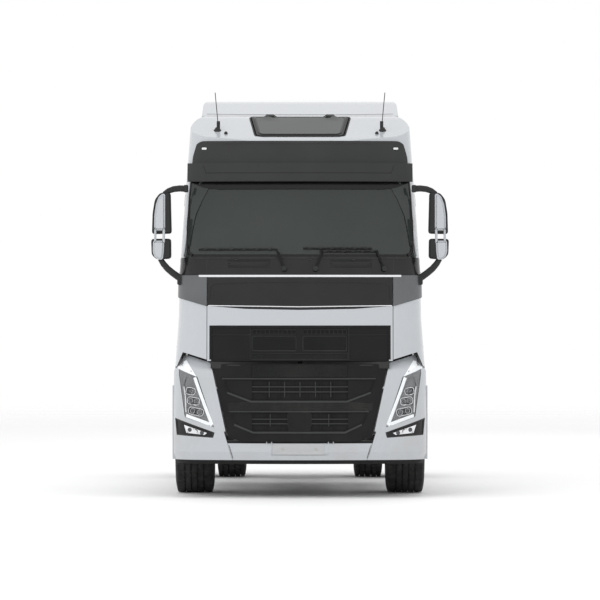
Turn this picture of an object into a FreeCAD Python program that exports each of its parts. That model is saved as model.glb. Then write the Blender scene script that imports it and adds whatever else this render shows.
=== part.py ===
"""Two-axle semi truck tractor unit with a high-roof sleeper cab over the engine.

Lengths are millimetres. +X is the viewer's right seen from the front, which is the driver's side,
+Y points to the rear and +Z up. The origin is on the ground at the middle of the overall length.
"""

import FreeCAD
import Part
import math
import os

V = FreeCAD.Vector
os.makedirs("parts", exist_ok=True)

# Overall sizes
overall_length = 6000.0
front_overhang = 1380.0
wheelbase = 3700.0
front = -overall_length / 2
rear = overall_length / 2
front_axle_y = front + front_overhang
rear_axle_y = front_axle_y + wheelbase
overrun = 60.0
panel_gap = 6.0
door_gap = 9.0
seat_gap = 0.3

# Cab body: heights, half widths, setback of the face and corner radius at each station
skirt_height = 1100.0
waist_height = 1760.0
belt_height = 2160.0
visor_height = 3060.0
crown_height = 3900.0
skirt_half = 1238.0
waist_half = 1192.0
belt_half = 1186.0
visor_half = 1124.0
crown_half = 1066.0
skirt_setback = 25.0
waist_setback = 78.0
belt_setback = 110.0
visor_setback = 298.0
crown_setback = 473.0
face_bow_radius = 4600.0
low_corner_radius = 300.0
belt_corner_radius = 280.0
high_corner_radius = 230.0
back_corner_radius = 90.0
cab_depth = 2250.0
cab_wall = 60.0
cab_rear_y = front + cab_depth
cab_bottom = 1335.0
skirt_start = 430.0
floor_bottom = 1420.0
floor_top = 1480.0

# Roof line, seen from the side and from the front
brow_height = 3490.0
brow_radius = 170.0
roof_knee_depth = 1010.0
roof_knee_height = 3765.0
roof_knee_radius = 500.0
roof_height = 3790.0
roof_back_radius = 110.0
roof_edge_radius = 190.0
roof_crown_drop = 30.0
skin_margin = 4.0

# Windscreen and door outline
screen_bottom = 2345.0
screen_top = 3200.0
screen_half_low = 1122.0
screen_half_high = 1076.0
screen_corner = 70.0
glass_inset = 10.0
glass_thickness = 8.0
door_front = 470.0
door_back = 1440.0
door_bottom = 1112.0
door_top = 3120.0
door_lean = 165.0
door_corner = 70.0
door_toe_radius = 115.0
door_arch_start = 860.0
door_arch_top = 1305.0
door_panel = 58.0
window_bottom = 2290.0
window_top = 3040.0
window_front = 560.0
window_back = 1350.0
window_corner = 90.0
window_lean = 120.0
hinge_heights = (1540.0, 2040.0)
hinge_half = 40.0
hinge_in = 45.0
hinge_out = 16.0
hinge_root = 5.0
handle_length = 190.0
handle_height = 2130.0

# Lid and grille in the cab face
lid_half = 905.0
lid_top = 2150.0
lid_skin = 22.0
lid_room = 34.0
band_top = 1872.0
grille_top = 1662.0
grille_half = 868.0
grille_bottom = 1335.0
grille_inset = 6.0
grille_depth = 22.0
cowl_skin = 24.0
cowl_bottom = 2175.0
strip_half = 990.0
strip_bottom = 2155.0
strip_proud = 4.0
vane_side_bottom = 1985.0
vane_proud = 10.0

# Lower front: seam heights, half widths and setbacks
lower_top = 1315.0
shoulder_height = 1240.0
bumper_top = 535.0
bumper_bottom = 372.0
lip_bottom = 333.0
bumper_bulge_height = 452.0
shoulder_top = 1410.0
lower_half = 1250.0
shoulder_half = 1216.0
bumper_half = 1254.0
bumper_low_half = 1232.0
lip_half = 1214.0
shoulder_setback = 40.0
shoulder_top_setback = 196.0
lip_setback = 22.0
lip_inset = 8.0
bumper_corner_radius = 320.0
module_side_depth = 362.0
module_skin = 26.0
grille_low_half_top = 865.0
grille_low_half_bottom = 700.0
grille_foot_half = 520.0
flap_top = 1305.0
flap_knee = 590.0
flap_bottom = 545.0
flap_inset = 12.0
flap_skin = 30.0
flap_gap = 10.0
flap_hinge_depth = 8.0
flap_hinge_height = 546.0
flap_hinge_x = 300.0
flap_hinge_half = 20.0
flap_hinge_radius = 8.0
flap_pin_radius = 4.0
running_room = 0.05

# Wheels and tyres
front_tyre_radius = 536.0
front_tyre_width = 385.0
rear_tyre_radius = 538.0
rear_tyre_width = 312.0
rim_radius = 286.0
rim_wall = 12.0
front_wheel_x = 1050.0
twin_outer_x = 1090.0
twin_inner_x = 742.0
arch_radius = 712.0
guard_radius = 676.0
guard_skin = 14.0
kingpin_x = 860.0
kingpin_radius = 22.0
running_gap = 0.3

# Frame
frame_top = 985.0
rail_depth = 300.0
rail_half = 425.0
rail_flange = 90.0
rail_web = 9.0
rail_start = 420.0
tail_length = 60.0
rail_end = overall_length - tail_length - seat_gap
cross_size = 110.0

# Cab tilt pivot
tilt_pivot_depth = 170.0
tilt_pivot_height = 950.0
tilt_pin_radius = 20.0
tilt_arm_in = 472.0
tilt_arm_out = 528.0

# Fifth wheel
coupling_lead = 580.0
coupling_y = rear_axle_y - coupling_lead
coupling_pivot_height = 1085.0
coupling_plate_top = 1190.0
coupling_plate_radius = 470.0
kingpin_slot_radius = 25.5


def prism(axis, points, low, high, radius=0.0):
    """A closed outline with rounded corners, pushed along an axis from low to high."""
    radii = radius if isinstance(radius, (list, tuple)) else [radius] * len(points)
    places = {
        "x": lambda p: V(low, p[0], p[1]),
        "y": lambda p: V(p[0], low, p[1]),
        "z": lambda p: V(p[0], p[1], low),
    }
    push = {"x": V(high - low, 0, 0), "y": V(0, high - low, 0), "z": V(0, 0, high - low)}
    corners = [places[axis](p) for p in points]
    starts, ends, middles = [], [], []
    for i, corner in enumerate(corners):
        to_last = (corners[i - 1] - corner)
        to_next = (corners[(i + 1) % len(corners)] - corner)
        room = min(to_last.Length, to_next.Length) / 2
        to_last.normalize()
        to_next.normalize()
        half = to_last.getAngle(to_next) / 2
        r = min(radii[i], room * math.tan(half) * 0.98)
        if r <= 0:
            starts.append(corner)
            ends.append(corner)
            middles.append(None)
            continue
        run = r / math.tan(half)
        inward = to_last + to_next
        inward.normalize()
        starts.append(corner + to_last * run)
        ends.append(corner + to_next * run)
        middles.append(corner + inward * (r / math.sin(half) - r))
    edges = []
    for i in range(len(corners)):
        if middles[i] is not None:
            edges.append(Part.Arc(starts[i], middles[i], ends[i]).toShape())
        following = starts[(i + 1) % len(corners)]
        edges.append(Part.LineSegment(ends[i], following).toShape())
    return Part.Face(Part.Wire(edges)).extrude(push[axis])


def block(x_low, x_high, y_low, y_high, z_low, z_high):
    """A box between two corners."""
    return Part.makeBox(x_high - x_low, y_high - y_low, z_high - z_low, V(x_low, y_low, z_low))


def rod(start, end, radius):
    """A round bar between two points."""
    return Part.makeCylinder(radius, (end - start).Length, start, end - start)


def turned(profile, y, z):
    """An outline of (x, radius) points turned about the X axis through y, z."""
    points = [V(x, y, z + r) for x, r in profile]
    wire = Part.makePolygon(points + [points[0]])
    return Part.Face(wire).revolve(V(0, y, z), V(1, 0, 0), 360)


def pipe(points, radius, bend):
    """A round bar along straight runs joined by bends."""
    edges = []
    last = points[0]
    for i in range(1, len(points) - 1):
        back = points[i - 1] - points[i]
        ahead = points[i + 1] - points[i]
        back.normalize()
        ahead.normalize()
        half = back.getAngle(ahead) / 2
        run = bend / math.tan(half)
        inward = back + ahead
        inward.normalize()
        begin, finish = points[i] + back * run, points[i] + ahead * run
        edges.append(Part.LineSegment(last, begin).toShape())
        edges.append(Part.Arc(begin, points[i] + inward * (bend / math.sin(half) - bend), finish).toShape())
        last = finish
    edges.append(Part.LineSegment(last, points[-1]).toShape())
    path = Part.Wire(edges)
    section = Part.Wire(Part.makeCircle(radius, points[0], points[1] - points[0]))
    return path.makePipeShell([section], True, False)


def mirrored(shape):
    """The same shape on the other side of the truck."""
    return shape.mirror(V(0, 0, 0), V(1, 0, 0))


def both(shape):
    """A shape and its mirror image, as two solids."""
    return [shape, mirrored(shape)]


def joined(first, *others):
    """Solids fused into one, with split faces merged."""
    return first.fuse(list(others)).removeSplitter()


def save(name, *shapes):
    """Writes a node's solids to its own file."""
    solids = [s for shape in shapes for s in shape.Solids]
    for solid in solids:
        if not solid.isValid() or solid.Volume <= 0:
            print("check", name, solid.isValid(), solid.Volume)
    Part.makeCompound(solids).exportStep("parts/%s.step" % name)
    print(name, len(solids), sum(len(s.Faces) for s in solids))


def plan_wire(half_width, face_y, back_y, bow, corner, back_corner, z):
    """The outline of the body at one height: bowed face, round corners, straight sides."""
    centre_y = face_y + bow
    corner_x = half_width - corner
    corner_y = centre_y - math.sqrt((bow - corner) ** 2 - corner_x ** 2)
    out_x = corner_x / (bow - corner)
    out_y = (corner_y - centre_y) / (bow - corner)
    middle = V(out_x + 1, out_y, 0)
    middle.normalize()

    def edge_pair(side):
        face_end = V(side * bow * out_x, centre_y + bow * out_y, z)
        turn = V(side * (corner_x + corner * middle.x), corner_y + corner * middle.y, z)
        side_start = V(side * half_width, corner_y, z)
        side_end = V(side * half_width, back_y - back_corner, z)
        back_turn = V(
            side * (half_width - back_corner * (1 - math.sqrt(0.5))),
            back_y - back_corner * (1 - math.sqrt(0.5)),
            z,
        )
        back_start = V(side * (half_width - back_corner), back_y, z)
        return face_end, turn, side_start, side_end, back_turn, back_start

    right = edge_pair(1)
    left = edge_pair(-1)
    edges = [
        Part.Arc(left[0], V(0, face_y, z), right[0]),
        Part.Arc(right[0], right[1], right[2]),
        Part.LineSegment(right[2], right[3]),
        Part.Arc(right[3], right[4], right[5]),
        Part.LineSegment(right[5], left[5]),
        Part.Arc(left[5], left[4], left[3]),
        Part.LineSegment(left[3], left[2]),
        Part.Arc(left[2], left[1], left[0]),
    ]
    return Part.Wire([e.toShape() for e in edges])


cab_stations = [
    (skirt_height, skirt_half, skirt_setback, low_corner_radius),
    (waist_height, waist_half, waist_setback, low_corner_radius),
    (belt_height, belt_half, belt_setback, belt_corner_radius),
    (visor_height, visor_half, visor_setback, high_corner_radius),
    (crown_height, crown_half, crown_setback, high_corner_radius),
]
lower_stations = [
    (bumper_bottom, bumper_low_half, lip_setback, bumper_corner_radius),
    (bumper_bulge_height, bumper_half, 0, bumper_corner_radius),
    (bumper_top, bumper_half, 0, bumper_corner_radius),
    (shoulder_height, lower_half, shoulder_setback, bumper_corner_radius),
    (shoulder_top, shoulder_half, shoulder_top_setback, bumper_corner_radius),
]
grille_stations = [
    (bumper_bottom, bumper_half, 0, bumper_corner_radius),
    (lower_top, lower_half, shoulder_setback, bumper_corner_radius),
]
lip_stations = [
    (lip_bottom, lip_half, lip_setback * 2, bumper_corner_radius),
    (bumper_bottom, bumper_low_half - lip_inset, lip_setback + lip_inset, bumper_corner_radius),
]


def body_form(stations, inset, back_y, back_corner):
    """The body between its stations, drawn in by an inset on every upright side."""
    wires = [
        plan_wire(
            half - inset,
            front + setback + inset,
            back_y - inset,
            face_bow_radius - inset,
            corner - inset,
            max(back_corner - inset, skin_margin),
            z,
        )
        for z, half, setback, corner in stations
    ]
    return Part.makeLoft(wires, True, True)


def face_setback(z):
    """How far the middle of the cab face lies behind the bumper at a height."""
    for low, high in zip(cab_stations, cab_stations[1:]):
        if z <= high[0]:
            share = (z - low[0]) / (high[0] - low[0])
            return low[2] + share * (high[2] - low[2])
    return crown_setback


def side_half(z):
    """Half the width of the cab at a height."""
    for low, high in zip(cab_stations, cab_stations[1:]):
        if z <= high[0]:
            share = (z - low[0]) / (high[0] - low[0])
            return low[1] + share * (high[1] - low[1])
    return crown_half


def cab_walls(inset):
    """The cab's upright walls, before the roof is shaped."""
    return body_form(cab_stations, inset, cab_rear_y, back_corner_radius)


made_forms = {}


def cab_form(inset):
    """The closed solid of the cab at a depth under its skin, made once for each depth."""
    if inset not in made_forms:
        made_forms[inset] = new_cab_form(inset)
    return made_forms[inset]


def new_cab_form(inset):
    """The cab as a closed solid, with its raked brow, sloping roof and rounded roof edges."""
    outside = skin_margin - inset
    side_view = [
        (front - overrun, skirt_height - overrun),
        (front - overrun, belt_height),
        (front + face_setback(belt_height) - outside, belt_height),
        (front + face_setback(brow_height) - outside, brow_height - inset),
        (front + roof_knee_depth, roof_knee_height - inset),
        (cab_rear_y + outside, roof_height - inset),
        (cab_rear_y + outside, skirt_height - overrun),
    ]
    side_radii = [0, 0, 0, brow_radius - inset, roof_knee_radius, roof_back_radius - inset, 0]
    half_top = side_half(roof_height) + outside
    front_view = [
        (-skirt_half - overrun, skirt_height - overrun),
        (-skirt_half - overrun, visor_height),
        (-side_half(visor_height) - outside, visor_height),
        (-half_top, roof_height - roof_crown_drop - inset),
        (0, roof_height + roof_crown_drop / 2 - inset),
        (half_top, roof_height - roof_crown_drop - inset),
        (side_half(visor_height) + outside, visor_height),
        (skirt_half + overrun, visor_height),
        (skirt_half + overrun, skirt_height - overrun),
    ]
    edge = roof_edge_radius - inset
    front_radii = [0, 0, 0, edge, edge * 4, edge, 0, 0, 0]
    side_cut = prism("x", side_view, -skirt_half - overrun, skirt_half + overrun, side_radii)
    front_cut = prism("y", front_view, front - overrun, cab_rear_y + overrun, front_radii)
    return cab_walls(inset).common(side_cut).common(front_cut)


def door_prism(grow, bottom, x_low, x_high):
    """The door's outline seen from the side, grown on every edge and pushed through one side of the cab."""
    low_front = front + door_front - grow
    points = [
        (low_front, bottom),
        (low_front, belt_height),
        (front + door_front + door_lean - grow, door_top + grow),
        (front + door_back + grow, door_top + grow),
        (front + door_back + grow, bottom),
    ]
    radii = [0, door_lean, door_corner, door_corner, 0]
    return prism("x", points, x_low, x_high, radii)


def door_foot_prism(x_low, x_high):
    """The door's outline with a round toe and a slanting heel over the wheel, on its own open sides."""
    points = [
        (front + door_front, door_bottom),
        (front + door_front, door_top + overrun),
        (front + door_back, door_top + overrun),
        (front + door_back, door_arch_top),
        (front + door_arch_start, door_bottom),
    ]
    return prism("x", points, x_low, x_high, [door_toe_radius, 0, 0, 0, door_corner])


def window_prism(grow, x_low, x_high):
    """The door window's outline pushed through one side of the cab."""
    points = [
        (front + window_front - grow, window_bottom - grow),
        (front + window_front + window_lean - grow, window_top + grow),
        (front + window_back + grow, window_top + grow),
        (front + window_back + grow, window_bottom - grow),
    ]
    return prism("x", points, x_low, x_high, window_corner)


def screen_prism(grow):
    """The windscreen's outline pushed through the face."""
    points = [
        (-screen_half_low - grow, screen_bottom - grow),
        (screen_half_low + grow, screen_bottom - grow),
        (screen_half_high + grow, screen_top + grow),
        (-screen_half_high - grow, screen_top + grow),
    ]
    return prism("y", points, front - overrun, front + door_front - overrun, screen_corner)


# The seam between the cab and the lower front, seen from the front, on the right hand side
seam_inner_x = grille_low_half_top
seam_shoulder_x = 1087.0
seam_shoulder_z = 1384.0
seam_peak_x = 1146.0
seam_peak_z = 1400.0
seam_drop_x = 1206.0
seam_outer_z = 1262.0
seam_room = 20.0


def seam_points(lift):
    """The seam line from the middle outwards, lifted by a gap."""
    return [
        (seam_inner_x, lower_top + lift),
        (seam_shoulder_x, seam_shoulder_z + lift),
        (seam_peak_x, seam_peak_z + lift),
        (seam_drop_x, seam_outer_z + lift),
        (skirt_half + overrun, seam_outer_z + lift),
    ]


def below_seam(lift):
    """Everything under the seam, ahead of the steps, for trimming the cab's lower front edge."""
    right = seam_points(lift)
    left = [(-x, z) for x, z in reversed(right)]
    base = skirt_height - overrun
    points = left + right + [(skirt_half + overrun, base), (-skirt_half - overrun, base)]
    return prism("y", points, front - overrun, front + door_front + panel_gap)


def lid_prism(grow, low):
    """The lid's outline pushed through the cab face."""
    points = [
        (-lid_half - grow, low),
        (lid_half + grow, low),
        (lid_half + grow, lid_top + grow),
        (-lid_half - grow, lid_top + grow),
    ]
    return prism("y", points, front - overrun, front + skirt_start)


def cowl_prism(low, high, half, depth):
    """A band across the face and round the corners."""
    return block(-half, half, front - overrun, front + depth, low, high)


def vane_prism(grow):
    """The corner vane's outline pushed back through the right hand corner."""
    points = [
        (lid_half + panel_gap - grow, cowl_bottom - panel_gap / 2 + grow),
        (skirt_half + overrun, cowl_bottom - panel_gap / 2 + grow),
        (skirt_half + overrun, vane_side_bottom - grow),
        (lid_half + panel_gap - grow, band_top - grow),
    ]
    return prism("y", points, front - overrun, front + door_front - panel_gap + grow)


# Roof hatch
hatch_front_depth = 500.0
hatch_back_depth = 975.0
hatch_front_half = 425.0
hatch_back_half = 485.0
hatch_proud = 8.0
hatch_inset = 8.0
hatch_gap = 10.0
hatch_corner = 40.0
hatch_hinge_x = 300.0
hatch_hinge_half = 40.0
hatch_hinge_reach = 36.0
hatch_hinge_radius = 9.0
hatch_hinge_height = 3771.0
hatch_pin_radius = 4.0
hatch_ear = 10.0
hatch_lift = 5.0


def hatch_prism(grow):
    """The roof hatch's outline pushed down through the roof."""
    points = [
        (-hatch_front_half - grow, front + hatch_front_depth - grow),
        (hatch_front_half + grow, front + hatch_front_depth - grow),
        (hatch_back_half + grow, front + hatch_back_depth + grow),
        (-hatch_back_half - grow, front + hatch_back_depth + grow),
    ]
    return prism("z", points, brow_height - brow_radius, roof_height + overrun, hatch_corner)


def hatch_hinge_rod(x_low, x_high, radius):
    """A round bar on the roof hatch's hinge line."""
    y = front + hatch_back_depth + hatch_hinge_reach
    return rod(V(x_low, y, hatch_hinge_height), V(x_high, y, hatch_hinge_height), radius)


def hatch_ears():
    """The pins and ears on the roof that carry the hatch."""
    y = front + hatch_back_depth + hatch_hinge_reach
    made = []
    for x in (-hatch_hinge_x, hatch_hinge_x):
        low, high = x - hatch_hinge_half, x + hatch_hinge_half
        made.append(hatch_hinge_rod(low - hatch_ear, high + hatch_ear, hatch_pin_radius))
        for start in (low - hatch_ear, high):
            made.append(hatch_hinge_rod(start, start + hatch_ear, hatch_hinge_radius))
            made.append(
                block(
                    start, start + hatch_ear, y - hatch_hinge_radius, y + hatch_hinge_radius,
                    hatch_hinge_height - hatch_hinge_radius * 3, hatch_hinge_height,
                )
            )
    return made


# Cab tilt arms, which reach back from the pivot and then up to the floor
arm_height = 70.0
arm_post_depth = 560.0
arm_post_length = 110.0


def tilt_arm():
    """One of the two arms that carry the cab on its front pivots."""
    pivot_y = front + tilt_pivot_depth
    half = arm_height / 2
    points = [
        (pivot_y, tilt_pivot_height - half),
        (front + arm_post_depth + arm_post_length, tilt_pivot_height + half),
        (front + arm_post_depth + arm_post_length, floor_bottom + cab_wall / 2),
        (front + arm_post_depth, floor_bottom + cab_wall / 2),
        (front + arm_post_depth, tilt_pivot_height + half * 3),
        (pivot_y, tilt_pivot_height + half),
    ]
    bar = prism("x", points, tilt_arm_in, tilt_arm_out)
    centre = V(tilt_arm_in, pivot_y, tilt_pivot_height)
    end = V(tilt_arm_out, pivot_y, tilt_pivot_height)
    boss = rod(centre, end, half)
    return joined(bar, boss).cut(rod(centre, end, tilt_pin_radius + running_gap))


def cab_shell():
    """The hollow cab: walls, roof, floor and openings, on its two tilt arms."""
    outer = cab_form(0)
    inner = cab_form(cab_wall)
    room = inner.common(block(-skirt_half, skirt_half, front, cab_rear_y, floor_top, roof_height))
    under = inner.common(block(-skirt_half, skirt_half, front, cab_rear_y, 0, floor_bottom))
    back_wall = block(
        -skirt_half, skirt_half, cab_rear_y - cab_wall * 2, cab_rear_y + overrun, 0, floor_bottom
    )
    shell = outer.cut([room, under, back_wall])
    cuts = [
        screen_prism(0),
        below_seam(seam_room),
        hatch_prism(hatch_gap),
    ]
    for side in (1, -1):
        edges = sorted((side * (belt_half - cab_wall * 3), side * (skirt_half + overrun)))
        cuts.append(door_prism(0, skirt_height - overrun, *edges))
        low, high = sorted((side * kingpin_x * 0.6, side * (skirt_half + overrun)))
        centre = V(low, front_axle_y, front_tyre_radius)
        cuts.append(rod(centre, V(high, front_axle_y, front_tyre_radius), arch_radius))
    lid_space = outer.cut(cab_form(lid_room)).common(lid_prism(panel_gap, 0))
    cowl_space = outer.cut(cab_form(cowl_skin + seat_gap)).common(
        cowl_prism(strip_bottom - panel_gap, screen_bottom, skirt_half + overrun, door_front)
    )
    vane = vane_prism(panel_gap / 2)
    vane_space = outer.cut(cab_form(cowl_skin + seat_gap)).common(joined(vane, mirrored(vane)))
    glass_space = cab_walls(-overrun).cut(cab_walls(glass_inset + glass_thickness + seat_gap))
    rebate = glass_space.common(screen_prism(cab_wall / 2))
    shell = shell.cut(cuts + [lid_space, cowl_space, vane_space, rebate])
    added = [tilt_arm()]
    for z in hinge_heights:
        x = side_half(z)
        edge = front + door_front
        added.append(
            block(
                x - hinge_in, x - hinge_out, edge - hinge_root, edge + door_gap - seat_gap,
                z - hinge_half, z + hinge_half,
            )
        )
    return shell.fuse(added + [mirrored(piece) for piece in added] + hatch_ears())


def screen_glass():
    """The windscreen, bent round both front corners."""
    sheet = cab_walls(glass_inset).cut(cab_walls(glass_inset + glass_thickness))
    return sheet.common(screen_prism(cab_wall / 2 - panel_gap))


def cab_layer(outside, inside, *windows):
    """A layer of the cab between two depths, inside one or more outlines."""
    piece = cab_form(outside)
    for window in windows:
        piece = piece.common(window)
    return piece.cut(cab_form(inside))


def layer(stations, outside, inside, *windows):
    """The same for the bumper and the lower front, ahead of the steps."""
    back = front + front_overhang
    piece = body_form(stations, outside, back, back_corner_radius)
    reach = block(-skirt_half, skirt_half, front - overrun, front + module_side_depth, 0, shoulder_top + overrun)
    piece = piece.common(reach)
    for window in windows:
        piece = piece.common(window)
    return piece.cut(body_form(stations, inside, back, back_corner_radius))


# Doors, with their windows and handles
glass_depth = 18.0
glass_lap = 12.0
handle_reach = 24.0
handle_radius = 9.0
handle_post_radius = 7.0
handle_back = 70.0


def door_parts():
    """The right hand door seen from the front, with its glass."""
    low, high = belt_half - cab_wall * 4, skirt_half + overrun
    outline = door_prism(-door_gap, door_bottom, low, high).common(door_foot_prism(low, high))
    panel = cab_layer(0, door_panel, outline)
    lap = window_prism(glass_lap + seat_gap, low, high)
    groove = cab_layer(glass_depth - seat_gap, glass_depth + glass_thickness + seat_gap, lap)
    panel = panel.cut([window_prism(0, low, high), groove])
    glass = cab_layer(glass_depth, glass_depth + glass_thickness, window_prism(glass_lap, low, high))
    end_y = front + door_back - handle_back
    x = side_half(handle_height) + handle_reach
    bar = rod(V(x, end_y - handle_length, handle_height), V(x, end_y, handle_height), handle_radius)
    posts = [
        rod(V(x - handle_reach * 2, y, handle_height), V(x, y, handle_height), handle_post_radius)
        for y in (end_y - handle_length + handle_radius * 2, end_y - handle_radius * 2)
    ]
    return joined(panel, bar, *posts), glass


# The lid and the panels on it
band_dip = 39.0
band_dip_half = 530.0
band_dip_edge = 29.0
buffer_x = 700.0
buffer_height = 1755.0
buffer_half = 25.0
lid_bottom = cab_bottom
slot_in = 34.0
slot_out = 466.0
slot_low = 1600.0
slot_high = 1639.0
slot_bars = 9
slot_bar_half = 3.5
comb_low = 1437.0
comb_high = 1579.0
comb_depth = 8.0
strip_mesh_low = 1356.0
strip_mesh_high = 1405.0
strip_mesh_depth = 5.0
groove_height = 1590.0
groove_in = 486.0
groove_out = 858.0
groove_half = 3.5


def grille_pockets():
    """The rooms of the upper grille's slots, honeycomb fields, fine mesh and grooves."""
    y_low, y_high = front - overrun, front + skirt_start
    fields = []
    for x_low, x_high in ((slot_in, slot_out), (-slot_out, -slot_in)):
        slot = block(x_low, x_high, y_low, y_high, slot_low, slot_high)
        bars = []
        for i in range(1, slot_bars + 1):
            x = x_low + (x_high - x_low) * i / (slot_bars + 1)
            bars.append(block(x - slot_bar_half, x + slot_bar_half, y_low, y_high, slot_low, slot_high))
        fields.append(slot.cut(bars))
        fields.append(block(x_low, x_high, y_low, y_high, comb_low, comb_high))
    deep = Part.makeCompound(fields).cut(cab_walls(grille_inset + comb_depth))
    shallow = [block(-slot_out, slot_out, y_low, y_high, strip_mesh_low, strip_mesh_high)]
    for x_low, x_high in ((groove_in, groove_out), (-groove_out, -groove_in)):
        shallow.append(block(x_low, x_high, y_low, y_high, groove_height - groove_half, groove_height + groove_half))
    return [deep, Part.makeCompound(shallow).cut(cab_walls(grille_inset + strip_mesh_depth))]


def lid_parts():
    """The black panel, the painted band and the upper grille that open together."""
    edge = [
        (lid_half, band_top),
        (band_dip_half, band_top - band_dip_edge),
        (0, band_top - band_dip),
        (-band_dip_half, band_top - band_dip_edge),
        (-lid_half, band_top),
    ]
    above = prism(
        "y",
        [(-lid_half, lid_top), (lid_half, lid_top)] + edge,
        front - overrun,
        front + skirt_start,
    )
    whole = lid_prism(0, lid_bottom)
    hole = block(-grille_half, grille_half, front - overrun, front + skirt_start, 0, grille_top)
    buffers = [
        cab_layer(lid_skin - 1, lid_room - seat_gap, block(x - buffer_half, x + buffer_half, front, front + skirt_start,
                  buffer_height - buffer_half, buffer_height + buffer_half))
        for x in (-buffer_x, buffer_x)
    ]
    band = joined(cab_layer(0, lid_skin, whole).cut([above, hole]), *buffers)
    panel = cab_layer(0, lid_skin, above)
    grille = cab_layer(grille_inset, lid_skin, whole, hole).cut(grille_pockets())
    return panel, band, grille


louvre_in = 295.0
louvre_out = 700.0
louvre_low = 2243.0
louvre_high = 2290.0
louvre_bars = (2259.0, 2274.0)
louvre_bar_half = 3.0
louvre_slit_low = 2303.0
louvre_slit_high = 2322.0
louvre_depth = 7.0


def louvres():
    """The rooms of the air slots on both sides of the cowl."""
    y_low, y_high = front - overrun, front + door_front
    rooms = []
    for x_low, x_high in ((louvre_in, louvre_out), (-louvre_out, -louvre_in)):
        bars = [
            block(x_low, x_high, y_low, y_high, z - louvre_bar_half, z + louvre_bar_half) for z in louvre_bars
        ]
        rooms.append(block(x_low, x_high, y_low, y_high, louvre_low, louvre_high).cut(bars))
        rooms.append(block(x_low, x_high, y_low, y_high, louvre_slit_low, louvre_slit_high))
    return Part.makeCompound(rooms).cut(cab_walls(louvre_depth))


def cowl_band():
    """The black band under the windscreen, lapping the foot of the glass."""
    reach = cowl_prism(cowl_bottom, screen_bottom, skirt_half + overrun, door_front - seat_gap)
    glass_space = cab_walls(-overrun).cut(cab_walls(glass_inset + glass_thickness + seat_gap))
    outside = cab_walls(-overrun).cut(cab_walls(glass_inset - seat_gap))
    rebate = glass_space.common(screen_prism(cab_wall / 2)).cut(outside)
    return cab_layer(0, cowl_skin, reach).cut([rebate, louvres()])


def trim_strip():
    """The bright strip under the cowl."""
    reach = cowl_prism(strip_bottom, cowl_bottom - seat_gap, strip_half, door_front)
    return cab_layer(-strip_proud, cowl_skin, reach)


def corner_vanes():
    """The air vanes round the two front corners."""
    reach = vane_prism(0).cut(
        cowl_prism(strip_bottom - panel_gap / 2, screen_bottom, strip_half + panel_gap / 2, door_front)
    )
    return both(cab_layer(-vane_proud, cowl_skin, reach))


# Sun visor and the sign panel over it
visor_bottom = 3090.0
visor_brow = 3272.0
visor_top = 3492.0
visor_half_width = 1106.0
visor_reach = 72.0
visor_skin = 26.0
visor_web = 30.0
visor_wrap = 560.0
sign_half = 1062.0
sign_proud = 24.0
sign_corner = 110.0


def sun_visor():
    """The hood over the windscreen, with the panel above it that follows the brow."""
    hood = cab_layer(
        -visor_reach,
        visor_skin - visor_reach,
        cowl_prism(visor_bottom, visor_brow, visor_half_width, visor_wrap),
    )
    web = cab_layer(
        -visor_reach,
        -seat_gap,
        cowl_prism(visor_brow - visor_web, visor_brow, visor_half_width, visor_wrap),
    )
    outline = [
        (-sign_half, visor_brow - visor_web / 2),
        (sign_half, visor_brow - visor_web / 2),
        (sign_half - sign_proud, visor_top),
        (-sign_half + sign_proud, visor_top),
    ]
    window = prism("y", outline, front, front + hatch_front_depth - panel_gap, [0, 0, sign_corner, sign_corner])
    sign = cab_layer(-sign_proud, -seat_gap, window)
    return joined(hood, web, sign)


def roof_hatch():
    """The glazed hatch in the slope of the roof, with two hinge barrels at its back edge."""
    panel = cab_layer(-hatch_proud, hatch_inset, hatch_prism(0))
    back = front + hatch_back_depth
    y = back + hatch_hinge_reach
    pieces = [panel]
    bores = []
    for x in (-hatch_hinge_x, hatch_hinge_x):
        low, high = x - hatch_hinge_half + seat_gap, x + hatch_hinge_half - seat_gap
        pieces.append(hatch_hinge_rod(low, high, hatch_hinge_radius))
        bores.append(hatch_hinge_rod(low - 1, high + 1, hatch_pin_radius + running_room))
        web = [
            (back - hatch_hinge_reach, hatch_hinge_height - hatch_hinge_reach),
            (back - hatch_hinge_reach, hatch_hinge_height - hatch_hinge_radius),
            (y, hatch_hinge_height + hatch_hinge_radius / 2),
            (y, hatch_hinge_height - hatch_hinge_radius / 2),
        ]
        pieces.append(prism("x", web, low, high))
    whole = joined(*pieces)
    under = cab_form(-hatch_lift).cut(hatch_prism(0))
    return whole.cut([under] + bores)


# Roof deflector
fairing_front = 1080.0
fairing_back = 2215.0
fairing_nose = 3768.0
fairing_rise = 3925.0
fairing_rise_depth = 1480.0
fairing_top = 3985.0
fairing_edge = 3938.0
fairing_half = 992.0
fairing_top_half = 968.0
fairing_corner = 70.0
fairing_skin = 24.0


def fairing_solid(inset):
    """The deflector's outside, drawn in by an inset."""
    base = roof_knee_height - roof_edge_radius
    side_view = [
        (front + fairing_front + inset, base),
        (front + fairing_front + inset, fairing_nose - inset),
        (front + fairing_rise_depth, fairing_rise - inset),
        (front + fairing_back, fairing_top - inset),
        (front + fairing_back, base),
    ]
    front_view = [
        (-fairing_half + inset, base),
        (-fairing_top_half + inset, fairing_edge - inset),
        (0, fairing_top - inset),
        (fairing_top_half - inset, fairing_edge - inset),
        (fairing_half - inset, base),
    ]
    radii = [0, 0, roof_knee_radius, 0, 0]
    corner = fairing_corner - inset
    along = prism("x", side_view, -fairing_half, fairing_half, radii)
    across = prism("y", front_view, front, front + fairing_back, [0, corner, fairing_half * 4, corner, 0])
    return along.common(across)


def roof_fairing():
    """The deflector shell that stands on the back of the roof, open to the rear."""
    return fairing_solid(0).cut([fairing_solid(fairing_skin), cab_form(-seat_gap)])


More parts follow.
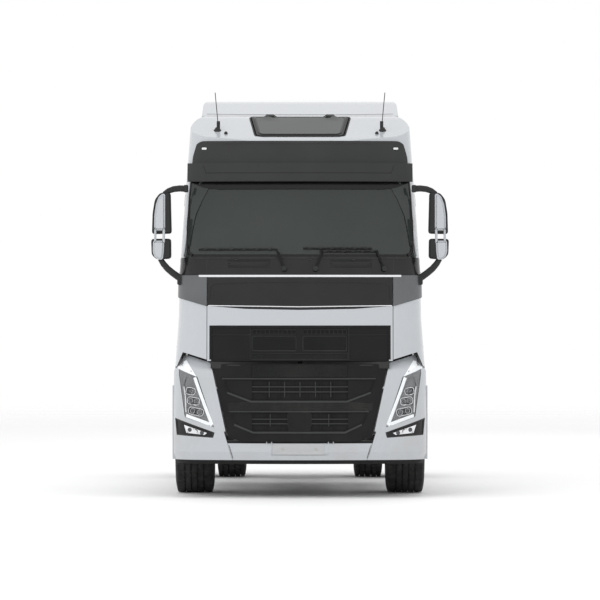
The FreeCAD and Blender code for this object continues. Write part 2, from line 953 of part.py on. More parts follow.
# Collars behind the cab sides
collar_length = 360.0
collar_skin = 34.0
collar_bottom = 1130.0
collar_top = 3640.0


def side_fairings():
    """The two collars that carry the cab sides back towards a trailer."""
    back = cab_rear_y + collar_length
    outer = body_form(cab_stations, 0, back + overrun * 3, back_corner_radius)
    inner = body_form(cab_stations, collar_skin, back + overrun * 6, back_corner_radius)
    reach = block(0, skirt_half, cab_rear_y - back_corner_radius, back, collar_bottom, collar_top)
    return both(outer.cut(inner).common(reach).cut(cab_form(-seat_gap)))


# Aerials, wipers
aerial_x = 806.0
aerial_depth = 640.0
aerial_tip_x = 838.0
aerial_tip_height = 3978.0
aerial_radius = 4.0
aerial_base_radius = 17.0
aerial_base_height = 60.0
wiper_height = 2238.0
wiper_blade_heights = (2424.0, 2434.0, 2404.0)
wiper_blade_width = 16.0
wiper_blade_thickness = 14.0
wiper_arm_radius = 7.0
wiper_boss_radius = 20.0
wiper_pivots = (-155.0, 152.0, 825.0)
wiper_tips = (-228.0, 224.0, 748.0)
wiper_spans = ((-990.0, -228.0), (30.0, 700.0), (190.0, 748.0))


def aerials():
    """The two whip aerials on the roof."""
    y = front + aerial_depth
    low = roof_knee_height - roof_edge_radius
    base = rod(V(aerial_x, y, low), V(aerial_x, y, low + aerial_base_height * 2), aerial_base_radius)
    whip = rod(V(aerial_x, y, low + aerial_base_height), V(aerial_tip_x, y, aerial_tip_height), aerial_radius)
    return both(joined(base, whip).cut(cab_form(-seat_gap)))


def wipers():
    """Three wipers parked along the foot of the windscreen."""
    made = []
    proud = glass_thickness - glass_inset
    for pivot, tip, span, height in zip(wiper_pivots, wiper_tips, wiper_spans, wiper_blade_heights):
        low, high = height - wiper_blade_width / 2, height + wiper_blade_width / 2
        reach = block(span[0], span[1], front, front + door_front, low, high)
        blade = cab_walls(glass_inset - seat_gap - wiper_blade_thickness).cut(
            cab_walls(glass_inset - seat_gap)
        ).common(reach)
        pivot_y = front + face_setback(wiper_height) + pivot ** 2 / face_bow_radius / 2
        tip_y = front + face_setback(height) + tip ** 2 / face_bow_radius / 2
        out = wiper_blade_thickness + wiper_arm_radius * 2
        boss = rod(
            V(pivot, pivot_y + out * 2, wiper_height), V(pivot, pivot_y - out, wiper_height), wiper_boss_radius
        ).cut(cab_form(-seat_gap))
        arm = rod(
            V(pivot, pivot_y - out / 2, wiper_height),
            V(tip, tip_y - wiper_blade_thickness / 2 + proud, height),
            wiper_arm_radius,
        )
        made.append(joined(blade, arm, boss).cut(cab_form(-seat_gap)))
    return made


# Mirrors
mirror_depth = 330.0
mirror_thickness = 130.0
mirror_arm_radius = 19.0
mirror_bend = 60.0
mirror_corner = 30.0
mirror_inner = 1258.0
mirror_outer = 1456.0
mirror_high = 2988.0
mirror_waist = 2574.0
mirror_knee = 2780.0
mirror_brow = 2922.0
mirror_knee_in = 6.0
mirror_brow_in = 30.0
mirror_crown_in = 84.0
mirror_low = 2324.0
mirror_low_top = 2534.0
mirror_low_knee = 2374.0
mirror_low_in = 54.0
mirror_link_half = 40.0
mirror_link_lap = 30.0
mirror_arm_in = 75.0
high_arm_start = 2950.0
high_arm_knee = 3035.0
high_arm_foot = 3042.0
low_arm_start = 2360.0
low_arm_knee = 2225.0
low_arm_foot = 2116.0


def mirror_pair():
    """The right hand mirror stack on its two arms."""
    y_low, y_high = front + mirror_depth, front + mirror_depth + mirror_thickness
    upper = [
        (mirror_inner, mirror_waist),
        (mirror_outer, mirror_waist),
        (mirror_outer - mirror_knee_in, mirror_knee),
        (mirror_outer - mirror_brow_in, mirror_brow),
        (mirror_outer - mirror_crown_in, mirror_high),
        (mirror_inner, mirror_high),
    ]
    lower = [
        (mirror_inner + mirror_knee_in, mirror_low),
        (mirror_outer - mirror_low_in, mirror_low),
        (mirror_outer, mirror_low_knee),
        (mirror_outer + mirror_knee_in, mirror_low_top),
        (mirror_inner + mirror_knee_in, mirror_low_top),
    ]
    heads = [
        prism("y", upper, y_low, y_high, mirror_corner),
        prism("y", lower, y_low, y_high, mirror_corner),
    ]
    link_x = (mirror_inner + mirror_outer) / 2
    link = block(
        link_x - mirror_link_half, link_x + mirror_link_half, y_low + mirror_arm_radius, y_high - mirror_arm_radius,
        mirror_low_top - mirror_link_lap, mirror_waist + mirror_link_lap,
    )
    mid_y = (y_low + y_high) / 2
    root_y = front + door_front - mirror_arm_radius * 2
    high_arm = pipe(
        [
            V(mirror_inner + mirror_arm_in, mid_y, high_arm_start),
            V(mirror_inner + mirror_arm_radius, mid_y, high_arm_knee),
            V(side_half(high_arm_knee) - cab_wall, root_y + mirror_bend, high_arm_foot),
        ],
        mirror_arm_radius,
        mirror_bend,
    )
    low_arm = pipe(
        [
            V(mirror_inner + mirror_arm_in, mid_y, low_arm_start),
            V(mirror_inner + mirror_arm_radius, mid_y, low_arm_knee),
            V(side_half(low_arm_foot) - cab_wall, root_y, low_arm_foot),
        ],
        mirror_arm_radius,
        mirror_bend,
    )
    stack = joined(heads[0], heads[1], link, high_arm, low_arm)
    return stack.cut([cab_form(-seat_gap), cab_form(-vane_proud - seat_gap).common(vane_prism(panel_gap))])


# Dashboard, seats and bunk
driver_x = 640.0
seat_y = front + 1130.0
seat_half = 260.0
dash_low = 1500.0
dash_high = 2265.0
wheel_centre_height = 2420.0
wheel_centre_depth = 800.0
wheel_lean = 27.0
wheel_ring_radius = 225.0
wheel_rim_thickness = 16.0
column_radius = 34.0
column_length = 420.0
dash_top = 2295.0
dash_shelf = 2175.0
dash_knee = 1935.0
dash_shin = 1680.0
dash_depths = (150.0, 190.0, 430.0, 640.0, 600.0, 420.0, 400.0)
dash_radii = (0.0, 20.0, 60.0, 40.0, 60.0, 120.0, 0.0, 0.0)
dash_end_depth = 700.0
binnacle_half = 240.0
binnacle_depths = (420.0, 580.0)
binnacle_top = 2335.0
binnacle_corner = 40.0
wheel_boss_radius = 75.0
wheel_spoke_half = 18.0
wheel_spoke_low = 10.0
wheel_spoke_high = 4.0
seat_base_half = 200.0
seat_base_reach = 180.0
cushion_low = 1900.0
cushion_high = 2020.0
cushion_front = 270.0
cushion_back = 250.0
cushion_drop = 10.0
cushion_corner = 40.0
back_foot = 1960.0
back_top = 2690.0
back_foot_reach = (180.0, 300.0)
back_top_reach = (300.0, 400.0)
back_margin = 20.0
rest_half = 140.0
rest_low = 2670.0
rest_high = 2870.0
rest_foot_reach = (305.0, 395.0)
rest_top_reach = (330.0, 400.0)
rest_corner = 30.0
bunk_locker_half = 1010.0
bunk_locker_depth = 640.0
bunk_locker_top = 1840.0
bunk_half = 1040.0
bunk_depth = 700.0
bunk_low = 1820.0
bunk_high = 1980.0


def column_axis():
    """The steering column's direction, up and back towards the driver."""
    lean = math.radians(wheel_lean)
    return V(0, math.sin(lean), math.cos(lean))


def wheel_centre():
    """The middle of the steering wheel."""
    return V(driver_x, front + wheel_centre_depth, wheel_centre_height)


def dashboard():
    """The dashboard across the cab, with the instrument hood and the steering column."""
    heights = (
        dash_knee - column_radius, dash_top, dash_top, dash_shelf, dash_knee, dash_shin, floor_top + seat_gap,
        floor_top + seat_gap,
    )
    depths = dash_depths + dash_depths[:1]
    side_view = [(front + depth, height) for depth, height in zip(depths, heights)]
    body = prism("x", side_view, -skirt_half, skirt_half, dash_radii)
    body = body.common(cab_form(cab_wall + seat_gap))
    side = block(
        belt_half - cab_wall * 3.2, skirt_half, front + door_front - cab_wall, front + dash_end_depth, 0, dash_high * 2
    )
    body = body.cut([side, mirrored(side)])
    pillar = cab_walls(glass_inset - seat_gap).cut(cab_walls(glass_inset + glass_thickness + cab_wall / 2))
    body = body.cut(pillar)
    hood_outline = [
        (driver_x - binnacle_half, dash_shelf - binnacle_corner),
        (driver_x + binnacle_half, dash_shelf - binnacle_corner),
        (driver_x + binnacle_half - binnacle_corner / 2, binnacle_top),
        (driver_x - binnacle_half + binnacle_corner / 2, binnacle_top),
    ]
    hood_radii = [0, 0, binnacle_corner, binnacle_corner]
    hood = prism("y", hood_outline, front + binnacle_depths[0], front + binnacle_depths[1], hood_radii)
    top = wheel_centre() - column_axis() * (wheel_rim_thickness * 3 + seat_gap)
    return joined(body, hood, rod(top - column_axis() * column_length, top, column_radius))


def steering_wheel():
    """The steering wheel's ring, spokes and boss."""
    centre = wheel_centre()
    ring = Part.makeTorus(wheel_ring_radius, wheel_rim_thickness, V(0, 0, 0), V(0, 0, 1))
    boss = Part.makeCylinder(wheel_boss_radius, wheel_rim_thickness * 4, V(0, 0, -wheel_rim_thickness * 3))
    reach = wheel_ring_radius
    spokes = [
        block(-reach, reach, -wheel_spoke_half, wheel_spoke_half, -wheel_spoke_low, wheel_spoke_high),
        block(-wheel_spoke_half, wheel_spoke_half, -reach, 0, -wheel_spoke_low, wheel_spoke_high),
    ]
    wheel = joined(ring, boss, *spokes)
    wheel.rotate(V(0, 0, 0), V(1, 0, 0), -wheel_lean)
    wheel.translate(centre)
    return wheel


def seat(x):
    """A suspended seat: base, cushion, back and head rest."""
    base = block(
        x - seat_base_half, x + seat_base_half, seat_y - seat_base_reach, seat_y + seat_base_reach,
        floor_top + seat_gap, cushion_low + cushion_drop * 2,
    )
    cushion = prism(
        "x",
        [
            (seat_y - cushion_front, cushion_low),
            (seat_y - cushion_front, cushion_high),
            (seat_y + cushion_back, cushion_high - cushion_drop),
            (seat_y + cushion_back, cushion_low),
        ],
        x - seat_half, x + seat_half, cushion_corner,
    )
    back = prism(
        "x",
        [
            (seat_y + back_foot_reach[0], back_foot),
            (seat_y + back_top_reach[0], back_top),
            (seat_y + back_top_reach[1], back_top),
            (seat_y + back_foot_reach[1], back_foot - back_margin),
        ],
        x - seat_half + back_margin, x + seat_half - back_margin, cushion_corner,
    )
    rest = prism(
        "x",
        [
            (seat_y + rest_foot_reach[0], rest_low),
            (seat_y + rest_top_reach[0], rest_high),
            (seat_y + rest_top_reach[1], rest_high),
            (seat_y + rest_foot_reach[1], rest_low),
        ],
        x - rest_half, x + rest_half, rest_corner,
    )
    return joined(base, cushion, back, rest)


def bunk():
    """The bed across the back of the cab, on its locker."""
    back = cab_rear_y - cab_wall - seat_gap
    locker = block(
        -bunk_locker_half, bunk_locker_half, back - bunk_locker_depth, back, floor_top + seat_gap, bunk_locker_top
    )
    bed = block(-bunk_half, bunk_half, back - bunk_depth, back, bunk_low, bunk_high)
    return joined(locker, bed)


# Lower front: corners, lamps, grille, bumper and lip
def grille_outline(grow):
    """The lower grille's outline seen from the front."""
    return [
        (-grille_low_half_top - grow, lower_top + seam_room),
        (grille_low_half_top + grow, lower_top + seam_room),
        (grille_low_half_bottom + grow, flap_knee - grow),
        (grille_foot_half + grow, flap_bottom - grow),
        (-grille_foot_half - grow, flap_bottom - grow),
        (-grille_low_half_bottom - grow, flap_knee - grow),
    ]


lamp_outline = [(1180, 1322), (1000, 1178), (836, 690), (1124, 786), (1184, 1210)]
fog_outline = [(1222, 778), (832, 640), (846, 588), (1206, 612)]
lamp_corner = 26.0
lamp_inset = 5.0
lamp_skin = 22.0
lamp_gap = 0.4
bumper_split_low = 640.0
bumper_split_high = 712.0
door_sweep_x = 1152.0
door_sweep_radius = 374.0
door_sweep_height = 1200.0

# Lamp interiors
bowl_outline = [(1034, 1160), (1112, 1178), (1136, 1100), (1104, 985), (1092, 808), (874, 734)]
bowl_corner = 16.0
bowl_depth = 9.0
unit_centres = [(1072, 1043), (1034, 940), (1006, 838)]
unit_radii = (38.0, 41.0, 41.0)
unit_ring = 7.0
unit_depth = 4.0
low_unit_x = (905.0, 990.0, 1075.0)
low_unit_height = 668.0
low_unit_radius = 33.0
low_unit_depth = 6.0

# Lower grille openings
flap_recess = 6.0
flap_hole = 20.0
flap_corner = 26.0
flap_upper = [(-738, 1152), (738, 1152), (690, 1035), (462, 952), (-462, 952), (-690, 1035)]
flap_lower = [(-672, 835), (672, 835), (618, 724), (446, 652), (-446, 652), (-618, 724)]
flap_hole_half = 466.0
flap_upper_hole = (956.0, 1148.0)
flap_lower_hole = (656.0, 831.0)
flap_upper_bars = (1036.0, 1085.0)
flap_lower_bars = (726.0, 771.0)
flap_bar_half = 6.0
flap_columns = 7
flap_middle_half = 112.0
flap_mesh_top = 1299.0
flap_mesh_bottom = 1180.0

# Number plate recess
plate_half = 278.0
plate_low = 420.0
plate_high = 528.0
plate_depth = 4.0
plate_corner = 14.0


def front_prism(points, radius=0.0):
    """An outline seen from the front, pushed back through the lower front."""
    return prism("y", points, front - overrun, front + module_side_depth + overrun, radius)


def drawn(points, grow):
    """An outline moved in or out from its own middle."""
    middle_x = sum(p[0] for p in points) / len(points)
    middle_z = sum(p[1] for p in points) / len(points)
    far_x = max(p[0] for p in points) - middle_x
    far_z = max(p[1] for p in points) - middle_z
    return [
        (middle_x + (x - middle_x) * (far_x + grow) / far_x, middle_z + (z - middle_z) * (far_z + grow) / far_z)
        for x, z in points
    ]


def above_seam():
    """Everything over the seam, for trimming the top of the corner panels."""
    right = seam_points(0)
    left = [(-x, z) for x, z in reversed(right)]
    top = shoulder_top + overrun
    points = left + right + [(skirt_half + overrun, top), (-skirt_half - overrun, top)]
    return front_prism(points)


def bumper_outline(gap):
    """The middle of the bumper between its two slanting splits."""
    return [
        (-bumper_split_low + gap, bumper_bottom - overrun),
        (bumper_split_low - gap, bumper_bottom - overrun),
        (bumper_split_high + overrun / 2 - gap, flap_knee + overrun),
        (-bumper_split_high - overrun / 2 + gap, flap_knee + overrun),
    ]


def door_sweep():
    """The room that a door's toe sweeps past the corner when the cab tilts."""
    pivot = V(0, front + tilt_pivot_depth, tilt_pivot_height)
    y_high = front + module_side_depth * 2
    room = block(door_sweep_x, skirt_half * 2, front, y_high, door_sweep_height, shoulder_top * 2)
    return room.cut(rod(pivot, pivot + V(skirt_half * 2, 0, 0), door_sweep_radius))


def corner_panels():
    """The painted corners that hold the lamps."""
    side = block(0, skirt_half * 2, front - overrun, front + module_side_depth, 0, shoulder_top + overrun)
    whole = layer(lower_stations, 0, module_skin, side)
    whole = whole.cut([above_seam(), front_prism(grille_outline(flap_gap)), front_prism(bumper_outline(0))])
    whole = whole.cut(door_sweep())
    return both(whole.cut([front_prism(drawn(lamp_outline, lamp_gap), lamp_corner), front_prism(fog_outline)]))


def core(stations, depth):
    """The lower front's closed form at a depth, against which pockets end."""
    return body_form(stations, depth, front + front_overhang, back_corner_radius)


def sunk(stations, surface, depth, outline, radius=0.0):
    """The room of a pocket in a surface of the lower front, seen from the front."""
    return front_prism(outline, radius).cut(core(stations, surface + depth))


def lamp_ring(x, z, radius, inner):
    """A tube, seen end on from the front, round a lamp unit."""
    far = front + module_side_depth
    outside = rod(V(x, front - overrun, z), V(x, far, z), radius)
    return outside.cut(rod(V(x, front - overrun, z), V(x, far, z), inner))


def lamps():
    """The headlamps and the lower lamps, let into the corners, with their round units."""
    head = layer(lower_stations, lamp_inset, lamp_inset + lamp_skin, front_prism(lamp_outline, lamp_corner))
    rings = [
        lamp_ring(x, z, radius, radius - unit_ring)
        for (x, z), radius in zip(unit_centres, unit_radii)
    ]
    bowl = sunk(lower_stations, lamp_inset, bowl_depth, bowl_outline, bowl_corner).cut(rings)
    fog = layer(lower_stations, lamp_inset * 2, module_skin, front_prism(drawn(fog_outline, -lamp_gap)))
    cups = [
        rod(V(x, front - overrun, low_unit_height), V(x, front + module_side_depth, low_unit_height), low_unit_radius)
        for x in low_unit_x
    ]
    wells = Part.makeCompound(cups).cut(core(lower_stations, lamp_inset * 2 + low_unit_depth))
    return both(head.cut([bowl, door_sweep()])) + both(fog.cut(wells))


def flap_holes():
    """The rooms of the lower grille's mesh field and its two barred openings."""
    y_low, y_high = front - overrun, front + module_side_depth
    half = flap_hole_half
    mesh = block(-half, half, y_low, y_high, flap_mesh_bottom, flap_mesh_top)
    shallow = [mesh, front_prism(flap_upper, flap_corner), front_prism(flap_lower, flap_corner)]
    shallow = Part.makeCompound(shallow).cut(core(grille_stations, flap_inset + flap_recess))
    bars = []
    for z in flap_upper_bars + flap_lower_bars:
        bars.append(block(-half, half, y_low, y_high, z - flap_bar_half, z + flap_bar_half))
    for i in range(1, flap_columns):
        x = -half + 2 * half * i / flap_columns
        bars.append(block(x - flap_bar_half, x + flap_bar_half, y_low, y_high, flap_bottom, flap_top))
    bars.append(block(-flap_middle_half, flap_middle_half, y_low, y_high, flap_bottom, flap_lower_hole[1]))
    holes = []
    for (low, high), outline in ((flap_upper_hole, flap_upper), (flap_lower_hole, flap_lower)):
        inside = front_prism(drawn(outline, -flap_recess), flap_corner)
        holes.append(block(-half, half, y_low, y_high, low, high).common(inside).cut(bars))
    deep = Part.makeCompound(holes).cut(core(grille_stations, flap_inset + flap_hole))
    return [shallow, deep]


def flap_hinge_rod(x_low, x_high, radius):
    """A round bar on the flap's hinge line."""
    y = front + flap_hinge_depth
    return rod(V(x_low, y, flap_hinge_height), V(x_high, y, flap_hinge_height), radius)


def lower_grille():
    """The lower grille, which folds down as a step on two hinges at its foot."""
    over = block(-skirt_half, skirt_half, front - overrun, front + front_overhang, flap_top, shoulder_top)
    window = front_prism(grille_outline(0)).cut(over)
    pieces = [layer(grille_stations, flap_inset, flap_inset + flap_skin, window)]
    bores = []
    for x in (-flap_hinge_x, flap_hinge_x):
        low, high = x - flap_hinge_half + seat_gap, x + flap_hinge_half - seat_gap
        pieces.append(flap_hinge_rod(low, high, flap_hinge_radius))
        pieces.append(
            block(
                low, high, front + flap_hinge_depth, front + flap_inset + flap_skin,
                flap_hinge_height, flap_hinge_height + flap_hinge_radius,
            )
        )
        bores.append(flap_hinge_rod(low - 1, high + 1, flap_pin_radius + running_room))
    return joined(*pieces).cut(bores + flap_holes())


def bumper():
    """The painted middle of the bumper, with the ears and pins of the grille's hinges."""
    piece = layer(lower_stations, 0, module_skin, front_prism(bumper_outline(panel_gap / 2)))
    low = block(-skirt_half, skirt_half, front - overrun, front + front_overhang, 0, bumper_top)
    plate = [(-plate_half, plate_low), (plate_half, plate_low), (plate_half, plate_high), (-plate_half, plate_high)]
    recess = sunk(lower_stations, 0, plate_depth, plate, plate_corner)
    pieces = [piece.cut([front_prism(grille_outline(flap_gap)), recess]).common(low)]
    ear = flap_hinge_radius
    for x in (-flap_hinge_x, flap_hinge_x):
        pieces.append(flap_hinge_rod(x - flap_hinge_half - ear / 2, x + flap_hinge_half + ear / 2, flap_pin_radius))
        for start in (x - flap_hinge_half - ear, x + flap_hinge_half):
            pieces.append(flap_hinge_rod(start, start + ear, ear))
            foot_y = front + flap_hinge_depth
            pieces.append(
                block(start, start + ear, foot_y - ear / 2, foot_y + ear, bumper_top - ear, flap_hinge_height)
            )
    return joined(*pieces)


def bumper_lip():
    """The black lip along the foot of the bumper."""
    reach = block(-skirt_half, skirt_half, front - overrun, front + front_overhang, 0, bumper_bottom - seat_gap)
    return layer(lip_stations, 0, module_skin, reach)


# Frame
rail_low = frame_top - rail_depth
bracket_out = 560.0
bracket_base_top = 862.0
beam_half = 900.0
beam_front = 132.0
beam_depth = 80.0
beam_low = 425.0
beam_high = 560.0
bumper_bracket_x = (350.0, 850.0)
bumper_bracket_half = 30.0
cross_depths = (2500.0, 3300.0, 4350.0, 5250.0)
rest_depth = 2085.0
rest_size = 70.0
low_cross_low = 560.0
low_cross_high = 745.0
bracket_drop = 125.0
bracket_tail = 100.0
bracket_nose_drop = 10.0


def rail():
    """One channel rail, with its flanges turned inwards."""
    outside = block(rail_half - rail_flange, rail_half, front + rail_start, front + rail_end, rail_low, frame_top)
    inside = block(
        rail_half - rail_flange - 1,
        rail_half - rail_web,
        front + rail_start - 1,
        front + rail_end + 1,
        rail_low + rail_web,
        frame_top - rail_web,
    )
    return outside.cut(inside)


def tilt_bracket():
    """The fork at the front of a rail that holds the cab's pivot pin."""
    y_low, y_high = front + beam_front, front + rail_start + bracket_tail
    base = block(rail_half, bracket_out, y_low, y_high, rail_low - bracket_drop, bracket_base_top)
    tip = [
        (y_low, bracket_base_top - 1),
        (y_high, bracket_base_top - 1),
        (y_high, frame_top),
        (front + tilt_pivot_depth + arm_height, frame_top),
        (y_low, frame_top - bracket_nose_drop),
    ]
    inner = prism("x", tip, rail_half, tilt_arm_in - panel_gap)
    outer = prism("x", tip, tilt_arm_out + panel_gap, bracket_out)
    pivot_y = front + tilt_pivot_depth
    pin = rod(V(rail_half, pivot_y, tilt_pivot_height), V(bracket_out, pivot_y, tilt_pivot_height), tilt_pin_radius)
    foot = block(rail_half, bracket_out, y_low, y_low + beam_depth, beam_low, rail_low)
    return joined(base, inner, outer, pin, foot)


def cross_member(y):
    """A channel across the frame between the rail webs."""
    half = rail_half - rail_web / 2
    return block(-half, half, y, y + cross_size, rail_low + rail_web * 2, frame_top - rail_web * 2).cut(
        block(-half, half, y + rail_web, y + cross_size + 1, rail_low + rail_web * 3, frame_top - rail_web * 3)
    )


def shaft_rod(radius, grow=0.0):
    """The propeller shaft's line from the gearbox to the driven axle."""
    start = V(0, front + gearbox_end - grow, shaft_height)
    end = V(0, rear_axle_y - diff_reach, diff_height + shaft_drop)
    return rod(start, end, radius)


def frame():
    """Two rails, their cross members, the front beam and the cab's pivots and rear rests."""
    beam = block(-beam_half, beam_half, front + beam_front, front + beam_front + beam_depth, beam_low, beam_high)
    cross_y = front + rail_start
    low_cross = block(-rail_half, rail_half, cross_y, cross_y + cross_size, low_cross_low, low_cross_high)
    rest_y = front + rest_depth
    pieces = [beam, low_cross]
    for side in (rail(), tilt_bracket()):
        pieces += both(side)
    for depth in cross_depths:
        pieces.append(cross_member(front + depth))
    post = block(
        rail_half - rest_size, rail_half, rest_y, rest_y + rest_size, frame_top - 1, floor_bottom - seat_gap
    )
    pieces += both(post)
    room = body_form(lower_stations, module_skin + seat_gap, front + front_overhang, back_corner_radius)
    for x in bumper_bracket_x:
        arm = block(
            x - bumper_bracket_half, x + bumper_bracket_half, front, front + beam_front + 1,
            beam_low + bumper_bracket_half, beam_high - bumper_bracket_half,
        )
        pieces += both(arm.common(room))
    return joined(*pieces).cut(shaft_rod(shaft_radius + shaft_room))


# Engine, gearbox and shaft, radiator
engine_half = 305.0
engine_start = 640.0
engine_end = 1790.0
engine_top = 1340.0
engine_low = 690.0
sump_half = 185.0
sump_low = 600.0
gearbox_half = 190.0
gearbox_end = 2450.0
shaft_radius = 60.0
shaft_height = 770.0
shaft_drop = 40.0
shaft_room = 30.0
shaft_lap = 10.0
diff_height = 560.0
diff_reach = 330.0
nose_radius = 85.0
mount_size = 60.0
mount_lead = 150.0
casting_lap = 10.0
sump_lead = 60.0
gearbox_low = 620.0
gearbox_top = 925.0
radiator_half = 310.0
radiator_lead = 10.0
radiator_depth = 150.0
radiator_top = 1290.0


def axle_nose(grow):
    """The driven axle's nose, which takes the end of the propeller shaft."""
    start = V(0, rear_axle_y - diff_reach - grow, diff_height + shaft_drop)
    return rod(start, V(0, rear_axle_y, rear_tyre_radius), nose_radius + grow)


def engine():
    """The engine as one plain block, with the gearbox and the propeller shaft behind it."""
    upper = block(-engine_half, engine_half, front + engine_start, front + engine_end, engine_low, engine_top)
    sump_y = front + engine_start + sump_lead
    sump = block(-sump_half, sump_half, sump_y, front + engine_end, sump_low, engine_low + casting_lap)
    box_y = front + engine_end - casting_lap
    box = block(-gearbox_half, gearbox_half, box_y, front + gearbox_end, gearbox_low, gearbox_top)
    shaft = shaft_rod(shaft_radius, shaft_lap)
    middle = (rail_low + frame_top) / 2
    mounts = []
    for depth in (engine_start + mount_lead, engine_end - mount_lead):
        reach = rail_half - rail_web - seat_gap
        mounts.append(
            block(
                -reach, reach, front + depth, front + depth + mount_size,
                middle - mount_size / 2, middle + mount_size / 2,
            )
        )
    return joined(upper, sump, box, shaft, *mounts).cut(axle_nose(seat_gap))


def radiator():
    """The cooling pack behind the grille, standing on the frame's front cross member."""
    y = front + rail_start + radiator_lead
    return block(
        -radiator_half, radiator_half, y, y + radiator_depth, low_cross_high + seat_gap, radiator_top
    )


# Axles and steering
eye_radius = 46.0
eye_half = 55.0
axle_half_depth = 42.0
axle_half_height = 38.0
axle_drop = 110.0
axle_drop_x = 560.0
axle_rise_x = 740.0
wheel_height = front_tyre_radius
fork_half = 125.0
fork_thickness = 60.0
fork_radius = 58.0
fork_web_in = 66.0
spindle_radius = 40.0
spindle_end = 1172.0
steer_arm_length = 190.0
steer_arm_height = 410.0
tie_rod_radius = 17.0
tie_pin_radius = 14.0
kingpin_end = 10.0
fork_gap = 1.0
fork_side_share = 0.9
fork_reach_share = 1.6
steer_arm_half = 22.0
steer_arm_end_radius = 26.0
arm_lap = 4.0
tie_pin_end = 6.0
tie_rod_drop = 3.0
tie_end_share = 1.8


def front_axle():
    """The dropped beam, with an upright pin through the eye at each end."""
    low = wheel_height - axle_drop
    outline = [
        (-kingpin_x, wheel_height + axle_half_height),
        (-axle_rise_x, wheel_height + axle_half_height),
        (-axle_drop_x, low + axle_half_height),
        (axle_drop_x, low + axle_half_height),
        (axle_rise_x, wheel_height + axle_half_height),
        (kingpin_x, wheel_height + axle_half_height),
        (kingpin_x, wheel_height - axle_half_height),
        (axle_rise_x, wheel_height - axle_half_height),
        (axle_drop_x, low - axle_half_height),
        (-axle_drop_x, low - axle_half_height),
        (-axle_rise_x, wheel_height - axle_half_height),
        (-kingpin_x, wheel_height - axle_half_height),
    ]
    beam = prism("y", outline, front_axle_y - axle_half_depth, front_axle_y + axle_half_depth)
    pieces = [beam]
    for side in (1, -1):
        x = side * kingpin_x
        foot = V(x, front_axle_y, wheel_height)
        pieces.append(rod(foot - V(0, 0, eye_half), foot + V(0, 0, eye_half), eye_radius))
        pin_half = fork_half - kingpin_end
        pieces.append(rod(foot - V(0, 0, pin_half), foot + V(0, 0, pin_half), kingpin_radius))
    return joined(*pieces)


def knuckle(side):
    """A steering knuckle: the fork round the axle's eye, the spindle and the steering arm."""
    x = side * kingpin_x
    y = front_axle_y
    y_half = fork_radius * fork_side_share
    reach = side * fork_web_in * fork_reach_share
    low_lug = wheel_height - eye_half - fork_gap - fork_thickness
    pieces = []
    for z in (wheel_height + eye_half + fork_gap, low_lug):
        pieces.append(rod(V(x, y, z), V(x, y, z + fork_thickness), fork_radius))
        near, far = sorted((x, x + reach))
        pieces.append(block(near, far, y - y_half, y + y_half, z, z + fork_thickness))
    near, far = sorted((x + side * fork_web_in, x + reach))
    web_half = fork_half - kingpin_end
    pieces.append(block(near, far, y - y_half, y + y_half, wheel_height - web_half, wheel_height + web_half))
    spindle = rod(V(x + reach, y, wheel_height), V(side * spindle_end, y, wheel_height), spindle_radius)
    back = V(x, y + steer_arm_length, steer_arm_height)
    lug_z = low_lug + arm_lap
    arm = block(x - steer_arm_half, x + steer_arm_half, y, y + steer_arm_length, steer_arm_height, lug_z)
    arm_end = rod(back, V(x, y + steer_arm_length, lug_z), steer_arm_end_radius)
    pin = rod(back - V(0, 0, tie_rod_radius * 2 + tie_pin_end), back + V(0, 0, tie_pin_end), tie_pin_radius)
    body = joined(*(pieces + [spindle, arm, arm_end, pin]))
    bore = rod(
        V(x, y, wheel_height - fork_half - fork_gap), V(x, y, wheel_height + fork_half + fork_gap),
        kingpin_radius + running_room,
    )
    return body.cut(bore)


def tie_rod():
    """The rod between the two steering arms."""
    y = front_axle_y + steer_arm_length
    z = steer_arm_height - tie_rod_radius - tie_rod_drop
    bar = rod(V(-kingpin_x, y, z), V(kingpin_x, y, z), tie_rod_radius)
    ends = []
    bores = []
    for side in (1, -1):
        low = V(side * kingpin_x, y, z - tie_rod_radius)
        high = V(side * kingpin_x, y, z + tie_rod_radius)
        ends.append(rod(low, high, tie_rod_radius * tie_end_share))
        over = V(0, 0, tie_rod_drop)
        bores.append(rod(low - over, high + over, tie_pin_radius + running_room))
    return joined(bar, *ends).cut(bores)


axle_tube_radius = 72.0
drum_radius = 205.0
drum_in = 470.0
drum_out = 566.0
rear_spindle_end = 1165.0
diff_radius = 215.0
diff_half = 230.0
diff_face_share = 0.35
diff_round_share = 0.7
diff_round_radius_share = 0.8


def rear_axle():
    """The driven axle: housing, drive head, brake drums and wheel spindles."""
    half = [
        (diff_half * diff_face_share, diff_radius),
        (diff_half * diff_round_share, diff_radius * diff_round_radius_share),
        (diff_half, axle_tube_radius),
        (drum_in, axle_tube_radius),
        (drum_in, drum_radius),
        (drum_out, drum_radius),
        (drum_out, spindle_radius),
        (rear_spindle_end, spindle_radius),
        (rear_spindle_end, 0),
    ]
    profile = [(-x, r) for x, r in reversed(half)] + half
    body = turned(profile, rear_axle_y, rear_tyre_radius)
    return joined(body, axle_nose(0))


leaf_x = 415.0
leaf_half = 38.0
leaf_thickness = 34.0
leaf_reach = 760.0
leaf_clamp_half = 90.0
leaf_clamp_end = 110.0
leaf_foot_share = 0.4
leaf_top_share = 1.9
leaf_end_drop = 70.0
leaf_eye_drop = 40.0
leaf_eye_reach = 60.0
leaf_tip = 50.0


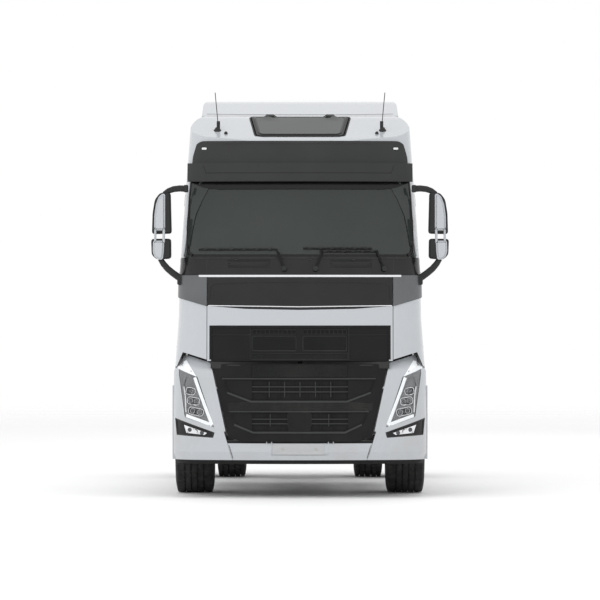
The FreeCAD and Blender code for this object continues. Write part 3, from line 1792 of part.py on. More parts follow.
def front_springs():
    """The leaf springs between the front axle and the rails."""
    z = wheel_height - axle_drop + axle_half_height + seat_gap
    under = [
        (-leaf_reach, rail_low - seat_gap),
        (-leaf_reach, rail_low - leaf_end_drop),
        (-leaf_clamp_end, z + leaf_thickness * leaf_foot_share),
        (-leaf_clamp_half, z),
    ]
    over = [
        (-leaf_clamp_end, z + leaf_thickness * leaf_top_share),
        (-leaf_reach + leaf_eye_reach, rail_low - leaf_eye_drop),
        (-leaf_reach + leaf_tip, rail_low - seat_gap),
    ]
    lead = under + [(-y, z) for y, z in reversed(under)] + [(-y, z) for y, z in reversed(over)] + over
    outline = [(front_axle_y + y, z) for y, z in lead]
    return both(prism("x", outline, leaf_x - leaf_half, leaf_x + leaf_half))


bellow_radius = 80.0
bellow_lead = 400.0
bellow_seat = 5.0
carrier_end = 90.0
carrier_depth = 60.0


def rear_springs():
    """The air springs ahead of and behind the driven axle, on their carrier beams."""
    made = []
    z = rear_tyre_radius - axle_tube_radius
    reach = bellow_lead + carrier_end
    for side in (1, -1):
        x = side * leaf_x
        beam = block(
            x - leaf_half, x + leaf_half, rear_axle_y - reach, rear_axle_y + reach, z - carrier_depth, z - seat_gap
        )
        bags = []
        for y in (rear_axle_y - bellow_lead, rear_axle_y + bellow_lead):
            bags.append(rod(V(x, y, z - bellow_seat), V(x, y, rail_low - seat_gap), bellow_radius))
        made.append(joined(beam, *bags))
    return made


# Wheels
tread_share = 0.4
tread_edge_share = 0.8
tread_edge_drop = 4.0
shoulder_share = 0.9
shoulder_drop = 18.0
flank_share = 0.97
flank_drop = 62.0
bulge_rise = 115.0
bead_rise = 50.0
bead_share = 0.82
barrel_share = 0.8
disc_thickness = 14.0
disc_bore = 90.0
disc_flat = 170.0
disc_dish = 55.0
front_face = 128.0
front_hub_reach = 34.0
front_hub_in = 60.0
bore_end = 2.0
bore_margin = 20.0
rear_hub_in = 40.0
rear_hub_reach = 95.0
rear_disc_out = 30.0
rear_disc_in = 10.0
rear_hub_disc = 172.0
hub_radius = 112.0
hand_holes = 10
hand_hole_radius = 26.0
hand_hole_circle = 205.0


def tyre(centre_x, y, radius, width):
    """A tyre as a closed ring with round shoulders and bulging walls."""
    half = width / 2
    wall = [
        (half * bead_share, rim_radius),
        (half * flank_share, rim_radius + bead_rise),
        (half, rim_radius + bulge_rise),
        (half * flank_share, radius - flank_drop),
        (half * shoulder_share, radius - shoulder_drop),
        (half * tread_edge_share, radius - tread_edge_drop),
        (half * tread_share, radius),
    ]
    profile = [(centre_x + x, r) for x, r in wall] + [(centre_x - x, r) for x, r in reversed(wall)]
    return turned(profile, y, radius)


def barrel(centre_x, y, z, half):
    """A rim's barrel, seated in the tyre."""
    outer = rim_radius - seat_gap
    profile = [
        (centre_x - half, outer - rim_wall),
        (centre_x + half, outer - rim_wall),
        (centre_x + half, outer),
        (centre_x - half, outer),
    ]
    return turned(profile, y, z)


def disc(x_near, x_far, y, z):
    """A wheel disc with hand holes, dished from the rim to the hub."""
    outer = rim_radius - rim_wall / 2
    profile = [
        (x_far - disc_thickness, disc_bore),
        (x_far, disc_bore),
        (x_far, disc_flat),
        (x_near, outer),
        (x_near - disc_thickness, outer),
        (x_far - disc_thickness, disc_flat),
    ]
    plate = turned(profile, y, z)
    holes = []
    low, high = min(x_near, x_far) - disc_bore, max(x_near, x_far) + disc_bore
    for i in range(hand_holes):
        angle = 2 * math.pi * i / hand_holes
        cy = y + hand_hole_circle * math.cos(angle)
        cz = z + hand_hole_circle * math.sin(angle)
        holes.append(rod(V(low, cy, cz), V(high, cy, cz), hand_hole_radius))
    return plate.cut(holes)


def front_rim():
    """The right hand front rim, disc and hub, bored for the spindle."""
    y, z = front_axle_y, wheel_height
    face = front_wheel_x + front_face
    hub_in = front_wheel_x - front_hub_in
    hub = rod(V(hub_in, y, z), V(face + front_hub_reach, y, z), hub_radius)
    bore = rod(V(hub_in - bore_margin, y, z), V(spindle_end + bore_end, y, z), spindle_radius + running_room)
    shape = joined(
        barrel(front_wheel_x, y, z, front_tyre_width / 2 * barrel_share),
        disc(face - disc_dish, face, y, z),
        hub,
    )
    return shape.cut(bore)


def rear_rim():
    """The right hand rear rims, disc and hub, bored for the spindle."""
    y, z = rear_axle_y, rear_tyre_radius
    half = rear_tyre_width / 2 * barrel_share
    face = (twin_inner_x + twin_outer_x) / 2 + disc_thickness
    hub_in = twin_inner_x + rear_hub_in
    hub = rod(V(hub_in, y, z), V(twin_outer_x + rear_hub_reach, y, z), hub_radius)
    bore = rod(V(twin_inner_x, y, z), V(rear_spindle_end + bore_end, y, z), spindle_radius + running_room)
    plates = [
        disc(twin_outer_x - half + rear_disc_out, face, y, z),
        disc(twin_inner_x + half - rear_disc_in, face - disc_thickness * 2, y, z),
    ]
    hub_disc = rod(V(face - disc_thickness * 3, y, z), V(face, y, z), rear_hub_disc)
    shape = joined(
        barrel(twin_inner_x, y, z, half), barrel(twin_outer_x, y, z, half), hub, hub_disc, *plates
    )
    return shape.cut(bore)


# Steps and guards
step_start = module_side_depth + seat_gap
step_end = 655.0
step_in = 900.0
step_top = 1092.0
tread_heights = (400.0, 690.0)
step_wall = 28.0
step_plate = 2.0
step_back = 90.0
guard_in = 870.0
guard_out = 1236.0
front_guard_foot = 436.0
front_guard_heel = 620.0
guard_bracket = 60.0
guard_lap = 1.0
rear_bracket_drop = 90.0
rear_hang_out = 17.0
rear_hang_in = 15.0
rear_guard_radius = 606.0
rear_guard_in = 545.0
rear_guard_foot = 560.0
rear_guard_heel = 470.0


def entry_steps():
    """The step well under a door, open to the side."""
    y_low, y_high = front + step_start, front + step_end
    whole = block(step_in, lower_half, y_low, y_high, bumper_bottom, step_top)
    pockets = []
    for low, high in zip(tread_heights, tread_heights[1:] + (step_top - step_plate,)):
        pockets.append(
            block(
                step_in + step_back, lower_half + step_plate, y_low + step_wall, y_high - step_wall,
                low + step_plate, high - step_wall,
            )
        )
    return both(whole.cut(pockets))


def arc_guard(y, z, radius, x_low, x_high, foot_front, foot_back):
    """A round mudguard over a wheel, down to a height in front and behind."""
    ring = rod(V(x_low, y, z), V(x_high, y, z), radius + guard_skin).cut(
        rod(V(x_low, y, z), V(x_high, y, z), radius)
    )
    span = radius * 2
    return ring.cut(
        [
            block(x_low - guard_skin, x_high + guard_skin, y - span, y, -span, foot_front),
            block(x_low - guard_skin, x_high + guard_skin, y, y + span, -span, foot_back),
        ]
    )


def front_guards():
    """The mudguards over the steered wheels, carried on brackets from the rails."""
    guard = arc_guard(
        front_axle_y, wheel_height, guard_radius, guard_in, guard_out, front_guard_foot, front_guard_heel
    )
    top = wheel_height + guard_radius + guard_skin
    y_low, y_high = front_axle_y - guard_bracket / 2, front_axle_y + guard_bracket / 2
    post = block(rail_half - guard_bracket, rail_half, y_low, y_high, frame_top + seat_gap, top + guard_bracket / 2)
    arm_out = guard_in + guard_bracket
    arm = block(rail_half - guard_bracket, arm_out, y_low, y_high, top - guard_lap, top + guard_bracket / 2)
    return both(joined(guard, post, arm))


def rear_guards():
    """The mudguards over the driven wheels."""
    guard = arc_guard(
        rear_axle_y, rear_tyre_radius, rear_guard_radius, rear_guard_in, lower_half, rear_guard_foot, rear_guard_heel
    )
    y_low, y_high = rear_axle_y - guard_bracket / 2, rear_axle_y + guard_bracket / 2
    low = frame_top - rear_bracket_drop
    hang_out = rear_guard_in + rear_hang_out
    bracket = block(rail_half + seat_gap, hang_out, y_low, y_high, low, low + guard_bracket)
    top = rear_tyre_radius + rear_guard_radius + guard_skin / 2
    hang = block(rear_guard_in - rear_hang_in, hang_out, y_low, y_high, low, top)
    return both(joined(guard, bracket, hang))


# Tanks, deck and coupling
tank_in = 520.0
tank_out = 1185.0
tank_low = 420.0
tank_high = 1010.0
tank_corner = 110.0
strap_width = 60.0
strap_skin = 8.0
strap_first = 120.0
strap_last = 180.0
tank_arm_lap = 30.0
tank_arm_drop = 60.0
deck_start = 2420.0
deck_end = 3500.0
deck_top = 1011.0


def tank(start, end, corner):
    """A box-shaped tank with round edges, on brackets from the rail."""
    def around(grow):
        """The tank's outline, grown by a skin."""
        return [
            (tank_in - grow, tank_low - grow),
            (tank_out + grow, tank_low - grow),
            (tank_out + grow, tank_high + grow),
            (tank_in - grow, tank_high + grow),
        ]

    pieces = [prism("y", around(0), front + start, front + end, corner)]
    for y in (front + start + strap_first, front + end - strap_last):
        pieces.append(
            block(
                rail_half + seat_gap, tank_in + tank_arm_lap, y, y + strap_width,
                rail_low + tank_arm_lap, frame_top - tank_arm_drop,
            )
        )
        pieces.append(prism("y", around(strap_skin), y, y + strap_width, corner + strap_skin))
    return joined(*pieces)


def deck_plate():
    """The walkway over the rails behind the cab."""
    return block(-rail_half, rail_half, front + deck_start, front + deck_end, frame_top + seat_gap, deck_top)


coupling_half = 330.0
cheek = 40.0
cradle_radius = 44.0
coupling_pin_radius = 24.0
coupling_lip = 45.0
base_margin = 15.0
base_half_length = 380.0
base_plate = 18.0
cheek_foot_half = 130.0
cheek_top_half = 50.0
cheek_rise = 30.0
cheek_lap = 8.0
cheek_lead_share = 1.5
pin_lead_share = 1.8
cheek_corner = 40.0
mouth_start = 20.0
mouth_neck = 150.0
mouth_neck_grow = 6.0
mouth_half = 205.0
mouth_end = 60.0
lug_top_drop = 10.0
lug_top_half = 60.0
lug_foot_half = 36.0
lug_corner = 30.0


def coupling_base():
    """The mounting plate and the two bearing cheeks for the coupling plate."""
    y, z = coupling_y, coupling_pivot_height
    half = rail_half + base_margin
    plate_top = frame_top + base_plate
    plate = block(-half, half, y - base_half_length, y + base_half_length, frame_top + seat_gap, plate_top)
    outline = [
        (y - cheek_foot_half, plate_top - cheek_lap),
        (y + cheek_foot_half, plate_top - cheek_lap),
        (y + cheek_top_half, z + cheek_rise),
        (y - cheek_top_half, z + cheek_rise),
    ]
    pieces = [plate]
    for side in (1, -1):
        for lead in (-cheek * cheek_lead_share, cheek * cheek_lead_share):
            x = side * (coupling_half + lead)
            pieces.append(prism("x", outline, x - cheek / 2, x + cheek / 2, [0, 0, cheek_corner, cheek_corner]))
        low = side * (coupling_half - cheek * pin_lead_share)
        high = side * (coupling_half + cheek * pin_lead_share)
        pieces.append(rod(V(low, y, z), V(high, y, z), coupling_pin_radius))
    return joined(*pieces)


def coupling_plate():
    """The top plate with its slot for a trailer's pin, rocking on two lugs."""
    y, z = coupling_y, coupling_pivot_height
    deep = coupling_lip * 3
    disc_part = Part.makeCylinder(coupling_plate_radius, coupling_lip, V(0, y, coupling_plate_top - coupling_lip))
    right = [
        (kingpin_slot_radius, y + mouth_start),
        (kingpin_slot_radius + mouth_neck_grow, y + mouth_neck),
        (mouth_half, y + coupling_plate_radius + mouth_end),
    ]
    left = [(-x, along) for x, along in reversed(right)]
    mouth = prism("z", right + left, coupling_plate_top - deep, coupling_plate_top + seat_gap)
    seat_bore = Part.makeCylinder(kingpin_slot_radius, deep + coupling_lip, V(0, y, coupling_plate_top - deep))
    outline = [
        (y - lug_top_half, coupling_plate_top - lug_top_drop),
        (y + lug_top_half, coupling_plate_top - lug_top_drop),
        (y + lug_foot_half, z - lug_foot_half),
        (y - lug_foot_half, z - lug_foot_half),
    ]
    pieces = [disc_part]
    bores = []
    half = cheek - seat_gap
    for x in (coupling_half, -coupling_half):
        pieces.append(prism("x", outline, x - half, x + half, [0, 0, lug_corner, lug_corner]))
        low, high = V(x - cheek - seat_gap, y, z), V(x + cheek + seat_gap, y, z)
        bores.append(rod(low, high, coupling_pin_radius + running_room))
    return joined(*pieces).cut([mouth, seat_bore] + bores)


# Rear beam and lamps
rear_beam_half = 1180.0
rear_beam_low = 520.0
rear_beam_high = 640.0
hanger_in = 300.0
hanger_out = 380.0
hanger_low = 600.0
hanger_drop = 20.0
rear_lamp_in = 820.0
rear_lamp_out = 1150.0
rear_lamp_top = 770.0
rear_lamp_lead = 30.0
rear_lamp_inset = 4.0
rear_lamp_corner = 20.0


def rear_beam():
    """The rear under-run beam on two hangers, carrying the rear lamps."""
    y = rear - tail_length
    beam = block(-rear_beam_half, rear_beam_half, y, rear, rear_beam_low, rear_beam_high)
    hanger = block(hanger_in, hanger_out, y, rear, hanger_low, frame_top - hanger_drop)
    return joined(beam, hanger, mirrored(hanger))


def rear_lamps():
    """The two rear lamp boxes, standing on the beam."""
    low = rear_beam_high + seat_gap
    outline = [
        (rear_lamp_in, low), (rear_lamp_out, low), (rear_lamp_out, rear_lamp_top), (rear_lamp_in, rear_lamp_top)
    ]
    y = rear - tail_length - rear_lamp_lead
    return both(prism("y", outline, y, rear - rear_lamp_inset, rear_lamp_corner))


save("cab_shell", cab_shell())
save("windscreen", screen_glass())
door, pane = door_parts()
save("door_left", door)
save("door_right", mirrored(door))
save("door_glass_left", pane)
save("door_glass_right", mirrored(pane))
lid_panel, lid_band, upper_grille = lid_parts()
save("lid_panel", lid_panel)
save("lid_band", lid_band)
save("upper_grille", upper_grille)
save("cowl", cowl_band())
save("trim_strip", trim_strip())
save("corner_vanes", *corner_vanes())
save("sun_visor", sun_visor())
save("roof_hatch", roof_hatch())
save("roof_fairing", roof_fairing())
save("side_fairings", *side_fairings())
save("aerials", *aerials())
save("wipers", *wipers())
mirror_stack = mirror_pair()
save("mirrors", mirror_stack, mirrored(mirror_stack))
save("dashboard", dashboard())
save("steering_wheel", steering_wheel())
save("seats", seat(driver_x), seat(-driver_x))
save("bunk", bunk())
save("corner_panels", *corner_panels())
save("front_lamps", *lamps())
save("lower_grille", lower_grille())
save("bumper", bumper())
save("bumper_lip", bumper_lip())
save("frame", frame())
save("engine", engine())
save("radiator", radiator())
save("front_axle", front_axle())
save("knuckle_left", knuckle(1))
save("knuckle_right", knuckle(-1))
save("tie_rod", tie_rod())
save("rear_axle", rear_axle())
save("front_springs", *front_springs())
save("rear_springs", *rear_springs())
front_tyre = tyre(front_wheel_x, front_axle_y, front_tyre_radius, front_tyre_width)
save("front_tyre_left", front_tyre)
save("front_tyre_right", mirrored(front_tyre))
steer_rim = front_rim()
save("front_rim_left", steer_rim)
save("front_rim_right", mirrored(steer_rim))
twins = [tyre(x, rear_axle_y, rear_tyre_radius, rear_tyre_width) for x in (twin_inner_x, twin_outer_x)]
save("rear_tyres_left", *twins)
save("rear_tyres_right", *[mirrored(t) for t in twins])
drive_rim = rear_rim()
save("rear_rims_left", drive_rim)
save("rear_rims_right", mirrored(drive_rim))
save("entry_steps", *entry_steps())
save("front_guards", *front_guards())
save("rear_guards", *rear_guards())
save("fuel_tanks", tank(2330, 3700, tank_corner), mirrored(tank(2330, 3250, tank_corner)))
save("service_box", mirrored(tank(3330, 3700, tank_corner / 4)))
save("deck_plate", deck_plate())
save("coupling_base", coupling_base())
save("coupling_plate", coupling_plate())
save("rear_beam", rear_beam())
save("rear_lamps", *rear_lamps())
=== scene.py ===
"""Semi truck tractor unit: finishes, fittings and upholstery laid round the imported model.

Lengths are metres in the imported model's own frame: +X is the driver's side, +Y the rear, +Z up.
"""

import math

import bmesh
import bpy
import numpy
from bpy.props import FloatProperty, FloatVectorProperty, IntProperty, PointerProperty
from mathutils import Matrix, Vector
from mathutils.bvhtree import BVHTree


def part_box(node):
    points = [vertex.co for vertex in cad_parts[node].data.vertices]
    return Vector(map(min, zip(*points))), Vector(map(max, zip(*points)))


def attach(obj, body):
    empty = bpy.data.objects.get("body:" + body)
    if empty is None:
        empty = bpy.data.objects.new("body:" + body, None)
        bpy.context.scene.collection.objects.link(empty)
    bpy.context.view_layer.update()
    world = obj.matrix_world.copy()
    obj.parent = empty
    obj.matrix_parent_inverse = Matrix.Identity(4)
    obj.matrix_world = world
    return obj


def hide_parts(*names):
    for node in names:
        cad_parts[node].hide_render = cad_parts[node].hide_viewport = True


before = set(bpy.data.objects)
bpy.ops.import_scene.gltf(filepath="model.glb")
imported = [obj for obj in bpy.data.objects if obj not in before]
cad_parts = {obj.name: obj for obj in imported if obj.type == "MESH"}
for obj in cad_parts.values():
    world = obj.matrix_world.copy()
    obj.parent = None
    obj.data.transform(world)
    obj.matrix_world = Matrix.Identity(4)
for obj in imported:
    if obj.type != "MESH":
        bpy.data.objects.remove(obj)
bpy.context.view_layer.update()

bl_info = {
    "name": "Tractor unit dressing",
    "version": (1, 0, 0),
    "blender": (4, 5, 0),
    "location": "3D View > Sidebar > Tractor unit",
    "description": "Finishes, fittings and upholstery for a semi truck tractor unit",
    "category": "Object",
}

UP = Vector((0, 0, 1))
ACROSS = Vector((1, 0, 0))
ALONG = Vector((0, 1, 0))
CAB_MIDDLE = (0.0, -1.9, 2.45)
PALE_DUST = (0.33, 0.30, 0.26)
CHARCOAL = (0.016, 0.0165, 0.017)
SCREEN_TINT = (0.022, 0.028, 0.026)


# Shader maths and finishes


class Amount:
    """A number that varies over a surface, ready for ordinary arithmetic."""

    def __init__(self, finish, socket):
        self.finish = finish
        self.socket = socket

    def combined(self, operation, first, second):
        """The Math node for two values."""
        node = self.finish.add("ShaderNodeMath", {"operation": operation}, {0: first, 1: second})
        return Amount(self.finish, node.outputs[0])

    def __add__(self, other):
        return self.combined("ADD", self, other)

    def __radd__(self, other):
        return self.combined("ADD", other, self)

    def __sub__(self, other):
        return self.combined("SUBTRACT", self, other)

    def __rsub__(self, other):
        return self.combined("SUBTRACT", other, self)

    def __mul__(self, other):
        return self.combined("MULTIPLY", self, other)

    def __rmul__(self, other):
        return self.combined("MULTIPLY", other, self)

    def __pow__(self, other):
        return self.combined("POWER", self, other)

    def __gt__(self, other):
        return self.combined("GREATER_THAN", self, other)

    def __mod__(self, other):
        return self.combined("FLOORED_MODULO", self, other)

    def __abs__(self):
        return self.combined("ABSOLUTE", self, 0.0)

    def least(self, other):
        """The smaller of two values."""
        return self.combined("MINIMUM", self, other)

    def most(self, other):
        """The larger of two values."""
        return self.combined("MAXIMUM", self, other)

    def between(self, low, high):
        """Rises smoothly from 0 at low to 1 at high."""
        node = self.finish.add(
            "ShaderNodeMapRange",
            {"interpolation_type": "SMOOTHSTEP"},
            {"Value": self, "From Min": low, "From Max": high},
        )
        return Amount(self.finish, node.outputs[0])


def opaque(colour):
    """A plain colour with its fourth value; a link stays as it is."""
    return (*colour, 1.0) if isinstance(colour, tuple) and len(colour) == 3 else colour


def scaled(colour, share, more=0.0):
    """A colour made darker or lighter."""
    return tuple(min(c * share + more, 1.0) for c in colour)


class Finish:
    """One material, built from nodes."""

    def __init__(self, name):
        self.material = bpy.data.materials.new(name)
        self.material.use_nodes = True
        self.tree = self.material.node_tree
        self.tree.nodes.clear()
        self.places = None

    def add(self, kind, settings=None, inputs=None):
        """Adds a node: its settings are made first, then its sockets take values or links."""
        node = self.tree.nodes.new(kind)
        for key, value in (settings or {}).items():
            setattr(node, key, value)
        for key, value in (inputs or {}).items():
            link = value.socket if isinstance(value, Amount) else value
            if isinstance(link, bpy.types.NodeSocket):
                self.tree.links.new(link, node.inputs[key])
            else:
                node.inputs[key].default_value = link
        return node

    def place(self):
        """The surface's own coordinates, which travel with the piece."""
        if self.places is None:
            self.places = self.add("ShaderNodeTexCoord")
        return self.places.outputs["Object"]

    def axes(self):
        """The three coordinates as amounts."""
        parts = self.add("ShaderNodeSeparateXYZ", inputs={0: self.place()})
        return [Amount(self, parts.outputs[i]) for i in range(3)]

    def stretched(self, scale):
        """The coordinates stretched by a scale along each axis."""
        return self.add("ShaderNodeMapping", inputs={"Vector": self.place(), "Scale": scale}).outputs[0]

    def grain(self, scale, detail=3.0, roughness=0.5, stretch=None):
        """Cloudy noise from 0 to 1."""
        inputs = {"Scale": scale, "Detail": detail, "Roughness": roughness}
        inputs["Vector"] = self.stretched(stretch) if stretch else self.place()
        return Amount(self, self.add("ShaderNodeTexNoise", inputs=inputs).outputs[0])

    def cells(self, scale, feature="F1", randomness=1.0):
        """Distances within a pattern of cells."""
        inputs = {"Vector": self.place(), "Scale": scale, "Randomness": randomness}
        return Amount(self, self.add("ShaderNodeTexVoronoi", {"feature": feature}, inputs).outputs[0])

    def waves(self, scale, axis, shape="SIN"):
        """Even bands along one axis."""
        settings = {"bands_direction": axis, "wave_profile": shape}
        node = self.add("ShaderNodeTexWave", settings, {"Vector": self.place(), "Scale": scale})
        return Amount(self, node.outputs[1])

    def mixed(self, amount, first, second):
        """A colour between two colours."""
        inputs = {0: amount, 6: opaque(first), 7: opaque(second)}
        return self.add("ShaderNodeMix", {"data_type": "RGBA"}, inputs).outputs[2]

    def relief(self, height, strength, depth=0.001):
        """A surface normal raised by a height."""
        inputs = {"Height": height, "Strength": strength, "Distance": depth}
        return self.add("ShaderNodeBump", inputs=inputs).outputs[0]

    def rim(self, blend):
        """Rises towards the edge of a curved pane, as glass does."""
        return Amount(self, self.add("ShaderNodeLayerWeight", inputs={"Blend": blend}).outputs["Facing"])

    def inside(self):
        """1 on faces that look in towards the middle of the cab, 0 on the outside."""
        self.place()
        away = self.add("ShaderNodeVectorMath", {"operation": "SUBTRACT"}, {0: self.place(), 1: CAB_MIDDLE})
        facing = self.add(
            "ShaderNodeVectorMath",
            {"operation": "DOT_PRODUCT"},
            {0: away.outputs[0], 1: self.places.outputs["Normal"]},
        )
        return 1.0 - (Amount(self, facing.outputs["Value"]) > 0.0)

    def done(self, colour, rough, **sockets):
        """Ends the tree in a Principled shader and returns the material."""
        inputs = {"Base Color": opaque(colour), "Roughness": rough}
        inputs.update({key.replace("_", " "): value for key, value in sockets.items()})
        shader = self.add("ShaderNodeBsdfPrincipled", inputs=inputs)
        self.add("ShaderNodeOutputMaterial", inputs={"Surface": shader.outputs[0]})
        return self.material


finishes = {}


def finish(name):
    """A finish by name, made the first time that it is asked for."""
    if name not in finishes:
        finishes[name] = FINISH_MAKERS[name](Finish(name))
    return finishes[name]


def options():
    """The user's sizes and colours."""
    return bpy.context.scene.tractor_unit


def colour_of(name):
    """One of the user's colours as a plain tuple."""
    return tuple(getattr(options(), name))


def road_dust(f, strength=1.0):
    """How dusty the surface is: more towards the road."""
    height = f.axes()[2]
    low = 1.0 - height.between(0.25, 1.9)
    return low * f.grain(2.6, 5.0, 0.62).between(0.38, 0.8) * strength


def body_paint(f):
    """Light silver white with fine flake, a little waviness, road dust low down and a grey lining."""
    colour = colour_of("body_colour")
    flake = f.grain(1400.0, 1.0)
    shade = f.mixed(f.grain(1.7, 4.0), scaled(colour, 0.97), scaled(colour, 1.03))
    shade = f.mixed(flake * 0.10, shade, scaled(colour, 1.25, 0.02))
    dirt = road_dust(f, 0.3)
    shade = f.mixed(dirt, shade, PALE_DUST)
    lining = f.inside()
    shade = f.mixed(lining, shade, f.mixed(f.grain(420.0), (0.085, 0.086, 0.088), (0.12, 0.12, 0.122)))
    return f.done(shade, 0.24 + dirt * 0.4 + flake * 0.06 + lining * 0.45,
                  Coat_Weight=(1.0 - dirt) * (1.0 - lining), Coat_Roughness=0.045,
                  Normal=f.relief(f.grain(34.0, 2.0), 0.035, 0.002))


def step_paint(f):
    """Body paint on the steps' outer face, charcoal inside their wells."""
    x, y, z = f.axes()
    low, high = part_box("entry_steps")
    skin, lip = 0.012, 0.03
    well = (high[0] - skin - abs(x)).between(-0.001, 0.001) * (y - low[1] - lip).between(-0.001, 0.001)
    dirt = road_dust(f, 0.3)
    shade = f.mixed(well, colour_of("body_colour"), CHARCOAL)
    shade = f.mixed(dirt, shade, PALE_DUST)
    return f.done(shade, 0.26 + well * 0.2 + dirt * 0.4, Coat_Weight=(1.0 - well) * (1.0 - dirt),
                  Coat_Roughness=0.05, Normal=f.relief(f.grain(700.0, 2.0) * well, 0.2, 0.0006))


def moulded(f, colour, rough, scale, height, dust, gloss=0.3):
    """Moulded plastic with a leather-like grain."""
    grain = f.cells(scale, "SMOOTH_F1") + f.grain(scale * 2.4, 2.0) * 0.5
    cloud = f.grain(3.1, 4.0)
    dirt = road_dust(f, dust)
    shade = f.mixed(cloud, scaled(colour, 0.8), scaled(colour, 1.25, 0.002))
    shade = f.mixed(dirt, shade, (0.24, 0.22, 0.19))
    return f.done(shade, rough + cloud * 0.1 - 0.05 + dirt * 0.25, Normal=f.relief(grain, height, 0.0006),
                  Specular_IOR_Level=gloss)


def dark_trim(f):
    """Charcoal moulded trim on the cowl and the panels round it."""
    return moulded(f, CHARCOAL, rough=0.42, scale=700.0, height=0.2, dust=0.2)


def grille_plastic(f):
    """Coarse-grained black plastic of the grilles."""
    return moulded(f, (0.010, 0.010, 0.0105), rough=0.55, scale=260.0, height=0.5, dust=0.03, gloss=0.14)


def visor_plastic(f):
    """Smooth dark plastic of the sun visor and the sign panel."""
    return moulded(f, (0.019, 0.020, 0.020), rough=0.3, scale=900.0, height=0.08, dust=0.1, gloss=0.35)


def vane_grey(f):
    """Satin grey of the corner vanes."""
    return moulded(f, (0.098, 0.103, 0.108), rough=0.36, scale=900.0, height=0.08, dust=0.1, gloss=0.4)


def gloss_black(f):
    """High-gloss black panel."""
    cloud = f.grain(5.0, 3.0)
    dirt = road_dust(f, 0.25)
    shade = f.mixed(dirt, f.mixed(cloud, (0.008, 0.008, 0.009), (0.014, 0.014, 0.015)), (0.2, 0.18, 0.16))
    return f.done(shade, 0.16 + cloud * 0.08 + dirt * 0.4, Specular_IOR_Level=0.35,
                  Normal=f.relief(f.grain(60.0, 2.0), 0.03, 0.001))


def lid_panel_finish(f):
    """Satin black of the panel under the windscreen."""
    return moulded(f, (0.014, 0.014, 0.015), rough=0.38, scale=1100.0, height=0.06, dust=0.05, gloss=0.28)


def painted_edge_highlight(f):
    """Lighter charcoal on the grille's raised edges: a painted highlight where their faces catch the light.
    """
    return moulded(f, (0.030, 0.031, 0.032), rough=0.45, scale=500.0, height=0.3, dust=0.05)


def chassis_paint(f):
    """Dark grey frame paint, dusty and a little chipped."""
    chips = f.grain(38.0, 6.0, 0.75).between(0.66, 0.72)
    cloud = f.grain(2.2, 5.0)
    dirt = road_dust(f, 0.9)
    shade = f.mixed(cloud, (0.022, 0.023, 0.025), (0.042, 0.043, 0.046))
    shade = f.mixed(dirt, shade, (0.17, 0.145, 0.115))
    shade = f.mixed(chips * 0.5, shade, (0.16, 0.10, 0.065))
    normal = f.relief(f.grain(90.0, 5.0) - chips * 0.5, 0.25, 0.001)
    return f.done(shade, 0.42 + dirt * 0.4 + chips * 0.2, Normal=normal, Metallic=chips * 0.3)


def cast_iron(f):
    """Sand-cast metal under grey paint, with rust in the hollows and oily dust."""
    pits = f.cells(210.0)
    rust = f.grain(9.0, 6.0, 0.7).between(0.5, 0.72)
    dirt = road_dust(f, 0.7)
    shade = f.mixed(pits, (0.05, 0.052, 0.055), (0.10, 0.10, 0.105))
    shade = f.mixed(rust * 0.55, shade, (0.16, 0.075, 0.035))
    shade = f.mixed(dirt, shade, (0.15, 0.13, 0.11))
    return f.done(shade, 0.52 + rust * 0.3, Metallic=0.55 - rust * 0.5, Normal=f.relief(pits, 0.5, 0.002))


def engine_finish(f):
    """Painted castings of the engine block, with parting lines and oil mist."""
    pits = f.cells(160.0)
    seams = f.waves(2.6, "Y", "SAW").between(0.94, 0.99)
    oil = f.grain(4.0, 5.0).between(0.5, 0.8)
    shade = f.mixed(oil, (0.14, 0.17, 0.15), (0.045, 0.045, 0.04))
    shade = f.mixed(seams, shade, (0.05, 0.05, 0.05))
    return f.done(shade, 0.5 - oil * 0.2, Metallic=0.35, Normal=f.relief(pits * 0.4 - seams, 0.5, 0.003))


def cooling_core(f):
    """Fine fins and tubes of the radiator."""
    fins = f.waves(34.0, "Z")
    tubes = f.waves(9.0, "X", "TRI")
    shade = f.mixed(fins, (0.02, 0.02, 0.022), (0.26, 0.27, 0.28))
    shade = f.mixed(tubes.between(0.8, 0.95), shade, (0.33, 0.33, 0.34))
    return f.done(shade, 0.45, Metallic=0.7, Normal=f.relief(fins + tubes, 0.6, 0.004))


def tyre_rubber(f):
    """Road-worn rubber with dust held in its grain."""
    grime = f.grain(14.0, 6.0, 0.65)
    fine = f.grain(240.0, 3.0)
    shade = f.mixed(grime.between(0.35, 0.75), (0.012, 0.012, 0.012), (0.035, 0.034, 0.033))
    shade = f.mixed(fine.between(0.62, 0.8) * 0.4, shade, (0.09, 0.085, 0.08))
    return f.done(shade, 0.72 + grime * 0.15, Normal=f.relief(fine + grime, 0.35, 0.0015),
                  Specular_IOR_Level=0.35)


def wheel_metal(f):
    """Machined light alloy with fine turning marks, brake dust and water spots."""
    turning = f.grain(300.0, 2.0, stretch=(6.0, 1.0, 1.0))
    dust = f.grain(5.0, 6.0, 0.7).between(0.42, 0.78)
    spots = f.cells(60.0).between(0.0, 0.16)
    shade = f.mixed(turning, (0.50, 0.51, 0.53), (0.66, 0.67, 0.69))
    shade = f.mixed(dust * 0.55, shade, (0.20, 0.175, 0.15))
    rough = 0.26 + dust * 0.3 + spots * 0.08
    return f.done(shade, rough, Metallic=0.9 - dust * 0.5, Normal=f.relief(turning, 0.12, 0.0006))


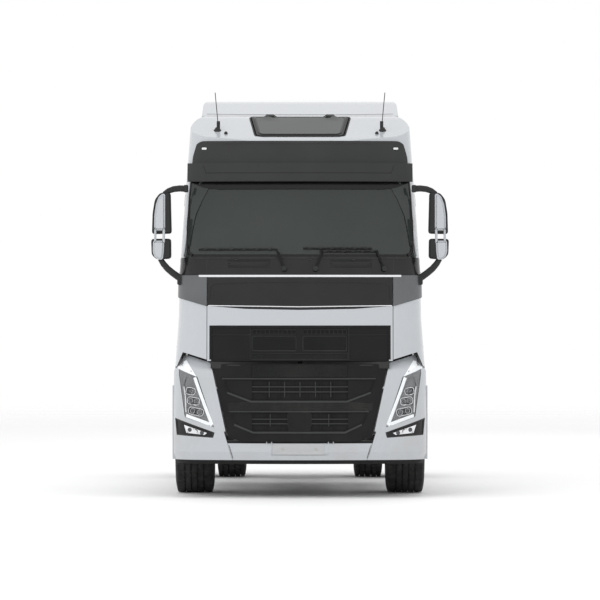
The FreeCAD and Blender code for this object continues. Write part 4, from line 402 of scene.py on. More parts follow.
def tank_metal(f):
    """Brushed aluminium sheet of the fuel tanks."""
    brush = f.grain(38.0, 4.0, 0.6, (1.0, 1.0, 26.0))
    cloud = f.grain(1.6, 5.0)
    dirt = road_dust(f, 0.8)
    shade = f.mixed(brush, (0.42, 0.43, 0.45), (0.62, 0.63, 0.65))
    shade = f.mixed(dirt, shade, (0.22, 0.195, 0.16))
    return f.done(shade, 0.3 + cloud * 0.12 + dirt * 0.35, Metallic=0.85 - dirt * 0.6,
                  Normal=f.relief(brush, 0.1, 0.0008))


def tread_plate(f):
    """Raised diamonds pressed in alloy plate."""
    x, y, z = f.axes()
    one = ((x + y) * 19.0) % 1.0
    other = ((x - y) * 19.0) % 1.0
    bars = (1.0 - abs(one - 0.5) * 4.0).most(0.0) * (abs(other - 0.5) * 3.2 - 0.4).most(0.0)
    bars = bars.between(0.05, 0.35)
    dirt = f.grain(6.0, 6.0, 0.7).between(0.4, 0.75)
    shade = f.mixed(bars, (0.27, 0.275, 0.28), (0.56, 0.57, 0.58))
    shade = f.mixed(dirt * (1.0 - bars * 0.8) * 0.75, shade, (0.10, 0.09, 0.075))
    return f.done(shade, 0.42 - bars * 0.14 + dirt * 0.25, Metallic=0.85 - dirt * 0.6,
                  Normal=f.relief(bars, 0.8, 0.004))


def bright_trim(f):
    """Polished bright metal strip."""
    wipe = f.grain(30.0, 3.0)
    return f.done(f.mixed(wipe, (0.80, 0.81, 0.83), (0.90, 0.91, 0.93)), 0.1 + wipe * 0.12, Metallic=1.0)


def zinc(f):
    """Plated fasteners, dulled by the road."""
    dull = f.grain(70.0, 4.0)
    return f.done(f.mixed(dull, (0.36, 0.35, 0.32), (0.56, 0.55, 0.52)), 0.3 + dull * 0.3, Metallic=0.9,
                  Normal=f.relief(dull, 0.2, 0.0006))


def greased_steel(f):
    """Bare plate polished by use and smeared with dark grease."""
    smear = f.grain(5.5, 6.0, 0.7, (1.0, 2.2, 1.0)).between(0.36, 0.66)
    score = f.grain(120.0, 2.0, 0.5, (1.0, 9.0, 1.0))
    shade = f.mixed(smear, f.mixed(score, (0.30, 0.29, 0.28), (0.42, 0.41, 0.40)), (0.018, 0.016, 0.013))
    rough = 0.42 - smear * 0.2 + score * 0.08
    return f.done(shade, rough, Metallic=0.9 - smear * 0.75,
                  Normal=f.relief(score + smear * 2.0, 0.3, 0.0012))


def rubber(f):
    """Seals, hoses and bellows."""
    cloud = f.grain(22.0, 4.0)
    shade = f.mixed(cloud, (0.010, 0.010, 0.010), (0.030, 0.029, 0.028))
    return f.done(shade, 0.62 + cloud * 0.15, Normal=f.relief(f.grain(420.0, 2.0), 0.2, 0.0006))


def pane(f, tint, cover, wipe_dust=0.05):
    """Tinted glass that shows what is behind it through part of its colour."""
    film = f.grain(1.4, 5.0)
    shade = f.mixed(film * wipe_dust, tint, (0.30, 0.31, 0.31))
    return f.done(shade, 0.03 + film * 0.03, Alpha=(cover + f.rim(0.25) * (1.0 - cover)).least(1.0),
                  Specular_IOR_Level=0.42)


def screen_glass(f):
    """Grey-green windscreen glass."""
    return pane(f, SCREEN_TINT, colour_of("glass_cover")[0])


def pillar_glass(f):
    """The windscreen's glass where it laps the pillars."""
    return pane(f, SCREEN_TINT, 1.0)


def side_glass(f):
    """Door glass."""
    return pane(f, (0.015, 0.019, 0.018), colour_of("glass_cover")[1])


def roof_glass(f):
    """Smoked glass of the roof hatch."""
    return pane(f, (0.030, 0.032, 0.033), colour_of("glass_cover")[2], 0.1)


def lamp_glass(f):
    """Clear moulded lamp cover."""
    film = f.grain(3.0, 4.0)
    return f.done(f.mixed(film, (0.55, 0.57, 0.59), (0.65, 0.67, 0.69)), 0.04 + film * 0.04,
                  Alpha=(0.03 + f.rim(0.2) * 0.12 + film * 0.02).least(1.0), Specular_IOR_Level=0.3)


# This finish also carries the painted shade band under the visor.
def frit(f):
    """Black ceramic border printed on glass, with fading dots at its inner edge."""
    dots = f.cells(160.0, randomness=0.0)
    return f.done(f.mixed(dots, (0.004, 0.004, 0.004), (0.010, 0.010, 0.010)), 0.12 + dots * 0.05,
                  Specular_IOR_Level=0.3)


def lamp_silver(f):
    """Vapour-bright lamp reflector."""
    ripple = f.grain(150.0, 2.0)
    return f.done(f.mixed(ripple, (0.72, 0.73, 0.75), (0.9, 0.91, 0.93)), 0.12 + ripple * 0.1, Metallic=0.95)


def lamp_grey(f):
    """Housing inside the lamps: grey round the head lamps' units, black round the low lamps."""
    cloud = f.grain(18.0, 3.0)
    x, y, z = f.axes()
    low = ((abs(x) - 0.84) * 0.345 + 0.668 - z).between(-0.004, 0.004)
    shade = f.mixed(cloud, (0.115, 0.12, 0.125), (0.19, 0.195, 0.20))
    shade = f.mixed(low, shade, (0.012, 0.012, 0.013))
    return f.done(shade, 0.3 + cloud * 0.1, Metallic=0.4 - low * 0.4,
                  Normal=f.relief(f.waves(60.0, "Z"), 0.2, 0.001),
                  Specular_IOR_Level=0.3)


def light_guide(f):
    """Milky light guide, faintly bright."""
    cloud = f.grain(40.0, 3.0)
    colour = f.mixed(cloud, (0.72, 0.74, 0.76), (0.84, 0.86, 0.88))
    return f.done(colour, 0.2 + cloud * 0.05, Emission_Color=colour, Emission_Strength=options().guide_glow,
                  Coat_Weight=0.6, Coat_Roughness=0.05)


def lens(f):
    """Thick projector lens, dark until lit."""
    ring = f.grain(80.0, 2.0)
    return f.done(f.mixed(ring, (0.015, 0.017, 0.02), (0.06, 0.065, 0.075)), 0.03 + ring * 0.03,
                  Specular_IOR_Level=0.6, Coat_Weight=0.4, Coat_Roughness=0.02)


def coloured_lens(f, dark, light):
    """A ribbed signal lens."""
    ribs = f.waves(70.0, "X")
    cross = f.waves(70.0, "Z")
    shade = f.mixed(ribs * cross, dark, light)
    return f.done(shade, 0.12 + ribs * 0.05, Normal=f.relief(ribs + cross, 0.4, 0.0015), Coat_Weight=1.0,
                  Coat_Roughness=0.04, Emission_Color=shade, Emission_Strength=0.12)


def red_lens(f):
    """Red rear lens."""
    return coloured_lens(f, (0.20, 0.004, 0.004), (0.62, 0.02, 0.015))


def amber_lens(f):
    """Amber signal lens."""
    return coloured_lens(f, (0.50, 0.13, 0.005), (0.85, 0.30, 0.02))


def white_lens(f):
    """Clear signal lens."""
    return coloured_lens(f, (0.50, 0.50, 0.50), (0.85, 0.86, 0.88))


def mirror_glass(f):
    """Silvered mirror glass with a trace of dust."""
    film = f.grain(2.2, 5.0)
    return f.done(f.mixed(film, (0.72, 0.74, 0.76), (0.86, 0.88, 0.90)), 0.02 + film * 0.04, Metallic=1.0)


def cloth(f, colour, thread=900.0, height=0.5):
    """Plain woven cloth: crossing threads with a little fuzz."""
    warp = f.waves(thread * 0.16, "DIAGONAL")
    weft = f.waves(thread * 0.16, "X")
    fuzz = f.grain(thread, 3.0)
    wear = f.grain(3.0, 4.0)
    shade = f.mixed(warp * weft, scaled(colour, 0.65), scaled(colour, 1.5))
    shade = f.mixed(wear * 0.35, shade, scaled(colour, 0.8))
    shade = f.mixed(fuzz.between(0.6, 0.8) * 0.3, shade, (0.30, 0.30, 0.30))
    return f.done(shade, 0.85 + fuzz * 0.08, Normal=f.relief(warp + weft + fuzz * 0.6, height, 0.0012),
                  Sheen_Weight=0.35, Sheen_Roughness=0.5)


def seat_cloth(f):
    """Charcoal seat cloth."""
    return cloth(f, colour_of("seat_colour"))


def seat_side(f):
    """Leather-like cloth on the seat bolsters."""
    pores = f.cells(420.0, "SMOOTH_F1")
    crease = f.grain(28.0, 5.0, 0.6)
    colour = colour_of("seat_colour")
    shade = f.mixed(crease, scaled(colour, 0.55), scaled(colour, 0.95))
    return f.done(shade, 0.48 + crease * 0.12, Normal=f.relief(pores + crease * 0.7, 0.35, 0.001),
                  Sheen_Weight=0.1)


def thread_finish(f):
    """Light stitching and piping."""
    twist = f.grain(700.0, 2.0)
    return f.done(f.mixed(twist, (0.16, 0.16, 0.16), (0.34, 0.34, 0.33)), 0.75,
                  Normal=f.relief(twist, 0.4, 0.0004))


def mattress_cloth(f):
    """Pale knitted mattress ticking."""
    return cloth(f, (0.24, 0.245, 0.25), 700.0, 0.4)


def cabin_plastic(f):
    """Soft-touch charcoal trim of the dashboard."""
    return moulded(f, (0.026, 0.026, 0.028), rough=0.55, scale=620.0, height=0.4, dust=0.0)


def cabin_grey(f):
    """Lighter grey cabin trim."""
    return moulded(f, (0.13, 0.13, 0.128), rough=0.58, scale=620.0, height=0.35, dust=0.0, gloss=0.4)


def rim_leather(f):
    """Leather of the steering wheel."""
    pores = f.cells(900.0, "SMOOTH_F1")
    shine = f.grain(12.0, 4.0)
    return f.done(f.mixed(shine, (0.012, 0.012, 0.012), (0.026, 0.025, 0.025)), 0.42 + shine * 0.15,
                  Normal=f.relief(pores, 0.35, 0.0006))


def white_plate(f):
    """Blank enamelled plate."""
    cloud = f.grain(24.0, 4.0)
    return f.done(f.mixed(cloud, (0.40, 0.405, 0.41), (0.455, 0.46, 0.465)), 0.3 + cloud * 0.1,
                  Normal=f.relief(cloud, 0.08, 0.0006))


def display(f):
    """A dark instrument display with faint even scale marks."""
    marks = f.waves(16.0, "X").between(0.93, 0.99) * f.waves(11.0, "Z").between(0.35, 0.6)
    glow = f.mixed(marks, (0.004, 0.006, 0.009), (0.28, 0.42, 0.52))
    return f.done(f.mixed(marks, (0.006, 0.007, 0.008), (0.05, 0.06, 0.07)), 0.08, Coat_Weight=1.0,
                  Coat_Roughness=0.03, Emission_Color=glow, Emission_Strength=0.5)


def floor_finish(f):
    """The studio's pale floor, which fades out far from the truck."""
    x, y, z = f.axes()
    far = ((x * x + y * y) ** 0.5).between(14.0, 34.0)
    cloud = f.grain(0.6, 3.0)
    colour = f.mixed(cloud * 0.3, (0.90, 0.90, 0.90), (0.93, 0.93, 0.93))
    plain = f.add("ShaderNodeBsdfPrincipled", inputs={"Base Color": colour, "Roughness": 0.75})
    clear = f.add("ShaderNodeBsdfTransparent")
    both = f.add("ShaderNodeMixShader", inputs={0: far, 1: plain.outputs[0], 2: clear.outputs[0]})
    f.add("ShaderNodeOutputMaterial", inputs={"Surface": both.outputs[0]})
    return f.material


FINISH_MAKERS = {maker.__name__: maker for maker in (
    body_paint, step_paint, dark_trim, grille_plastic, visor_plastic, vane_grey, gloss_black,
    lid_panel_finish, painted_edge_highlight, chassis_paint, cast_iron, engine_finish, cooling_core, tyre_rubber,
    wheel_metal, tank_metal, tread_plate, bright_trim, zinc, greased_steel, rubber, screen_glass,
    pillar_glass, side_glass, roof_glass, lamp_glass, frit, lamp_silver, lamp_grey, light_guide, lens,
    red_lens, amber_lens, white_lens, mirror_glass, seat_cloth, seat_side, thread_finish, mattress_cloth,
    cabin_plastic, cabin_grey, rim_leather, white_plate, display, floor_finish,
)}


# Shapes


class Skin:
    """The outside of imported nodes, for laying pieces on."""

    def __init__(self, *names):
        points, faces = [], []
        for name in names:
            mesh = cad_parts[name].data
            start = len(points)
            points += [v.co.copy() for v in mesh.vertices]
            faces += [[start + i for i in face.vertices] for face in mesh.polygons]
        self.tree = BVHTree.FromPolygons(points, faces)

    def met(self, origin, way):
        """The first point of the skin along a line, and the skin's direction there."""
        point, normal, index, distance = self.tree.ray_cast(origin, way)
        if point is None:
            point, normal, index, distance = self.tree.find_nearest(origin + way * 6.0)
        if normal.dot(way) > 0:
            normal = -normal
        return point, normal

    def front(self, x, z):
        """Where a line from ahead of the truck meets the skin."""
        return self.met(Vector((x, -6.0, z)), Vector((0, 1, 0)))

    def side(self, y, z, hand):
        """Where a line from beside the truck meets the skin."""
        return self.met(Vector((hand * 4.0, y, z)), Vector((-hand, 0, 0)))

    def top(self, x, y):
        """Where a line from above meets the skin."""
        return self.met(Vector((x, y, 6.0)), Vector((0, 0, -1)))


def seen(skin, look, a, b, hand=1):
    """A skin's point and direction where it is met from ahead, from beside or from above."""
    if look == "front":
        return skin.front(a, b)
    return skin.side(a, b, hand) if look == "side" else skin.top(a, b)


class Shape:
    """A mesh being built up from turned, swept and draped parts."""

    def __init__(self):
        self.mesh = bmesh.new()

    def loop(self, points):
        """New vertices in a row."""
        return [self.mesh.verts.new(p) for p in points]

    def skin_rows(self, rows, around=False, caps=False):
        """Faces between rows of vertices; around joins each row's ends."""
        for low, high in zip(rows, rows[1:]):
            count = len(low)
            for i in range(count if around else count - 1):
                j = (i + 1) % count
                corners = [low[i], low[j], high[j], high[i]]
                kept = [v for k, v in enumerate(corners) if v not in corners[:k]]
                if len(kept) > 2 and self.mesh.faces.get(kept) is None:
                    self.mesh.faces.new(kept)
        if caps:
            self.mesh.faces.new(list(reversed(rows[0])))
            self.mesh.faces.new(rows[-1])

    def turned(self, profile, centre, axis, steps):
        """A profile of (along, radius) points turned about an axis."""
        axis = Vector(axis).normalized()
        side = axis.orthogonal().normalized()
        up = axis.cross(side)
        turns = [math.tau * i / steps for i in range(steps)]
        rows = []
        for along, radius in profile:
            base = Vector(centre) + axis * along
            if radius < 1e-6:
                rows.append([self.mesh.verts.new(base)] * steps)
            else:
                rows.append(self.loop(base + (side * math.cos(a) + up * math.sin(a)) * radius for a in turns))
        self.skin_rows(rows, around=True)
        return self

    def turned_on(self, skin, a, b, profile, steps=24, look="front", hand=1):
        """A profile turned about a skin's own direction at one of its points."""
        return self.turned(profile, *seen(skin, look, a, b, hand), steps)

    def sweep(self, section, path, ups=None, closed=False, caps=True):
        """A section of (side, up) points carried along a path."""
        path = [Vector(p) for p in path]
        rows = []
        for i, point in enumerate(path):
            last = path[i - 1] if i or closed else point
            following = path[(i + 1) % len(path)] if i + 1 < len(path) or closed else point
            way = (following - last).normalized()
            up = Vector(ups[i]) if ups else (UP if abs(way.z) < 0.95 else ALONG)
            side = way.cross(up).normalized()
            up = side.cross(way).normalized()
            scale = 1.0
            if (0 < i < len(path) - 1) or closed:
                bend = (point - last).normalized().dot(way)
                scale = min(1.0 / max(bend, 0.35), 1.8)
            rows.append(self.loop(point + side * s * scale + up * u for s, u in section))
        if closed:
            rows.append(rows[0])
        self.skin_rows(rows, around=True, caps=caps and not closed)
        return self

    def bar(self, path, radius, steps=10, closed=False):
        """A round bar along a path."""
        turns = [math.tau * i / steps for i in range(steps)]
        return self.sweep([(math.cos(a) * radius, math.sin(a) * radius) for a in turns], path, closed=closed)

    def box(self, low, high, bevel=0.0, segments=2):
        """A box between two corners, with its edges rounded."""
        low, high = Vector(low), Vector(high)
        made = bmesh.ops.create_cube(self.mesh, size=1.0)["verts"]
        for v in made:
            v.co = Vector(((low[i] + high[i]) / 2 + v.co[i] * (high[i] - low[i])) for i in range(3))
        if bevel:
            edges = list({e for v in made for e in v.link_edges})
            bmesh.ops.bevel(self.mesh, geom=edges, offset=bevel, segments=segments, profile=0.5,
                            affect="EDGES")
        return self

    def plate(self, outline, axis, low, high, bevel=0.0, segments=2):
        """An outline pushed along an axis, with its rims rounded."""
        put = {
            "x": lambda p, t: (t, p[0], p[1]),
            "y": lambda p, t: (p[0], t, p[1]),
            "z": lambda p, t: (p[0], p[1], t),
        }[axis]
        rows = [self.loop(put(p, low) for p in outline), self.loop(put(p, high) for p in outline)]
        before = set(self.mesh.faces)
        self.skin_rows(rows, around=True, caps=True)
        if bevel:
            made = set(self.mesh.faces) - before
            rims = [e for row in rows for v in row for e in v.link_edges if e.other_vert(v) in row]
            bmesh.ops.recalc_face_normals(self.mesh, faces=list(made))
            bmesh.ops.bevel(self.mesh, geom=list(set(rims)), offset=bevel, segments=segments, affect="EDGES")
        return self

    def draped(self, outline, skin, lift, depth, cell=0.04, look="front", hand=1):
        """An outline laid over a skin, lifted off it and given a depth behind."""
        sheet = bmesh.new()
        sheet.faces.new([sheet.verts.new((a, 0, b)) for a, b in outline])
        for k, way in ((0, (1, 0, 0)), (2, (0, 0, 1))):
            values = [p[0 if k == 0 else 1] for p in outline]
            count = max(int((max(values) - min(values)) / cell), 1)
            for i in range(1, count):
                at = min(values) + (max(values) - min(values)) * i / count
                where = (at, 0, 0) if k == 0 else (0, 0, at)
                whole = sheet.verts[:] + sheet.edges[:] + sheet.faces[:]
                bmesh.ops.bisect_plane(sheet, geom=whole, plane_co=where, plane_no=way)
        over, under = {}, {}
        for v in sheet.verts:
            point, normal = seen(skin, look, v.co.x, v.co.z, hand)
            over[v] = self.mesh.verts.new(point + normal * lift)
            under[v] = self.mesh.verts.new(point + normal * (lift - depth))
        for face in sheet.faces:
            self.mesh.faces.new([over[v] for v in face.verts])
            self.mesh.faces.new([under[v] for v in reversed(face.verts)])
        for edge in sheet.edges:
            if edge.is_boundary:
                a, b = edge.verts
                self.mesh.faces.new([over[a], over[b], under[b], under[a]])
        sheet.free()
        return self

    def strip(self, line, skin, width, lift, depth, look="front", hand=1, step=0.03, closed=False):
        """A bead laid along a line on a skin."""
        line = [Vector((a, b)) for a, b in line]
        if closed:
            line.append(line[0].copy())
        places = []
        for start, end in zip(line, line[1:]):
            count = max(int((end - start).length / step), 1)
            places += [start.lerp(end, i / count) for i in range(count)]
        if not closed:
            places.append(line[-1])
        path, ups = zip(*(seen(skin, look, place.x, place.y, hand) for place in places))
        half = width / 2
        section = [(-half, -depth), (half, -depth), (half, lift * 0.6), (half * 0.6, lift),
                   (-half * 0.6, lift), (-half, lift * 0.6)]
        return self.sweep(section, path, ups, closed=closed)

    def bolt(self, point, way, radius=0.012, height=0.009):
        """A hexagon head on its washer."""
        foot, top = height * 0.3, height * 1.45
        self.turned([(0, 0), (0, radius * 1.45), (foot, radius * 1.45), (foot, 0)], point, way, 14)
        head = [(foot, 0), (foot, radius), (height * 1.2, radius), (top, radius * 0.8), (top, 0)]
        return self.turned(head, point, way, 6)

    def mirrored(self):
        """Adds the same on the other side of the truck."""
        whole = self.mesh.verts[:] + self.mesh.edges[:] + self.mesh.faces[:]
        made = bmesh.ops.duplicate(self.mesh, geom=whole)
        faces = [g for g in made["geom"] if isinstance(g, bmesh.types.BMFace)]
        for v in (g for g in made["geom"] if isinstance(g, bmesh.types.BMVert)):
            v.co.x = -v.co.x
        bmesh.ops.reverse_faces(self.mesh, faces=faces)
        return self

    def piece(self, name, finish_name, body, smooth=35.0, bevel=0.0, replaces=()):
        """Makes the object, gives it its finish and sets it to ride on a body."""
        bmesh.ops.remove_doubles(self.mesh, verts=self.mesh.verts, dist=1e-6)
        bmesh.ops.recalc_face_normals(self.mesh, faces=self.mesh.faces)
        data = bpy.data.meshes.new(name)
        self.mesh.to_mesh(data)
        self.mesh.free()
        made = bpy.data.objects.new(name, data)
        bpy.context.scene.collection.objects.link(made)
        data.materials.append(finish(finish_name))
        if bevel:
            edge = made.modifiers.new("edge", "BEVEL")
            edge.width = bevel
            edge.segments = 2
            edge.limit_method = "ANGLE"
            edge.angle_limit = math.radians(32)
        shade_smooth(made, smooth)
        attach(made, body)
        if replaces:
            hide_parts(*replaces)
        return made


def shade_smooth(made, degrees):
    """Smooth shading that keeps edges sharper than an angle."""
    for face in made.data.polygons:
        face.use_smooth = True
    made.data.set_sharp_from_angle(angle=math.radians(degrees))


def arc(centre, radius, start, end, steps):
    """Points of (a, b) along an arc, in degrees."""
    turns = [math.radians(start + (end - start) * i / steps) for i in range(steps + 1)]
    return [(centre[0] + radius * math.cos(a), centre[1] + radius * math.sin(a)) for a in turns]


def rounded(points, radius, steps=4):
    """A closed outline with its corners rounded."""
    made = []
    points = [Vector(p) for p in points]
    for i, corner in enumerate(points):
        back = points[i - 1] - corner
        ahead = points[(i + 1) % len(points)] - corner
        run = min(radius, back.length * 0.45, ahead.length * 0.45)
        start, end = corner + back.normalized() * run, corner + ahead.normalized() * run
        for k in range(steps + 1):
            t = k / steps
            made.append(tuple(start.lerp(corner, t).lerp(corner.lerp(end, t), t)))
    return made


def panel(low, high, radius, steps=4):
    """A rectangle between two corners, with all four rounded."""
    return rounded([low, (high[0], low[1]), high, (low[0], high[1])], radius, steps)


def level(half, height, count=30):
    """Points across the truck at one height."""
    return [(-half + 2 * half * i / count, height) for i in range(count + 1)]


def dress(node, finish_name):
    """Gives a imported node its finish."""
    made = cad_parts[node]
    material = finish(finish_name)
    if made.material_slots:
        for held in made.material_slots:
            held.material = material
    else:
        made.data.materials.append(material)


def dressed(**pairs):
    """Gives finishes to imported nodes: finish="node node"."""
    for finish_name, nodes in pairs.items():
        for node in nodes.split():
            dress(node, finish_name)


class Bow:
    """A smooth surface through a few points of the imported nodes, for parts set into openings."""

    def __init__(self, skin, places):
        rows, depths = [], []
        for x, z in places:
            point, normal = skin.front(x, z)
            rows.append((1.0, z, z * z, x * x))
            depths.append(point.y)
        self.shares = numpy.linalg.lstsq(numpy.array(rows), numpy.array(depths), rcond=None)[0]

    def front(self, x, z):
        """The surface's point at x and z, and its direction."""
        a, b, c, d = self.shares
        point = Vector((x, float(a + b * z + c * z * z + d * x * x), z))
        return point, Vector((2 * d * x, -1.0, b + 2 * c * z)).normalized()


class Bridged:
    """A skin seen from ahead whose narrow gaps are bridged."""

    def __init__(self, skin, reach):
        self.skin = skin
        self.reach = reach

    def front(self, x, z):
        """The skin's point at x and z, or the middle of the gap's two sides."""
        point, normal = self.skin.front(x, z)
        low, low_way = self.skin.front(x - self.reach, z)
        high, high_way = self.skin.front(x + self.reach, z)
        if point.y > max(low.y, high.y) + 0.01:
            return Vector((x, (low.y + high.y) / 2, z)), (low_way + high_way).normalized()
        return point, normal


def within(outline, a, b):
    """Whether a point lies inside an outline."""
    inside = False
    for (x1, y1), (x2, y2) in zip(outline, outline[1:] + outline[:1]):
        if (y1 > b) != (y2 > b) and a < (x2 - x1) * (b - y1) / (y2 - y1) + x1:
            inside = not inside
    return inside


def honeycomb(shape, outline, skin, cell, wall, lift, depth, squash=1.0):
    """Hexagonal mesh over an outline on a surface."""
    step_x, step_z = cell * math.sqrt(3) / 2, cell * 0.75 * squash
    low_x, high_x = min(p[0] for p in outline), max(p[0] for p in outline)
    low_z, high_z = min(p[1] for p in outline), max(p[1] for p in outline)
    corners = [(math.sin(math.radians(60 * k)), math.cos(math.radians(60 * k)) * squash) for k in range(6)]
    for row in range(int((high_z - low_z) / step_z) + 1):
        for column in range(int((high_x - low_x) / step_x) + 1):
            x = low_x + (column + (row % 2) / 2) * step_x
            z = low_z + row * step_z
            if not within(outline, x, z):
                continue
            point, normal = skin.front(x, z)
            rings = []
            for size, raised in ((cell / 2, lift), (cell / 2 - wall, lift), (cell / 2 - wall, lift - depth)):
                rings.append(shape.loop(
                    point + Vector((a * size, -normal.x / normal.y * a * size, b * size)) + normal * raised
                    for a, b in corners
                ))
            shape.skin_rows(rings, around=True)
    return shape


# The user's sizes and colours


def amount(name, description, default, unit="NONE", low=0.0, high=100.0):
    """A number that the user may change."""
    return FloatProperty(name=name, description=description, default=default, unit=unit, min=low, max=high)


def shade_choice(name, description, default):
    """A colour that the user may change."""
    return FloatVectorProperty(name=name, description=description, default=default, subtype="COLOR", min=0,
                               max=1)


class TractorUnitOptions(bpy.types.PropertyGroup):
    """Colours and sizes of the cab's dressing."""

    body_colour: shade_choice("Body colour", "Paint of the cab, the corners and the bumper",
                              (0.423, 0.442, 0.465))
    seat_colour: shade_choice("Seat colour", "Cloth of the seats", (0.045, 0.047, 0.05))
    glass_cover: FloatVectorProperty(
        name="Glass cover", description="How solid the windscreen, the door glass and the hatch glass look",
        default=(0.90, 0.84, 0.97), min=0, max=1,
    )
    guide_glow: amount("Guide glow", "Brightness of the light guides", 0.10)
    seal_width: amount("Seal width", "Rubber seal round the glass", 0.012, "LENGTH")
    border_width: amount("Border width", "Black border printed on the glass", 0.042, "LENGTH")
    mesh_wall: amount("Mesh wall", "Thickness of the grille mesh", 0.0022, "LENGTH")
    wide_cell: amount("Wide cell", "Cells of the upper grille", 0.021, "LENGTH")
    fine_cell: amount("Fine cell", "Cells of the fine mesh", 0.0115, "LENGTH")
    bolt_radius: amount("Bolt radius", "Frame bolts", 0.012, "LENGTH")


class TyreOptions(bpy.types.PropertyGroup):
    """Sizes of the tyres' tread."""

    groove_depth: amount("Groove depth", "Depth of the main grooves", 0.0135, "LENGTH")
    groove_width: amount("Groove width", "Width of the main grooves", 0.014, "LENGTH")
    groove_spacing: amount("Groove spacing", "Distance between the front tyre's grooves", 0.062, "LENGTH")
    sipe_depth: amount("Sipe depth", "Depth of the fine cuts across the ribs", 0.0016, "LENGTH")
    block_depth: amount("Block depth", "Depth between the rear tyres' blocks", 0.012, "LENGTH")
    pitches: IntProperty(name="Pitches", description="Pattern repeats round a tyre", default=54, min=24,
                         max=80)


class StudioOptions(bpy.types.PropertyGroup):
    """The floor, the lights and the camera."""

    floor_radius: amount("Floor radius", "Radius of the pale floor", 40.0, "LENGTH")
    sky: amount("Sky", "Brightness of the surroundings", 1.0)
    key_power: amount("Key power", "Soft light ahead and above", 500.0, "POWER", 0, 20000)
    side_power: amount("Side power", "Soft lights at the sides", 160.0, "POWER", 0, 20000)
    camera_distance: amount("Camera distance", "From the truck's middle", 43.0, "LENGTH")
    camera_height: amount("Camera height", "Above the floor", 1.93, "LENGTH")
    lens: amount("Lens", "Focal length in millimetres", 247.0, "NONE", 10, 500)


FRONT_AXLE = -1.62
REAR_AXLE = 2.08
WHEEL_HEIGHT = 0.536
REAR_WHEEL_HEIGHT = 0.538
FRONT_TRACK = 1.05
REAR_TRACKS = (1.09, 0.742)
FRONT_TYRE_WIDTH = 0.385
REAR_TYRE_WIDTH = 0.312
PILLAR_GAP = 0.022


# Paint, glass and borders on the cab


def line_on(name, skin, lines, width, lift, finish_name, body, depth=0.002, both=True):
    """Beads along one or more lines of a skin seen from ahead, as one piece."""
    shape = Shape()
    for line in lines:
        shape.strip(line, skin, width, lift, depth)
    if both:
        shape.mirrored()
    return shape.piece(name, finish_name, body)


class TRUCK_OT_paintwork(bpy.types.Operator):
    """Paints the cab, the corners and the bumper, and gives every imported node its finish"""

    bl_idname = "truck.paintwork"
    bl_label = "Paintwork"

    def execute(self, context):
        dressed(
            body_paint="cab_shell door_left door_right side_fairings roof_fairing corner_panels "
                       "bumper lid_band",
            lid_panel_finish="lid_panel",
            grille_plastic="upper_grille lower_grille bumper_lip wipers",
            gloss_black="cowl",
            bright_trim="trim_strip",
            vane_grey="corner_vanes",
            visor_plastic="sun_visor",
            step_paint="entry_steps",
            dark_trim="front_guards rear_guards roof_hatch aerials mirrors",
            screen_glass="windscreen",
            side_glass="door_glass_left door_glass_right",
            chassis_paint="frame deck_plate rear_beam service_box knuckle_left knuckle_right tie_rod",
            cast_iron="front_axle rear_axle coupling_base front_springs rear_springs",
            engine_finish="engine",
            cooling_core="radiator",
            lamp_grey="front_lamps",
            red_lens="rear_lamps",
            tank_metal="fuel_tanks",
            greased_steel="coupling_plate",
            cabin_plastic="dashboard steering_wheel",
            seat_cloth="seats",
            mattress_cloth="bunk",
            tyre_rubber="front_tyre_left front_tyre_right rear_tyres_left rear_tyres_right",
            wheel_metal="front_rim_left front_rim_right rear_rims_left rear_rims_right",
        )
        return {"FINISHED"}


class TRUCK_OT_windscreen_border(bpy.types.Operator):
    """Prints the black border on the windscreen and fits its seal, the pillar glass and the sensor housing;
    also lays the band of painted shade under the visor
    """

    bl_idname = "truck.windscreen_border"
    bl_label = "Windscreen border"

    def execute(self, context):
        sizes = options()
        glass = Skin("windscreen")
        around = Skin("windscreen", "cab_shell")
        bridged = Bridged(around, PILLAR_GAP)
        width = sizes.border_width
        pillar = [(0.86, 3.09), (1.066, 3.09), (1.080, 2.95), (1.094, 2.80), (1.103, 2.66), (1.104, 2.46),
                  (1.075, 2.46), (1.05, 2.62), (1.02, 2.76), (0.96, 2.90)]
        shoulders = Shape().draped(pillar, bridged, 0.009, 0.004, 0.02).mirrored()
        shoulders.piece("screen_shoulders", "pillar_glass", "cab")
        sides = [(1.060, 3.13), (1.078, 2.95), (1.092, 2.70), (1.102, 2.50), (1.100, 2.42), (1.085, 2.385),
                 (1.05, 2.366)]
        line_on("screen_border_sides", bridged, [sides], width * 0.85, 0.012, "frit", "cab", 0.004)
        foot = [level(1.05, 2.362, 32)]
        line_on("screen_border_foot", glass, foot, width * 0.7, 0.0014, "frit", "cab", 0.0004, False)
        # The arch under the visor is partly the glass's printed black top border and partly painted shade
        # cast by the visor.
        arch = [(-1.06, 3.090), (-1.0, 3.052), (-0.93, 3.026), (-0.8, 3.014), (0.8, 3.014), (0.93, 3.026),
                (1.0, 3.052), (1.06, 3.090), (1.055, 3.15), (-1.055, 3.15)]
        Shape().draped(arch, around, 0.0125, 0.002, 0.06).piece("screen_shade_band", "frit", "cab")
        outline = rounded([(-0.105, 3.0), (0.085, 3.0), (0.095, 3.12), (-0.115, 3.12)], 0.02)
        housing = Shape().draped(outline, glass, -0.010, 0.028, 0.03)
        housing.piece("sensor_housing", "cabin_plastic", "cab", bevel=0.004)
        eyes = Shape()
        dome = [(-0.012, 0.0), (-0.010, 0.016), (-0.009, 0.020), (-0.012, 0.022), (-0.014, 0.022)]
        for x in (-0.045, 0.028):
            eyes.turned_on(glass, x, 3.05, dome)
        eyes.piece("sensor_eyes", "lens", "cab")
        line_on("screen_seal", Skin("windscreen", "cowl"), [level(1.06, 2.346)], sizes.seal_width, 0.004,
                "rubber", "cab", 0.004, False)
        return {"FINISHED"}


